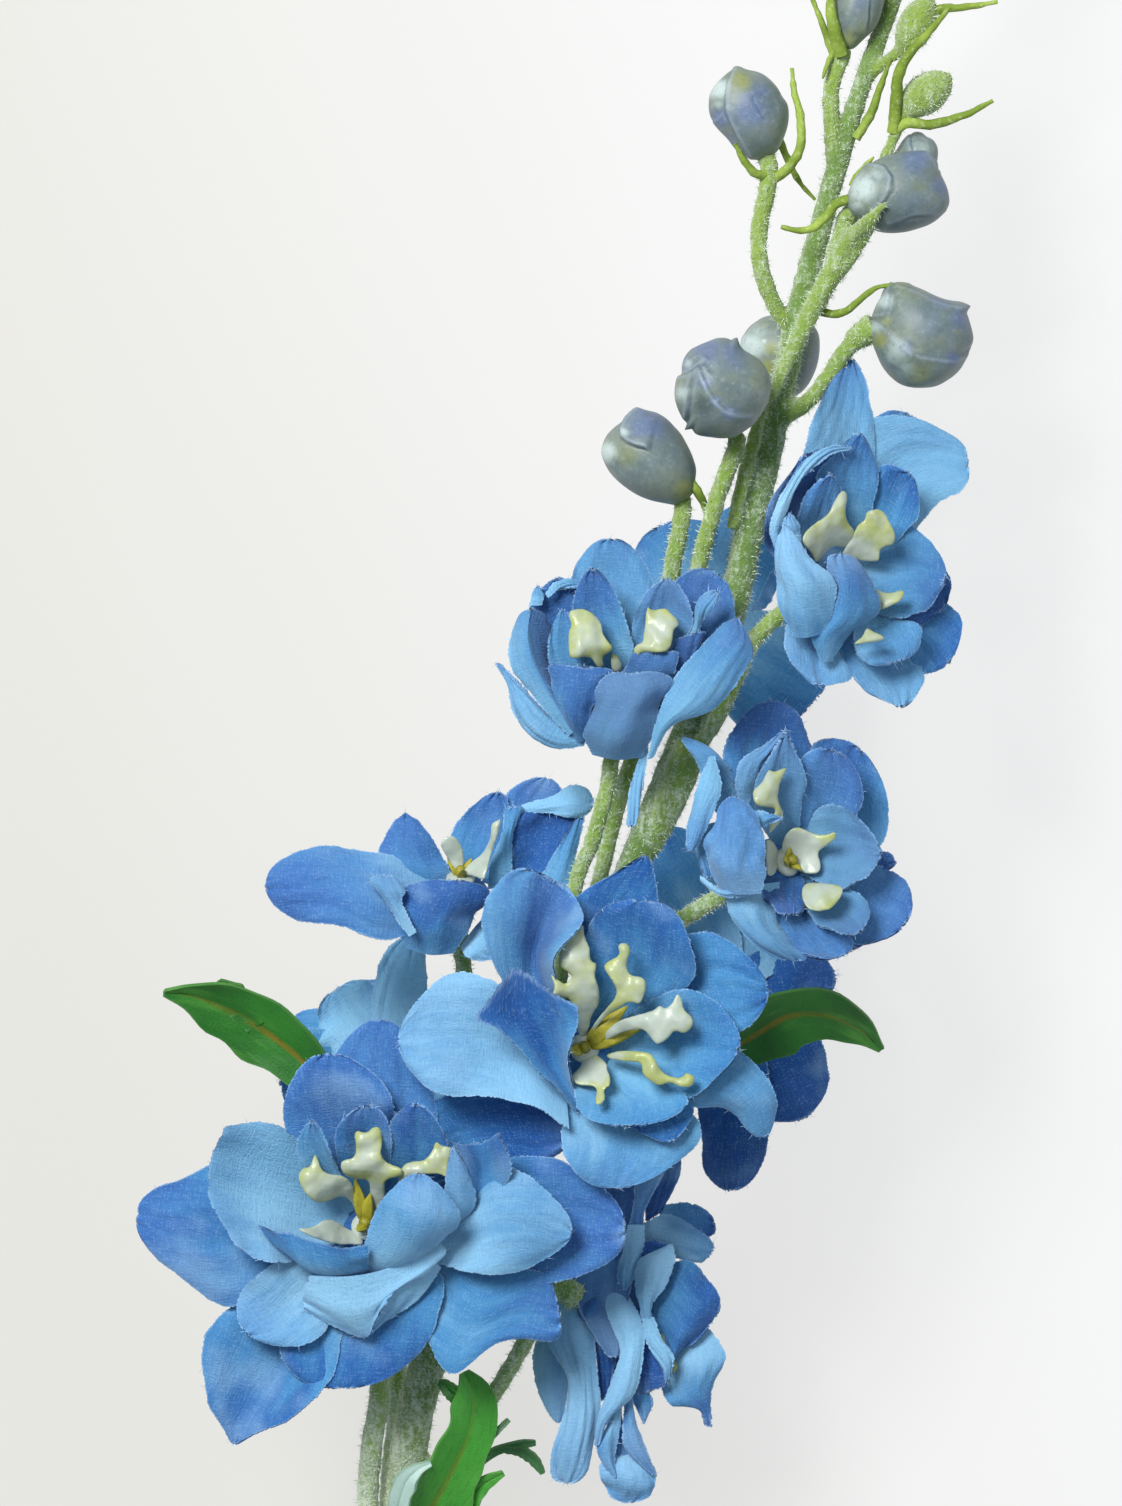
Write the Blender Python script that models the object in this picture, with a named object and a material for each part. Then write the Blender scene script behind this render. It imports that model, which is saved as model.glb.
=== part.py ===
"""Delphinium flower spike: a made stem of cloth flowers, lying on its back flowers.

The stem lies along +Y with the tip at +Y. The flowers on the upper side face +Z, three
flowers hang underneath and carry the spike on the surface together with the cut end of
the stem. Lengths in the tables are millimetres. The last step moves every piece so that
the middle of the bounding box's underside is the origin, and scales to metres.
"""
import math
import random

import bmesh
import bpy
from mathutils import Matrix, Vector

MM = 0.001
CLEAR = 0.3            # air between neighbouring pieces

# Root of a petal in each ring: distance from the flower's axis, height over the seat
ROOTS = {"outer": (1.6, 1.4), "middle": (2.1, 2.5), "inner": (3.1, 3.4), "arm": (1.6, 5.5)}
THROAT_HEIGHT = 7.0    # from the seat to the middle of the throat
PETAL_THICK = 0.7
PETAL_ROWS = {"outer": (0.0, 0.3, 0.64, 0.92), "middle": (0.0, 0.32, 0.64, 0.92),
              "inner": (0.0, 0.45, 0.88)}
PETAL_BELLY = 0.58     # widest place along a petal
PETAL_NECK = 0.2       # root width as a share of the widest
PETAL_POINT = 0.15     # 0 is a round tip and 1 a sharp one, where a petal gives none
PETAL_CUP = 0.25       # half angle in radians of the arc across a petal
CUP_START = 0.3        # share of the length at which the arc is full
SHARP = 0.85           # below 1 the edges of a sharp tip still bulge
SHORTEST, LONGEST = 8.0, 42.0     # lengths a petal may get when its tip is aimed at a place
STEEPEST = 0.2         # least share of its length that a petal reaches outward
AIM_ROUNDS = 60
MIDLINE_STEPS = 24
CORE_RINGS = ((0.3, 2.6), (2.4, 4.0), (4.7, 4.4))
CORE_SIDES = 6

# Stamens: a disc with forked arms, and the pistil that stands on the disc
ARM_THICK = 0.8
ARM_OUTLINE = ((0.0, 0.8), (0.52, 0.8), (0.7, 2.7), (1.0, 1.0))
ARM_SLOPE = (74, 56)   # at the root and at the tip, where a flower gives none
ARM_LEANS = (-5.0, 2.7)           # lean of the first arm's tip, and the step to the next
ARM_ROOT_LEAN = 0.4    # share of the lean that the root takes
DISC_SIDES = 6
DISC_RINGS = ((5.0, 2.2), (5.9, 2.2))
PISTIL_RINGS = ((6.2, 0.8), (7.4, 0.8))
PRONG_FOOT = 6.8
PRONG_RISE = 4.3
PRONG_LEAN = 1.6
PRONG_RADII = (0.55, 0.35)
PRONG_BEARINGS = (40, 160, 280)
PRONG_SIDES = 4

# Calyx knob on the end of every flower stalk: height over the seat, radius
KNOB_RINGS = ((-3.4, 1.4), (-1.8, 2.2), (0.0, 2.3))

# Main stem from the cut end to the tip: x, y, z, radius
STEM = (
    (-35.8, -219.6, 3.6, 2.9), (-32.4, -185.5, 14.0, 2.85), (-28.1, -146.8, 26.0, 2.8),
    (-24.6, -116.7, 34.0, 2.75), (-20.3, -95.6, 40.0, 2.7), (-12.9, -75.5, 44.0, 2.6),
    (-4.0, -55.3, 47.0, 2.55), (4.5, -35.2, 48.5, 2.5), (11.6, -16.6, 49.0, 2.6),
    (18.6, 0.5, 49.0, 2.6), (25.2, 17.5, 48.0, 2.4), (29.6, 36.1, 47.0, 2.3),
    (32.9, 50.1, 46.0, 2.2), (37.0, 68.7, 45.0, 2.0), (40.8, 83.4, 44.0, 1.8),
    (44.0, 95.0, 43.0, 1.65), (47.6, 105.9, 42.0, 1.5), (51.5, 116.7, 41.0, 1.4),
    (56.0, 130.7, 40.0, 1.25), (60.3, 146.2, 38.5, 1.1), (64.2, 163.2, 37.0, 0.95),
    (66.8, 178.7, 35.0, 0.8),
)
STEM_SIDES = 8
STALK_SIDES = 5

# Each flower: throat, the way it faces, its petals and the tips of its stamen arms.
# A petal: ring, tip as seen from above (x, y from the throat) or bearing and length,
# width, slope over the flower's plane at the root and at the tip, and what else bends it.
POLAR = "bearing"


def around(bearing, length):
    """A petal given by its bearing about the flower's axis and its length."""
    return (POLAR, bearing, length)


FLOWERS = {
    "low_front": {
        "throat": (-30.1, -71.9, 60.0), "faces": (-0.10, 0.42, 0.90),
        "petals": (
            ("outer", (-34.7, 1.0), 21, (15, -6), {"point": 0.4}),
            ("outer", (-20.6, -33.9), 20, (8, -10), {"point": 0.9}),
            ("outer", (-1.3, -24.4), 24, (6, -8), {}),
            ("outer", (27.0, -18.2), 20, (8, -4), {}),
            ("outer", (39.6, -2.3), 18, (20, 5), {"point": 0.5}),
            ("outer", (28.0, 17.2), 16, (14, 8), {}),
            ("outer", (2.3, 30.6), 18, (14, 6), {}),
            ("middle", (-5.9, 24.9), 19, (32, 26), {}),
            ("middle", (-21.8, 13.1), 20, (38, 32), {"cup": 0.5}),
            ("middle", (-18.5, -16.7), 16, (34, 24), {}),
            ("middle", (-0.5, -18.2), 20, (30, 22), {"cup": 0.5}),
            ("middle", (30.8, -3.3), 17, (34, 16), {"cup": 0.5}),
            ("middle", (20.8, 14.1), 15, (44, 50), {"cup": 0.5}),
            ("inner", (1.3, 17.2), 10, (48, 52), {}),
            ("inner", (9.5, 16.6), 9, (50, 54), {}),
            ("inner", (15.6, 9.8), 8, (54, 58), {}),
            ("inner", around(318, 21), 15, (60, 104), {"cup": 0.35, "bend": 0.1}),
            ("inner", around(240, 18), 22, (44, 60), {"cup": 0.9}),
            ("inner", (-15.7, 2.0), 10, (46, 60), {}),
        ),
        "arms": (around(146, 16), around(93, 16), around(44, 17), around(200, 14)),
        "arm_slope": (66, 54),
    },
    "middle_front": {
        "throat": (3.6, -44.8, 66.0), "faces": (0.0, 0.15, 0.99),
        "petals": (
            ("outer", (-26.1, 2.8), 20, (12, 0), {}),
            ("outer", (-10.7, 26.7), 16, (26, 18), {"cup": 0.4}),
            ("outer", (9.1, 29.3), 13, (15, 5), {}),
            ("outer", (28.0, 9.1), 16, (15, 5), {}),
            ("outer", (29.5, -13.8), 14, (16, -8), {}),
            ("outer", (4.3, -21.0), 20, (12, 0), {}),
            ("middle", (-13.6, 5.6), 15, (40, 50), {"cup": 0.75}),
            ("middle", (9.5, 21.7), 18, (32, 28), {}),
            ("middle", (17.0, -13.4), 11, (34, 26), {}),
            ("inner", (24.2, 2.4), 16, (32, 22), {}),
            ("inner", (7.1, -11.6), 18, (38, 34), {"cup": 0.4}),
        ),
        "arms": (around(87, 18), around(58, 17), around(11, 17), around(337, 18), around(283, 13)),
        "arm_slope": (62, 24),
    },
    "right_front": {
        "throat": (35.5, -16.3, 62.0), "faces": (0.55, 0.25, 0.80),
        "petals": (
            ("outer", (-0.2, 23.6), 14, (12, 4), {}),
            ("outer", (14.4, 13.5), 18, (20, 14), {}),
            ("outer", (18.6, -6.6), 15, (10, 0), {}),
            ("outer", (2.4, -15.0), 17, (24, 30), {"cup": 0.5}),
            ("outer", (12.0, -13.6), 12, (15, 6), {}),
            ("outer", (-15.0, 12.0), 10, (16, 0), {"twist": 40}),
            ("middle", around(178, 21), 16, (24, 58), {"cup": 0.7}),
            ("middle", (7.0, 16.9), 12, (38, 38), {}),
            ("inner", (13.4, 1.6), 14, (42, 44), {}),
            ("inner", (-2.6, 16.4), 9, (48, 54), {}),
            ("inner", (7.1, -9.7), 12, (44, 50), {}),
        ),
        "arms": (around(146, 15), around(25, 12), around(268, 14), around(205, 13)),
        "arm_slope": (68, 56),
    },
    "high_right": {
        "throat": (44.0, 27.5, 60.0), "faces": (0.60, 0.28, 0.75),
        "petals": (
            ("outer", (1.3, 33.2), 13, (10, 4), {"point": 0.6}),
            ("outer", (19.2, 20.3), 16, (14, 6), {}),
            ("outer", (15.9, 0.9), 17, (16, 4), {}),
            ("outer", (8.6, -19.8), 14, (10, 0), {}),
            ("outer", (-4.2, -16.9), 14, (14, 6), {}),
            ("outer", (-11.0, 3.0), 14, (20, 54), {"cup": 0.7}),
            ("middle", (-5.5, 20.0), 13, (36, 44), {"cup": 0.5}),
            ("middle", (5.6, 19.0), 13, (38, 40), {}),
            ("middle", (13.6, 9.9), 12, (38, 36), {}),
            ("middle", (16.8, -10.0), 13, (30, 20), {}),
            ("inner", around(236, 15), 13, (46, 66), {"cup": 0.4}),
            ("inner", (8.6, -11.0), 11, (46, 46), {}),
        ),
        "arms": (around(165, 14), around(88, 14), around(300, 13), around(255, 14)),
        "arm_slope": (68, 56),
    },
    "high_front": {
        "throat": (8.5, 8.0, 66.0), "faces": (-0.06, 0.55, 0.83),
        "petals": (
            ("outer", (-0.6, 25.0), 17, (26, 34), {}),
            ("outer", (-18.4, 4.4), 10, (16, 4), {}),
            ("outer", around(336, 30), 13, (50, 38), {"cup": 0.4}),
            ("outer", (15.4, 18.3), 11, (34, 36), {}),
            ("outer", around(215, 24), 16, (30, 66), {"cup": 0.5}),
            ("outer", (-15.0, 15.5), 14, (36, 40), {}),
            ("middle", (-9.3, 19.0), 12, (48, 50), {}),
            ("middle", around(268, 20), 18, (40, 88), {"cup": 0.6}),
            ("middle", (8.6, 19.0), 13, (50, 54), {}),
            ("middle", around(196, 22), 14, (50, 72), {"cup": 0.5}),
            ("inner", (-1.7, 20.0), 11, (58, 60), {}),
            ("inner", (12.5, 13.0), 9, (60, 60), {}),
        ),
        "arms": (around(140, 17), around(45, 17), around(92, 15)),
        "arm_slope": (72, 64),
    },
    "left_side": {
        "throat": (-15.5, -18.0, 52.0), "faces": (0.02, 0.88, 0.47),
        "petals": (
            ("outer", around(188, 31), 14, (20, -5), {}),
            ("outer", around(228, 25), 18, (36, 34), {"cup": 0.4}),
            ("outer", around(300, 12), 10, (2, -16), {}),
            ("outer", around(336, 23), 15, (36, 42), {}),
            ("outer", around(56, 25), 14, (20, 12), {}),
            ("outer", around(124, 24), 14, (17, 8), {}),
            ("middle", around(204, 21), 15, (50, 54), {"cup": 0.4}),
            ("middle", around(318, 23), 14, (52, 62), {"cup": 0.4}),
            ("middle", around(16, 26), 14, (48, 52), {}),
            ("middle", around(158, 23), 12, (46, 50), {}),
            ("inner", around(75, 20), 11, (62, 66), {}),
            ("inner", around(352, 20), 11, (64, 72), {}),
            ("inner", around(266, 14), 11, (60, 70), {"cup": 0.4}),
        ),
        "arms": (around(205, 15), around(318, 16), around(120, 13), around(25, 14)),
    },
    "low_side": {
        "throat": (7.5, -89.0, 40.0), "faces": (0.72, -0.60, -0.34),
        "petals": (
            ("outer", (-5.8, -24.0), 11, (20, 16), {}),
            ("outer", (5.2, -26.6), 11, (36, 38), {}),
            ("outer", (15.6, -15.6), 15, (52, 50), {"point": 0.9}),
            ("outer", (17.5, 4.2), 18, (38, 40), {}),
            ("outer", (16.4, 17.4), 13, (12, 10), {}),
            ("outer", (7.0, 26.0), 8, (0, -6), {}),
            ("outer", around(215, 24), 14, (20, 10), {}),
            ("outer", around(270, 25), 14, (20, 10), {}),
            ("middle", (1.0, -14.0), 9, (44, 40), {"twist": 30}),
            ("middle", (16.0, -6.0), 14, (46, 50), {"cup": 0.5}),
            ("middle", around(320, 21), 12, (40, 40), {}),
            ("inner", around(250, 18), 11, (58, 62), {}),
        ),
        "arms": (around(80, 14), around(160, 14), around(235, 13), around(318, 14)),
    },
    "back_high": {
        "throat": (24.0, 20.0, 20.0), "faces": (0.10, 0.15, -0.98),
        "petals": (
            ("outer", (-7.9, 16.2), 16, (16, 8), {}),
            ("outer", (7.0, 19.0), 13, (16, 10), {}),
            ("outer", (16.0, -12.0), 21, (16, 12), {}),
        ),
        "ring": {"outer": (2, 22.0, 15, 22), "inner": (4, 21.0, 11, 60), "start": 30.0, "seed": 3},
        "arms": (around(20, 13), around(110, 14), around(200, 13), around(290, 14)),
    },
    "back_right": {
        "throat": (28.5, -37.5, 22.0), "faces": (0.25, -0.15, -0.95),
        "petals": (
            ("outer", (9.5, -19.4), 16, (18, 12), {}),
            ("outer", (14.0, 2.3), 14, (20, 14), {}),
            ("outer", (-13.2, 24.8), 13, (8, 0), {}),
            ("outer", (-1.5, -31.0), 12, (8, 0), {}),
        ),
        "ring": {"outer": (2, 25.0, 15, 24), "inner": (4, 21.0, 11, 60), "start": 140.0, "seed": 8},
        "arms": (around(40, 13), around(130, 14), around(220, 13), around(310, 14)),
    },
    "back_left": {
        "throat": (-28.8, -49.9, 22.0), "faces": (-0.20, 0.10, -0.97),
        "petals": (
            ("outer", (5.1, 20.9), 9, (10, 0), {}),
            ("outer", (-7.0, 12.5), 13, (20, 14), {}),
            ("outer", (-15.0, -1.5), 15, (22, 16), {}),
        ),
        "ring": {"outer": (3, 24.0, 15, 22), "inner": (4, 21.0, 11, 60), "start": 20.0, "seed": 5},
        "arms": (around(10, 13), around(100, 14), around(190, 13), around(280, 14)),
    },
}
RESTING = ("back_high", "back_right", "back_left")    # let down until they touch the surface

# Stalks: the way from the main stem to the flower or bud, then the radius at each end
FLOWER_STALKS = {
    "low_front": (((-32.6, -185.0, 15.0), (-33.3, -177.8, 18.0), (-31.2, -116.7, 37.0),
                   (-29.4, -100.3, 42.0), (-28.4, -87.9, 45.0)), 1.9),
    "back_left": (((-29.6, -162.3, 21.5), (-27.1, -116.7, 29.0), (-25.6, -98.7, 30.0),
                   (-25.9, -77.0, 32.0), (-26.8, -62.0, 36.0), (-27.9, -54.0, 36.5)), 1.5),
    "low_side": (((-24.2, -115.8, 34.0), (-16.4, -108.0, 37.0), (-10.2, -99.5, 39.0),
                  (-4.8, -90.2, 42.0), (-2.4, -84.6, 43.8)), 1.4),
    "middle_front": (((-0.4, -47.4, 47.6), (2.9, -46.9, 52.0)), 1.6),
    "right_front": (((4.5, -35.2, 48.5), (12.2, -32.1, 51.0), (17.2, -26.7, 52.5)), 1.5),
    "high_right": (((12.2, -15.8, 49.0), (18.4, -3.4, 52.0), (23.9, 5.1, 53.0),
                    (27.4, 12.6, 53.0), (30.4, 18.3, 52.5)), 1.3),
    "high_front": (((-2.5, -51.8, 47.5), (1.7, -22.8, 53.0), (4.8, -13.5, 55.0),
                    (7.0, -5.7, 56.5), (7.9, -0.6, 57.5)), 1.25),
    "left_side": (((-8.7, -66.6, 45.0), (-11.8, -52.2, 45.0), (-14.4, -39.8, 45.0)), 1.4),
    "back_high": (((13.8, -11.0, 48.0), (18.4, 2.0, 44.5), (22.0, 13.0, 39.0)), 1.6),
    "back_right": (((5.6, -32.6, 48.3), (13.4, -33.0, 43.0), (20.4, -36.0, 38.5)), 1.5),
}

# Moulded buds: stalk, the way the bud points, length and thickness
BUDS = {
    "bud_high_left": (((3.4, -33.0, 47.6), (6.7, -16.6, 46.0), (9.5, -5.7, 45.5),
                       (13.0, 5.1, 46.0), (15.7, 17.5, 48.0), (17.2, 28.4, 51.0),
                       (18.9, 38.2, 52.0)),
                      (-0.6, 0.8, 0.1), 15.5, 13.2),
    "bud_high_middle": (((21.2, 3.7, 49.0), (20.8, 20.6, 51.0), (21.5, 29.9, 53.0),
                         (24.6, 40.8, 54.0), (27.2, 47.6, 53.4)),
                        (-0.38, 0.62, 0.68), 14.7, 14.5),
    "bud_behind": (((27.0, 22.7, 47.4), (28.5, 36.1, 42.0), (31.0, 47.5, 38.2),
                    (32.6, 53.2, 37.5)),
                   (0.12, 0.96, -0.24), 13.4, 12.4),
    "bud_upper_left": (((36.1, 64.9, 45.4), (32.7, 70.2, 47.0), (30.8, 76.1, 48.0),
                        (30.8, 81.8, 48.0), (32.1, 88.0, 48.0), (32.2, 91.2, 48.0)),
                       (-0.37, 0.93, 0.0), 14.2, 11.8),
    "bud_right": (((33.6, 51.3, 46.0), (39.4, 55.5, 48.0), (43.4, 61.4, 48.0),
                   (46.0, 64.0, 48.0)),
                  (0.98, 0.12, 0.1), 17.0, 15.5),
    "bud_upper_right": (((36.0, 64.5, 45.6), (40.1, 70.2, 49.0), (42.6, 78.0, 51.5),
                         (44.2, 83.0, 52.0)),
                        (0.93, 0.26, 0.1), 16.0, 12.7),
    "bud_top_left": (((42.6, 90.9, 43.6), (41.9, 99.7, 44.0), (42.2, 104.3, 44.0),
                      (43.6, 108.0, 44.0)),
                     (0.15, 0.98, 0.0), 12.4, 8.5),
    "bud_small_right": (((46.0, 85.0, 46.4), (49.2, 87.6, 42.6)),
                        (0.62, 0.62, -0.30), 8.5, 7.6),
}

# A bud's rings: share of the length and of the greatest radius
BUD_PROFILE = ((0.0, 0.34), (0.16, 0.76), (0.42, 1.0), (0.68, 0.9), (0.88, 0.56))
BUD_NECK = 1.6         # from the end of a stalk's way to the bud's seat
BUD_STALK = (1.35, 1.5)
BUD_SIDES = 9
BUD_LOBES = 0.05       # swelling of the three outer petals of a bud

# Small flocked buds, one body with the stem: stalk, direction, length, thickness
GREEN_BUDS = (
    (((42.4, 74.7, 50.6), (45.4, 81.3, 47.6), (48.6, 88.3, 45.0), (51.5, 95.0, 44.0),
      (53.2, 98.7, 44.0)), (0.75, 0.6, 0.1), 8.8, 6.4),
    (((47.2, 104.7, 42.2), (51.0, 108.6, 44.0), (54.2, 111.8, 45.0)), (0.5, 0.85, 0.1), 9.3, 5.6),
    (((50.9, 115.0, 41.2), (51.6, 120.5, 43.0), (52.4, 124.3, 44.0)), (0.2, 0.95, 0.2), 8.0, 5.2),
    (((53.9, 124.0, 40.5), (58.4, 128.4, 41.0), (62.2, 131.0, 41.5)), (0.75, 0.66, 0.1), 7.4, 4.9),
    (((56.6, 132.9, 39.8), (56.0, 137.0, 41.5), (55.8, 140.2, 42.5)), (-0.1, 0.95, 0.3), 7.0, 4.6),
    (((58.6, 140.1, 39.1), (61.8, 144.0, 38.8), (64.4, 146.8, 38.6)), (0.7, 0.7, 0.0), 6.4, 4.3),
    (((61.2, 150.1, 38.2), (60.4, 154.2, 39.6), (60.0, 157.4, 40.4)), (-0.1, 0.97, 0.2), 6.0, 4.0),
    (((63.0, 158.0, 37.4), (66.0, 162.0, 37.2), (67.6, 165.2, 37.2)), (0.5, 0.86, 0.0), 5.6, 3.7),
    (((65.8, 172.5, 35.9), (66.8, 178.7, 35.0), (67.0, 180.2, 34.8)), (0.15, 0.98, -0.1), 5.4, 3.4),
)

GREEN_STALK = (1.0, 0.9)
GREEN_BUD_SIDES = 6
SUNK = 0.8             # how deep a flocked bud sits on its stalk's end

# Bracts: thin curled tongues on the stalks, with the radius at the root
BRACTS = (
    (((32.2, 89.6, 48.0), (37.5, 93.0, 49.5), (38.1, 99.7, 50.5), (35.8, 105.6, 50.5)), 1.0),
    (((32.0, 89.0, 48.0), (28.6, 90.4, 50.0), (25.8, 94.8, 52.5)), 0.9),
    (((32.1, 90.4, 47.6), (35.8, 89.4, 45.4), (38.6, 84.9, 43.8)), 0.8),
    (((44.0, 82.6, 52.0), (42.0, 82.8, 53.0), (39.6, 80.9, 54.0), (34.4, 80.8, 54.0)), 0.95),
    (((43.4, 61.4, 48.0), (43.2, 68.6, 47.4), (46.4, 71.0, 48.6), (48.6, 73.4, 50.0)), 0.95),
    (((43.2, 106.6, 44.0), (40.6, 111.1, 45.0), (39.4, 117.0, 46.0)), 0.85),
    (((43.0, 106.0, 44.0), (41.0, 106.6, 46.0), (39.6, 103.9, 46.4)), 0.75),
    (((51.6, 95.6, 44.0), (55.6, 96.6, 43.6), (61.8, 98.6, 45.0), (66.5, 101.4, 46.0)), 1.0),
    (((51.4, 95.6, 44.2), (50.5, 103.3, 46.4), (54.0, 109.9, 48.4), (59.1, 115.5, 49.4)), 0.95),
    (((54.0, 111.4, 45.0), (58.3, 115.4, 46.0), (62.2, 115.0, 46.4), (67.6, 116.4, 47.0)), 0.85),
    (((18.8, 36.6, 52.0), (21.8, 39.6, 52.4), (23.2, 37.0, 51.4), (23.0, 33.6, 50.6)), 0.85),
    (((43.8, 82.0, 51.8), (45.0, 79.8, 54.4), (47.6, 78.0, 57.0)), 0.9),
    (((24.0, 38.8, 54.0), (27.6, 42.6, 53.4), (31.6, 41.6, 52.6)), 0.8),
)

BRACT_TIP = 0.45
BRACT_SIDES = 4

# Leaves: each lobe is a way with the half width at every place, and the side it faces
LEAVES = {
    "leaf_left": (
        (((-26.3, -70.4, 35.6, 0.6), (-29.4, -64.0, 38.0, 0.8), (-34.6, -55.0, 40.0, 2.2),
          (-40.2, -48.0, 41.0, 4.4), (-46.7, -42.9, 41.6, 5.4), (-53.0, -39.4, 42.6, 4.6),
          (-58.0, -37.6, 44.0, 2.2), (-61.6, -37.2, 45.6, 0.6)), (-0.1, -0.35, 0.9)),
        (((-47.5, -42.6, 41.6, 1.6), (-50.8, -38.0, 42.4, 2.6), (-53.4, -35.6, 43.6, 0.7)),
         (-0.1, -0.35, 0.9)),
    ),
    "leaf_right": (
        (((3.4, -42.2, 45.4, 0.6), (12.2, -45.5, 45.6, 0.8), (21.5, -48.6, 45.0, 2.4),
          (28.5, -44.7, 46.0, 4.6), (35.0, -40.8, 47.4, 5.4), (41.0, -40.6, 46.6, 4.4),
          (46.4, -43.0, 43.6, 2.4), (49.9, -46.2, 40.0, 0.6)), (0.1, -0.45, 0.85)),
    ),
    "leaf_low": (
        (((-25.6, -128.6, 34.6, 0.7), (-23.6, -123.4, 37.8, 3.0), (-20.6, -118.2, 40.6, 4.9),
          (-18.4, -114.4, 42.4, 4.8), (-16.4, -110.4, 43.8, 4.2), (-14.5, -106.2, 45.2, 3.9),
          (-13.5, -102.0, 46.2, 3.7), (-13.8, -98.6, 46.8, 2.7), (-15.0, -95.9, 47.0, 0.8)),
         (0.2, -0.2, 0.95)),
        (((-21.0, -121.4, 39.2, 1.2), (-16.0, -117.4, 41.0, 2.2), (-12.4, -114.0, 42.2, 1.4),
          (-9.0, -112.0, 43.0, 0.5)), (0.1, -0.3, 0.95)),
        (((-24.2, -123.0, 38.4, 1.4), (-25.4, -118.4, 42.4, 1.6), (-24.0, -113.2, 45.4, 1.8),
          (-22.2, -111.2, 46.0, 1.0), (-20.2, -110.2, 45.8, 0.5)), (-0.3, -0.1, 0.95)),
        (((-13.6, -102.0, 46.0, 0.9), (-16.4, -99.6, 46.2, 1.3), (-18.0, -98.2, 45.8, 1.0),
          (-18.9, -97.7, 45.4, 0.5)), (0.0, -0.2, 0.97)),
        (((-12.0, -107.0, 44.6, 0.8), (-10.2, -105.6, 44.8, 0.5), (-8.1, -103.6, 44.2, 0.4)),
         (0.0, -0.2, 0.97)),
    ),
    "leaf_low_back": (
        (((-23.4, -133.4, 26.6, 0.7), (-20.4, -126.0, 29.0, 1.0), (-16.6, -117.6, 32.4, 1.1),
          (-13.6, -112.0, 34.6, 0.9), (-10.8, -109.6, 35.4, 0.7), (-8.4, -108.7, 35.6, 0.7),
          (-6.0, -108.2, 35.4, 0.7), (-4.0, -108.0, 35.0, 0.4)), (-0.1, -0.2, 0.97)),
        (((-9.4, -109.0, 35.6, 0.5), (-6.6, -109.2, 35.4, 0.9), (-4.6, -110.4, 35.0, 0.9),
          (-3.5, -111.8, 34.6, 0.7), (-2.9, -112.9, 34.2, 0.4)), (-0.1, -0.2, 0.97)),
    ),
}
LEAF_THICK = 0.8
LEAF_FOLD = 0.22       # rise of a leaf's edges over its midrib, as a share of the half width

MERGE = 0.0001         # points of a union that lie closer than this are one
FLAT = math.radians(0.5)          # faces that turn less than this against each other are one

# Colour and roughness of every kind of piece
FINISHES = {
    "petals": ((0.13, 0.30, 0.72), 0.75),
    "stamens": ((0.74, 0.77, 0.42), 0.45),
    "pistil": ((0.42, 0.40, 0.06), 0.5),
    "bud": ((0.19, 0.25, 0.36), 0.4),
    "leaf": ((0.05, 0.19, 0.03), 0.55),
    "stem": ((0.30, 0.38, 0.16), 0.9),
}


def new_object(name, points, faces, finish):
    """One named mesh object with its own material, normals outward."""
    mesh = bpy.data.meshes.new(name)
    mesh.from_pydata([tuple(point) for point in points], [], faces)
    work = bmesh.new()
    work.from_mesh(mesh)
    bmesh.ops.recalc_face_normals(work, faces=work.faces)
    work.to_mesh(mesh)
    work.free()
    material = bpy.data.materials.new(name)
    material.use_nodes = True
    shader = material.node_tree.nodes["Principled BSDF"]
    color, roughness = finish
    shader.inputs["Base Color"].default_value = (*color, 1.0)
    shader.inputs["Roughness"].default_value = roughness
    mesh.materials.append(material)
    piece = bpy.data.objects.new(name, mesh)
    bpy.context.scene.collection.objects.link(piece)
    return piece


def frame_of(flower):
    """The flower's own frame: two directions across, the axis it faces along, its seat."""
    axis = Vector(flower["faces"]).normalized()
    across = Vector((1.0, 0.0, 0.0))
    across = (across - axis * across.dot(axis)).normalized()
    return across, axis.cross(across), axis, seat_of(flower)


def seat_of(flower):
    """Where the flower sits on its calyx knob."""
    return Vector(flower["throat"]) - Vector(flower["faces"]).normalized() * THROAT_HEIGHT


def along_midline(root, length, slope, share):
    """Distance from the axis and height of the midline at a share of the petal's length."""
    reach, height = root
    for step in range(MIDLINE_STEPS):
        part = share * (step + 0.5) / MIDLINE_STEPS
        angle = math.radians(slope[0] + (slope[1] - slope[0]) * part)
        reach += length * share / MIDLINE_STEPS * math.cos(angle)
        height += length * share / MIDLINE_STEPS * math.sin(angle)
    return reach, height


def aim(flower, ring, tip, slope):
    """Bearing and length that bring the tip over the wanted place, seen from above."""
    if tip[0] == POLAR:
        return math.radians(tip[1]), tip[2]
    across, beside, axis, seat = frame_of(flower)
    root = ROOTS[ring]
    one = along_midline((0.0, 0.0), 1.0, slope, 1.0)
    aimed = Vector(flower["throat"]) + Vector((tip[0], tip[1], 0.0)) - seat
    turn = across.x * beside.y - beside.x * across.y
    length = SHORTEST
    bearing = 0.0
    for _ in range(AIM_ROUNDS):
        height = root[1] + length * one[1]
        x = aimed.x - axis.x * height
        y = aimed.y - axis.y * height
        u = (x * beside.y - y * beside.x) / turn
        v = (across.x * y - across.y * x) / turn
        bearing = math.atan2(v, u)
        wanted = (math.hypot(u, v) - root[0]) / max(one[0], STEEPEST)
        length += (min(max(wanted, SHORTEST), LONGEST) - length) / 2
    return bearing, length


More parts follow.
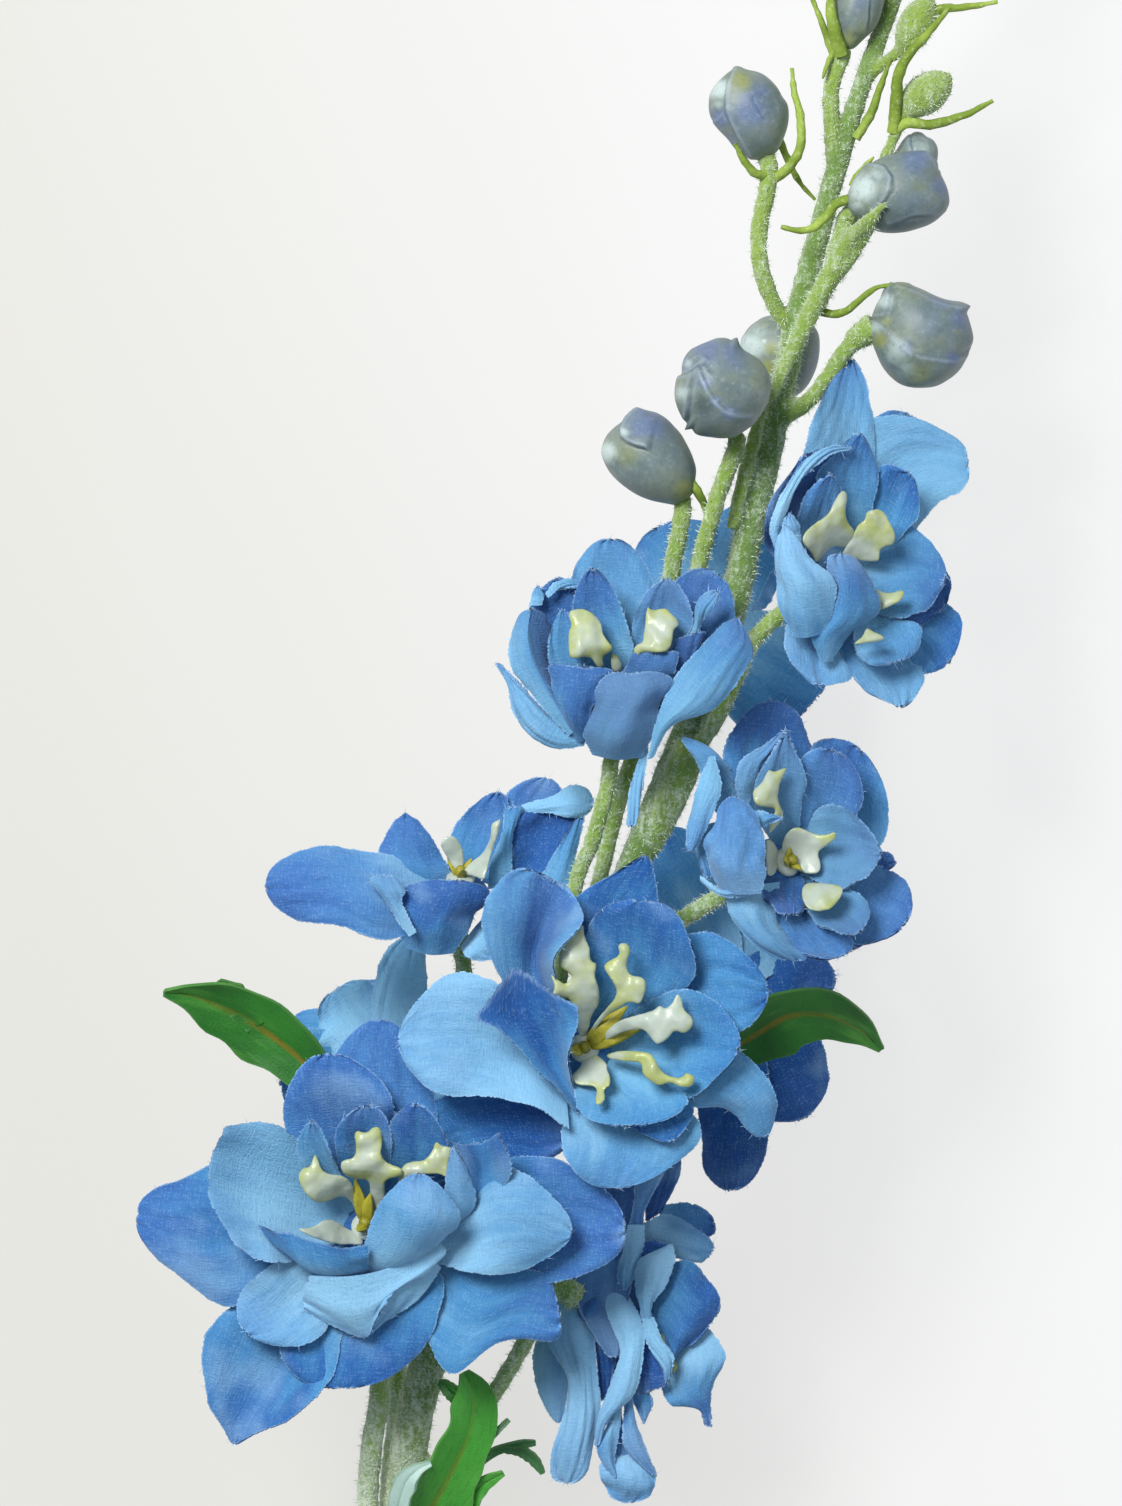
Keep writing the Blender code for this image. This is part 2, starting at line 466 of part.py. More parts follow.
def petal_width(share, point):
    """Width at a share of the length, as a share of the widest."""
    if share <= PETAL_BELLY:
        part = share / PETAL_BELLY
        return PETAL_NECK + (1.0 - PETAL_NECK) * math.sin(math.pi / 2 * part)
    part = (share - PETAL_BELLY) / (1.0 - PETAL_BELLY)
    round_end = math.sqrt(max(0.0, 1.0 - part * part))
    sharp_end = (1.0 - part) ** SHARP
    return round_end + (sharp_end - round_end) * point


def sheet_solid(rows, thick):
    """A closed blade from rows of three places; the last row is the tip alone."""
    grid = []
    for index, row in enumerate(rows):
        if len(row) == 1:
            before = rows[index - 1]
            lengthwise = row[0] - before[1]
            crosswise = before[2] - before[0]
            up = crosswise.cross(lengthwise).normalized() * -1.0
            grid.append([(row[0], up)])
            continue
        ahead = rows[min(index + 1, len(rows) - 1)]
        behind = rows[max(index - 1, 0)]
        line = []
        for column, place in enumerate(row):
            to_ahead = ahead[column] if len(ahead) == 3 else ahead[0]
            lengthwise = to_ahead - behind[column]
            crosswise = row[min(column + 1, 2)] - row[max(column - 1, 0)]
            line.append((place, lengthwise.cross(crosswise).normalized()))
        grid.append(line)
    points = []
    number = []
    for line in grid:
        number.append([])
        for place, up in line:
            number[-1].append(len(points))
            points.append(place + up * thick / 2)
            points.append(place - up * thick / 2)
    faces = []
    for first, second in zip(number, number[1:]):
        if len(second) == 1:
            for side in range(2):
                faces.append((first[side], first[side + 1], second[0]))
                faces.append((first[side + 1] + 1, first[side] + 1, second[0] + 1))
            continue
        for side in range(2):
            a, b, c, d = first[side], first[side + 1], second[side + 1], second[side]
            if side == 0:
                tris = ((a, b, d), (b, c, d))
            else:
                tris = ((a, b, c), (a, c, d))
            for tri in tris:
                faces.append(tri)
                faces.append((tri[2] + 1, tri[1] + 1, tri[0] + 1))
    rim = [line[0] for line in number] + [line[2] for line in reversed(number[:-1])]
    rim.append(number[0][1])
    for start, end in zip(rim, rim[1:] + rim[:1]):
        faces.append((start, start + 1, end + 1))
        faces.append((start, end + 1, end))
    return points, faces


def petal_rows(flower, ring, tip, wide, slope, extra):
    """Places on the middle surface of a petal, row by row from the root."""
    across, beside, axis, seat = frame_of(flower)
    bearing, length = aim(flower, ring, tip, slope)
    outward = across * math.cos(bearing) + beside * math.sin(bearing)
    sideways = axis.cross(outward)
    cup = extra.get("cup", PETAL_CUP)
    rows = []
    for share in PETAL_ROWS[ring] + (1.0,):
        reach, height = along_midline(ROOTS[ring], length, slope, share)
        angle = math.radians(slope[0] + (slope[1] - slope[0]) * share)
        middle = seat + outward * reach + axis * height
        middle += sideways * extra.get("bend", 0.0) * length * share * share
        inward = axis * math.cos(angle) - outward * math.sin(angle)
        roll = math.radians(extra.get("twist", 0.0)) * share
        side = sideways * math.cos(roll) + inward * math.sin(roll)
        lift = inward * math.cos(roll) - sideways * math.sin(roll)
        if share == 1.0:
            rows.append([middle])
            continue
        width = wide * petal_width(share, extra.get("point", PETAL_POINT))
        rise = width * (1.0 - math.cos(cup)) / cup * min(1.0, share / CUP_START)
        flat = width / 2 * math.sin(cup) / cup
        rows.append([middle - side * flat + lift * rise, middle,
                     middle + side * flat + lift * rise])
    return rows


def arm_solid(flower, tip, slope):
    """A forked stamen arm as a flat outline of even thickness."""
    across, beside, axis, seat = frame_of(flower)
    bearing, length = aim(flower, "arm", tip, slope)
    outward = across * math.cos(bearing) + beside * math.sin(bearing)
    sideways = axis.cross(outward)
    points = []
    for share, half in ARM_OUTLINE:
        reach, height = along_midline(ROOTS["arm"], length, slope, share)
        angle = math.radians(slope[0] + (slope[1] - slope[0]) * share)
        inward = axis * math.cos(angle) - outward * math.sin(angle)
        middle = seat + outward * reach + axis * height
        for way in (-1, 1):
            for face in (1, -1):
                points.append(middle + sideways * half * way + inward * face * ARM_THICK / 2)
    faces = []
    last = 4 * (len(ARM_OUTLINE) - 1)
    for base in range(0, last, 4):
        left, left_low, right, right_low = base, base + 1, base + 2, base + 3
        faces += [(left, right, right + 4, left + 4),
                  (left_low, left_low + 4, right_low + 4, right_low),
                  (left, left + 4, left_low + 4, left_low),
                  (right, right_low, right_low + 4, right + 4)]
    faces += [(0, 1, 3, 2), (last, last + 2, last + 3, last + 1)]
    return points, faces


def turned(seat, axis, rings, sides, lobes=0.0, end_point=None):
    """A closed round body about an axis from rings of height and radius."""
    across = axis.orthogonal().normalized()
    beside = axis.cross(across)
    points = []
    for height, radius in rings:
        for index in range(sides):
            angle = math.tau * index / sides
            swell = radius * (1.0 + lobes * math.cos(3 * angle))
            points.append(seat + axis * height
                          + (across * math.cos(angle) + beside * math.sin(angle)) * swell)
    faces = []
    for ring in range(len(rings) - 1):
        for index in range(sides):
            here = ring * sides + index
            beyond = ring * sides + (index + 1) % sides
            faces.append((here, beyond, beyond + sides, here + sides))
    faces.append(tuple(reversed(range(sides))))
    top = (len(rings) - 1) * sides
    if end_point is None:
        faces.append(tuple(range(top, top + sides)))
    else:
        points.append(seat + axis * end_point)
        for index in range(sides):
            faces.append((top + index, top + (index + 1) % sides, len(points) - 1))
    return points, faces


def tube(way, radii, sides):
    """A closed round rod along a way, with a radius at every place."""
    way = [Vector(place) for place in way]
    points = []
    across = None
    for index, place in enumerate(way):
        ahead = way[min(index + 1, len(way) - 1)]
        behind = way[max(index - 1, 0)]
        heading = (ahead - behind).normalized()
        if across is None:
            across = heading.orthogonal().normalized()
        across = (across - heading * across.dot(heading)).normalized()
        beside = heading.cross(across)
        for step in range(sides):
            angle = math.tau * step / sides
            points.append(place + (across * math.cos(angle) + beside * math.sin(angle))
                          * radii[index])
    faces = []
    for ring in range(len(way) - 1):
        for step in range(sides):
            here = ring * sides + step
            beyond = ring * sides + (step + 1) % sides
            faces.append((here, beyond, beyond + sides, here + sides))
    faces.append(tuple(reversed(range(sides))))
    top = (len(way) - 1) * sides
    faces.append(tuple(range(top, top + sides)))
    return points, faces


def tapered(way, start, end):
    """Even change of radius from one end of a way to the other."""
    last = len(way) - 1
    return [start + (end - start) * index / last for index in range(len(way))]


def fuse(name, solids, finish):
    """Join closed solids to one body by one union, and drop sealed hollows and scraps."""
    base = new_object(name, solids[0][0], solids[0][1], finish)
    if len(solids) > 1:
        others = bpy.data.collections.new(name + " repeats")
        bpy.context.scene.collection.children.link(others)
        for index, (points, faces) in enumerate(solids[1:]):
            repeat = new_object(name + " repeat " + str(index), points, faces, finish)
            bpy.context.scene.collection.objects.unlink(repeat)
            others.objects.link(repeat)
        union = base.modifiers.new("union", "BOOLEAN")
        union.operation = "UNION"
        union.operand_type = "COLLECTION"
        union.collection = others
        union.solver = "EXACT"
        bpy.context.view_layer.objects.active = base
        bpy.ops.object.modifier_apply(modifier=union.name)
        for repeat in list(others.objects):
            mesh = repeat.data
            material = mesh.materials[0]
            bpy.data.objects.remove(repeat)
            bpy.data.meshes.remove(mesh)
            bpy.data.materials.remove(material)
        bpy.data.collections.remove(others)
    tidy(base)
    return base


def tidy(piece):
    """Keep the one outer shell: hollows inside it and loose scraps are removed."""
    work = bmesh.new()
    work.from_mesh(piece.data)
    bmesh.ops.remove_doubles(work, verts=work.verts, dist=MERGE)
    bmesh.ops.dissolve_limit(work, angle_limit=FLAT, verts=work.verts, edges=work.edges)
    bmesh.ops.triangulate(work, faces=work.faces)
    shells = []
    left = set(work.faces)
    while left:
        shell = []
        queue = [left.pop()]
        while queue:
            face = queue.pop()
            shell.append(face)
            for edge in face.edges:
                for neighbour in edge.link_faces:
                    if neighbour in left:
                        left.discard(neighbour)
                        queue.append(neighbour)
        shells.append(shell)

    def volume(shell):
        return sum(face.verts[0].co.dot(face.verts[1].co.cross(face.verts[2].co))
                   for face in shell) / 6.0

    shells.sort(key=lambda shell: -volume(shell))
    for shell in shells[1:]:
        bmesh.ops.delete(work, geom=shell, context="FACES")
    work.to_mesh(piece.data)
    work.free()
    while len(piece.data.materials) > 1:
        piece.data.materials.pop()
    for polygon in piece.data.polygons:
        polygon.material_index = 0


def ring_petals(flower):
    """The even petals of a flower that hangs underneath, drawn with a seed."""
    ring = flower.get("ring")
    if ring is None:
        return []
    draw = random.Random(ring["seed"])
    taken = [math.degrees(aim(flower, kind, tip, slope)[0]) % 360
             for kind, tip, wide, slope, extra in flower["petals"]]
    petals = []
    count, length, wide, slope = ring["outer"]
    bearings = sorted(taken)
    for _ in range(count):
        spans = [((bearings[(i + 1) % len(bearings)] - bearings[i]) % 360 or 360, bearings[i])
                 for i in range(len(bearings))]
        span, start = max(spans)
        bearing = (start + span / 2 + draw.uniform(-4, 4)) % 360
        bearings = sorted(bearings + [bearing])
        petals.append(("outer", around(bearing, length + draw.uniform(-1.5, 1.5)), wide,
                       (slope, slope - 6), {}))
    count, length, wide, slope = ring["inner"]
    for index in range(count):
        bearing = ring["start"] + 360 / count * index + draw.uniform(-6, 6)
        petals.append(("inner", around(bearing, length + draw.uniform(-1, 1)), wide,
                       (slope, slope + 6), {"cup": 0.35}))
    return petals


def flower_head_solids(flower):
    """Core and petals of one flower."""
    solids = [turned(seat_of(flower), Vector(flower["faces"]).normalized(), CORE_RINGS,
                     CORE_SIDES)]
    for ring, tip, wide, slope, extra in list(flower["petals"]) + ring_petals(flower):
        solids.append(sheet_solid(petal_rows(flower, ring, tip, wide, slope, extra), PETAL_THICK))
    return solids


def stamen_solids(flower):
    """Disc and forked arms of one flower."""
    solids = [turned(seat_of(flower), Vector(flower["faces"]).normalized(), DISC_RINGS,
                     DISC_SIDES)]
    root_slope, tip_slope = flower.get("arm_slope", ARM_SLOPE)
    for index, tip in enumerate(flower["arms"]):
        lean = ARM_LEANS[0] + ARM_LEANS[1] * index
        slope = (root_slope + lean * ARM_ROOT_LEAN, tip_slope + lean)
        solids.append(arm_solid(flower, tip, slope))
    return solids


def pistil_solids(flower):
    """Short post with three leaning prongs."""
    across, beside, axis, seat = frame_of(flower)
    solids = [turned(seat, axis, PISTIL_RINGS, DISC_SIDES)]
    for bearing in PRONG_BEARINGS:
        angle = math.radians(bearing)
        lean = across * math.cos(angle) + beside * math.sin(angle)
        foot = seat + axis * PRONG_FOOT
        top = foot + axis * PRONG_RISE + lean * PRONG_LEAN
        solids.append(tube((foot, top), PRONG_RADII, PRONG_SIDES))
    return solids


def bud_rings(length, thick, start):
    """Height and radius of a bud's rings, drop-shaped."""
    return [(start + length * share, thick / 2 * size) for share, size in BUD_PROFILE]


def leaf_lobe(way, facing):
    """Rows of a leaf lobe: the way is its midrib, the edges stand a little higher."""
    facing = Vector(facing).normalized()
    places = [Vector(place[:3]) for place in way]
    rows = []
    for index, place in enumerate(places):
        if index == len(places) - 1:
            rows.append([place])
            continue
        ahead = places[index + 1]
        behind = places[max(index - 1, 0)]
        heading = (ahead - behind).normalized()
        side = facing.cross(heading).normalized()
        up = heading.cross(side)
        half = way[index][3]
        rows.append([place - side * half + up * half * LEAF_FOLD, place,
                     place + side * half + up * half * LEAF_FOLD])
    return rows


def stem_solids():
    """Main stem, stalks with their knobs, bracts and the small flocked buds."""
    solids = [tube([place[:3] for place in STEM], [place[3] for place in STEM], STEM_SIDES)]
    for name, (way, radius) in FLOWER_STALKS.items():
        axis = Vector(FLOWERS[name]["faces"]).normalized()
        seat = seat_of(FLOWERS[name])
        path = [Vector(place) for place in way] + [seat + axis * KNOB_RINGS[0][0]]
        radii = tapered(path, radius, KNOB_RINGS[0][1])
        for height, size in KNOB_RINGS[1:]:
            path.append(seat + axis * height)
            radii.append(size)
        solids.append(tube(path, radii, STALK_SIDES))
    for way, direction, length, thick in BUDS.values():
        axis = Vector(direction).normalized()
        end = Vector(way[-1])
        path = [Vector(place) for place in way] + [end + axis * BUD_NECK]
        solids.append(tube(path, tapered(path, *BUD_STALK), STALK_SIDES))
    for way, direction, length, thick in GREEN_BUDS:
        axis = Vector(direction).normalized()
        solids.append(tube(way, tapered(way, *GREEN_STALK), STALK_SIDES))
        solids.append(turned(Vector(way[-1]), axis, bud_rings(length, thick, -SUNK),
                             GREEN_BUD_SIDES, end_point=length - SUNK))
    for way, radius in BRACTS:
        solids.append(tube(way, tapered(way, radius, BRACT_TIP), BRACT_SIDES))
    return solids


def let_down(name):
    """Lower a hanging flower until its lowest place lies on the surface."""
    flower = FLOWERS[name]
    lowest = min(point.z for points, faces in flower_head_solids(flower) for point in points)
    x, y, z = flower["throat"]
    flower["throat"] = (x, y, z - lowest)


def build():
    for piece in list(bpy.data.objects):
        bpy.data.objects.remove(piece)
    for name in RESTING:
        let_down(name)
    made = [fuse("stem", stem_solids(), FINISHES["stem"])]
    for name, flower in FLOWERS.items():
        made.append(fuse("petals_" + name, flower_head_solids(flower), FINISHES["petals"]))
        made.append(fuse("stamens_" + name, stamen_solids(flower), FINISHES["stamens"]))
        made.append(fuse("pistil_" + name, pistil_solids(flower), FINISHES["pistil"]))
    for name, (way, direction, length, thick) in BUDS.items():
        axis = Vector(direction).normalized()
        seat = Vector(way[-1]) + axis * (BUD_NECK + CLEAR)
        bud = turned(seat, axis, bud_rings(length, thick, 0.0), BUD_SIDES, BUD_LOBES, length)
        made.append(fuse(name, [bud], FINISHES["bud"]))
    for name, lobes in LEAVES.items():
        solids = [sheet_solid(leaf_lobe(way, facing), LEAF_THICK) for way, facing in lobes]
        made.append(fuse(name, solids, FINISHES["leaf"]))
    corners = [vertex.co for piece in made for vertex in piece.data.vertices]
    low = [min(point[i] for point in corners) for i in range(3)]
    high = [max(point[i] for point in corners) for i in range(3)]
    middle = Vector(((low[0] + high[0]) / 2, (low[1] + high[1]) / 2, low[2]))
    for piece in made:
        piece.data.transform(Matrix.Scale(MM, 4) @ Matrix.Translation(-middle))
    return middle


MIDDLE = build()
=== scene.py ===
"""Looks of the delphinium spike: cloth flowers, moulded buds and a flocked stem.

The tables are in millimetres, in the same drawing as the solids. The stem lies along +Y and
the camera looks straight down on it. Every finished piece is moved to the shared frame and
scaled to metres as the last step of its making.
"""

import math
import random

import bpy
import numpy as np
from mathutils import Matrix, Vector


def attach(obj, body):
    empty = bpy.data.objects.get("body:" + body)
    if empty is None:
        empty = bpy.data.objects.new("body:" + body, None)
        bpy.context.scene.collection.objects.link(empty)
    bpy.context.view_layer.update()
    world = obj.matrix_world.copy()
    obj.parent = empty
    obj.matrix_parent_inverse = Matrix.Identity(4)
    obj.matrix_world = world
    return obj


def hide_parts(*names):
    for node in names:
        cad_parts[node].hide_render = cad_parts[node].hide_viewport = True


MM = 0.001
NEARLY_NOTHING = 1e-9
DRAWING_MIDDLE = Vector((2.83, -17.86, 0.0))     # middle of the solids in the drawing

# The petal form that the solids have too
ROOTS = {"outer": (1.6, 1.4), "middle": (2.1, 2.5), "inner": (3.1, 3.4), "arm": (1.6, 5.5)}
THROAT_HEIGHT = 7.0
SHORTEST, LONGEST = 8.0, 42.0
STEEPEST = 0.2
AIM_ROUNDS = 60
MIDLINE_STEPS = 120
SHARP = 0.85
CUP_START = 0.3
TRACED_BELLY = 0.6     # share of a traced petal's length where its rows begin to close up

# Cloth
PETAL_NECK = 0.5       # root width as a share of the widest
PETAL_POINT = 0.0
PETAL_CUP = 0.36       # half angle in radians of the arc across a petal
CUP_MORE = 1.35        # how much more cloth is arched than the solids
CLOTH = 0.26           # thickness
ROWS = 34
COLUMNS = 22
END_WIDTH = 0.04       # the last row keeps this share of the width
ROLLED_EDGE = 1.1      # how far in from the cut edge the cloth starts to roll
BROAD = 7.0            # half width from which a petal has its whole wrinkles
NARROW_SHARE = 0.15    # what is left of them where it is narrow
FRAY = 0.12            # how far the cut edge wanders
CLOTH_SMOOTH = 42      # degrees up to which cloth is shaded smooth
VEINS = 0.22           # lift of a petal's veins in mm
FINE_VEINS = 0.12
CREASE = 0.16          # depth of the middle crease, and its half width as a share
CREASE_WIDTH = 0.16
WOBBLE = 0.8           # lift of the slow waves along a petal
RUFFLE = 0.8           # lift of its edges
RUFFLE_POWER = 2.6     # how near the edge the ruffles stay
CRUMPLE = 0.85         # share of all this that a traced petal has
ROLL = 0.45            # how far its edges roll down
ROLL_UNEVEN = 0.35
ACROSS = np.arange(COLUMNS + 1) / COLUMNS * 2.0 - 1.0      # -1 at the left edge, 1 at the right
ALONG = np.arange(ROWS + 1) / ROWS                         # 0 at the root, 1 at the tip

POLAR = "bearing"


def around(bearing, length):
    """A petal given by its bearing about the flower's axis and its length."""
    return (POLAR, bearing, length)


# Main stem from the cut end to the tip: x, y, z, radius
STEM = (
    (-35.8, -219.6, 3.6, 2.9), (-32.4, -185.5, 14.0, 2.85), (-28.1, -146.8, 26.0, 2.8),
    (-25.1, -116.7, 34.0, 3.1), (-20.9, -95.6, 40.0, 2.9), (-12.9, -75.5, 44.0, 2.6),
    (-4.0, -55.3, 47.0, 2.55), (4.5, -35.2, 48.5, 2.5), (11.6, -16.6, 49.0, 2.6),
    (18.6, 0.5, 49.0, 2.6), (25.2, 17.5, 48.0, 2.4), (29.6, 36.1, 47.0, 2.3),
    (32.9, 50.1, 46.0, 2.2), (37.0, 68.7, 45.0, 2.0), (40.8, 83.4, 44.0, 1.8),
    (44.0, 95.0, 43.0, 1.65), (47.6, 105.9, 42.0, 1.5), (51.5, 116.7, 41.0, 1.4),
    (56.0, 130.7, 40.0, 1.25), (60.3, 146.2, 38.5, 1.1), (64.2, 163.2, 37.0, 0.95),
    (66.8, 178.7, 35.0, 0.8),
)

FLOWERS = {
    "low_front": {
        "throat": (-30.1, -71.9, 60.0), "faces": (-0.10, 0.42, 0.90),
        "arms": (around(146, 16), around(93, 16), around(44, 17), around(200, 14)),
        "arm_slope": (66, 54),
        "lobes": ((100, 7.4, 24, 1.0), (68, 5.6, 12, 1.1), (250, 3.8, 10, 0.9)),
    },
    "middle_front": {
        "throat": (3.6, -44.8, 66.0), "faces": (0.0, 0.15, 0.99),
        "arms": (around(87, 18), around(58, 17), around(11, 17), around(337, 18), around(283, 13)),
        "arm_slope": (62, 24),
        "lobes": ((43, 8.6, 52, 1.3), (22, 10.4, 62, 1.5), (200, 3.6, 16, 0.9)),
    },
    "right_front": {
        "throat": (35.5, -16.3, 62.0), "faces": (0.55, 0.25, 0.80),
        "arms": (around(146, 15), around(25, 12), around(268, 14), around(205, 13)),
        "arm_slope": (68, 56),
        "lobes": ((200, 3.4, 20, 0.8), (130, 2.8, 14, 0.7), (300, 2.6, 12, 0.7)),
    },
    "high_right": {
        "throat": (44.0, 27.5, 60.0), "faces": (0.60, 0.28, 0.75),
        "arms": (around(165, 14), around(88, 14), around(300, 13), around(255, 14)),
        "arm_slope": (68, 56),
        "lobes": ((40, 3.0, 14, 0.8), (160, 3.0, 14, 0.8), (280, 3.0, 14, 0.8)),
    },
    "high_front": {
        "throat": (8.5, 8.0, 66.0), "faces": (-0.06, 0.55, 0.83),
        "arms": (around(140, 17), around(45, 17), around(92, 15)),
        "arm_slope": (72, 64),
        "lobes": ((40, 3.0, 14, 0.8), (160, 3.0, 14, 0.8), (280, 3.0, 14, 0.8)),
    },
    "left_side": {
        "throat": (-15.5, -18.0, 52.0), "faces": (0.02, 0.88, 0.47),
        "arms": (around(205, 15), around(318, 16), around(120, 13), around(25, 14)),
        "lobes": ((40, 3.0, 14, 0.8), (160, 3.0, 14, 0.8), (280, 3.0, 14, 0.8)),
    },
    "low_side": {
        "throat": (7.5, -89.0, 40.0), "faces": (0.72, -0.60, -0.34), "cup": 2.4,
        "arms": (around(80, 14), around(160, 14), around(235, 13), around(318, 14)),
        "arm_slope": (86, 82),
        "lobes": ((40, 4.0, 12, 0.9), (160, 4.0, 12, 0.9), (280, 4.0, 12, 0.9)),
    },
    "back_high": {
        "throat": (24.0, 20.0, 18.95), "faces": (0.10, 0.15, -0.98),
        "petals": (
            ("outer", (-7.9, 16.2), 16, (16, 8), {}),
            ("outer", (7.0, 19.0), 13, (16, 10), {}),
            ("outer", (16.0, -12.0), 21, (16, 12), {}),
        ),
        "ring": {"outer": (2, 22.0, 15, 22), "inner": (4, 21.0, 11, 60), "start": 30.0, "seed": 3},
        "arms": (around(20, 13), around(110, 14), around(200, 13), around(290, 14)),
    },
    "back_right": {
        "throat": (28.5, -37.5, 18.3), "faces": (0.25, -0.15, -0.95),
        "petals": (
            # The petals given depth here are painted shade: they lie behind the flowers in front.
            ("outer", (9.5, -19.4), 16, (18, 12), {"tone": 0.9}),
            ("outer", (14.0, 2.3), 14, (20, 14), {"tone": 0.9}),
            ("outer", (-13.2, 24.8), 13, (8, 0), {}),
            ("outer", (-1.5, -31.0), 12, (8, 0), {"tone": 0.9}),
        ),
        "ring": {"outer": (2, 25.0, 15, 24), "inner": (4, 21.0, 11, 60), "start": 140.0, "seed": 8},
        "arms": (around(40, 13), around(130, 14), around(220, 13), around(310, 14)),
    },
    "back_left": {
        "throat": (-28.8, -49.9, 20.0), "faces": (-0.20, 0.10, -0.97),
        "petals": (
            # Made paler here: painted light on petals that lie in the shade of the flowers in front.
            ("outer", (5.1, 20.9), 9, (10, 0), {"pale": 0.5, "tone": -0.2}),
            ("outer", (-7.0, 12.5), 13, (20, 14), {"pale": 0.5, "tone": -0.2}),
            ("outer", (-15.0, -1.5), 15, (22, 16), {}),
        ),
        "ring": {"outer": (3, 24.0, 15, 22), "inner": (4, 21.0, 11, 60), "start": 20.0, "seed": 5},
        "arms": (around(10, 13), around(100, 14), around(190, 13), around(280, 14)),
    },
}
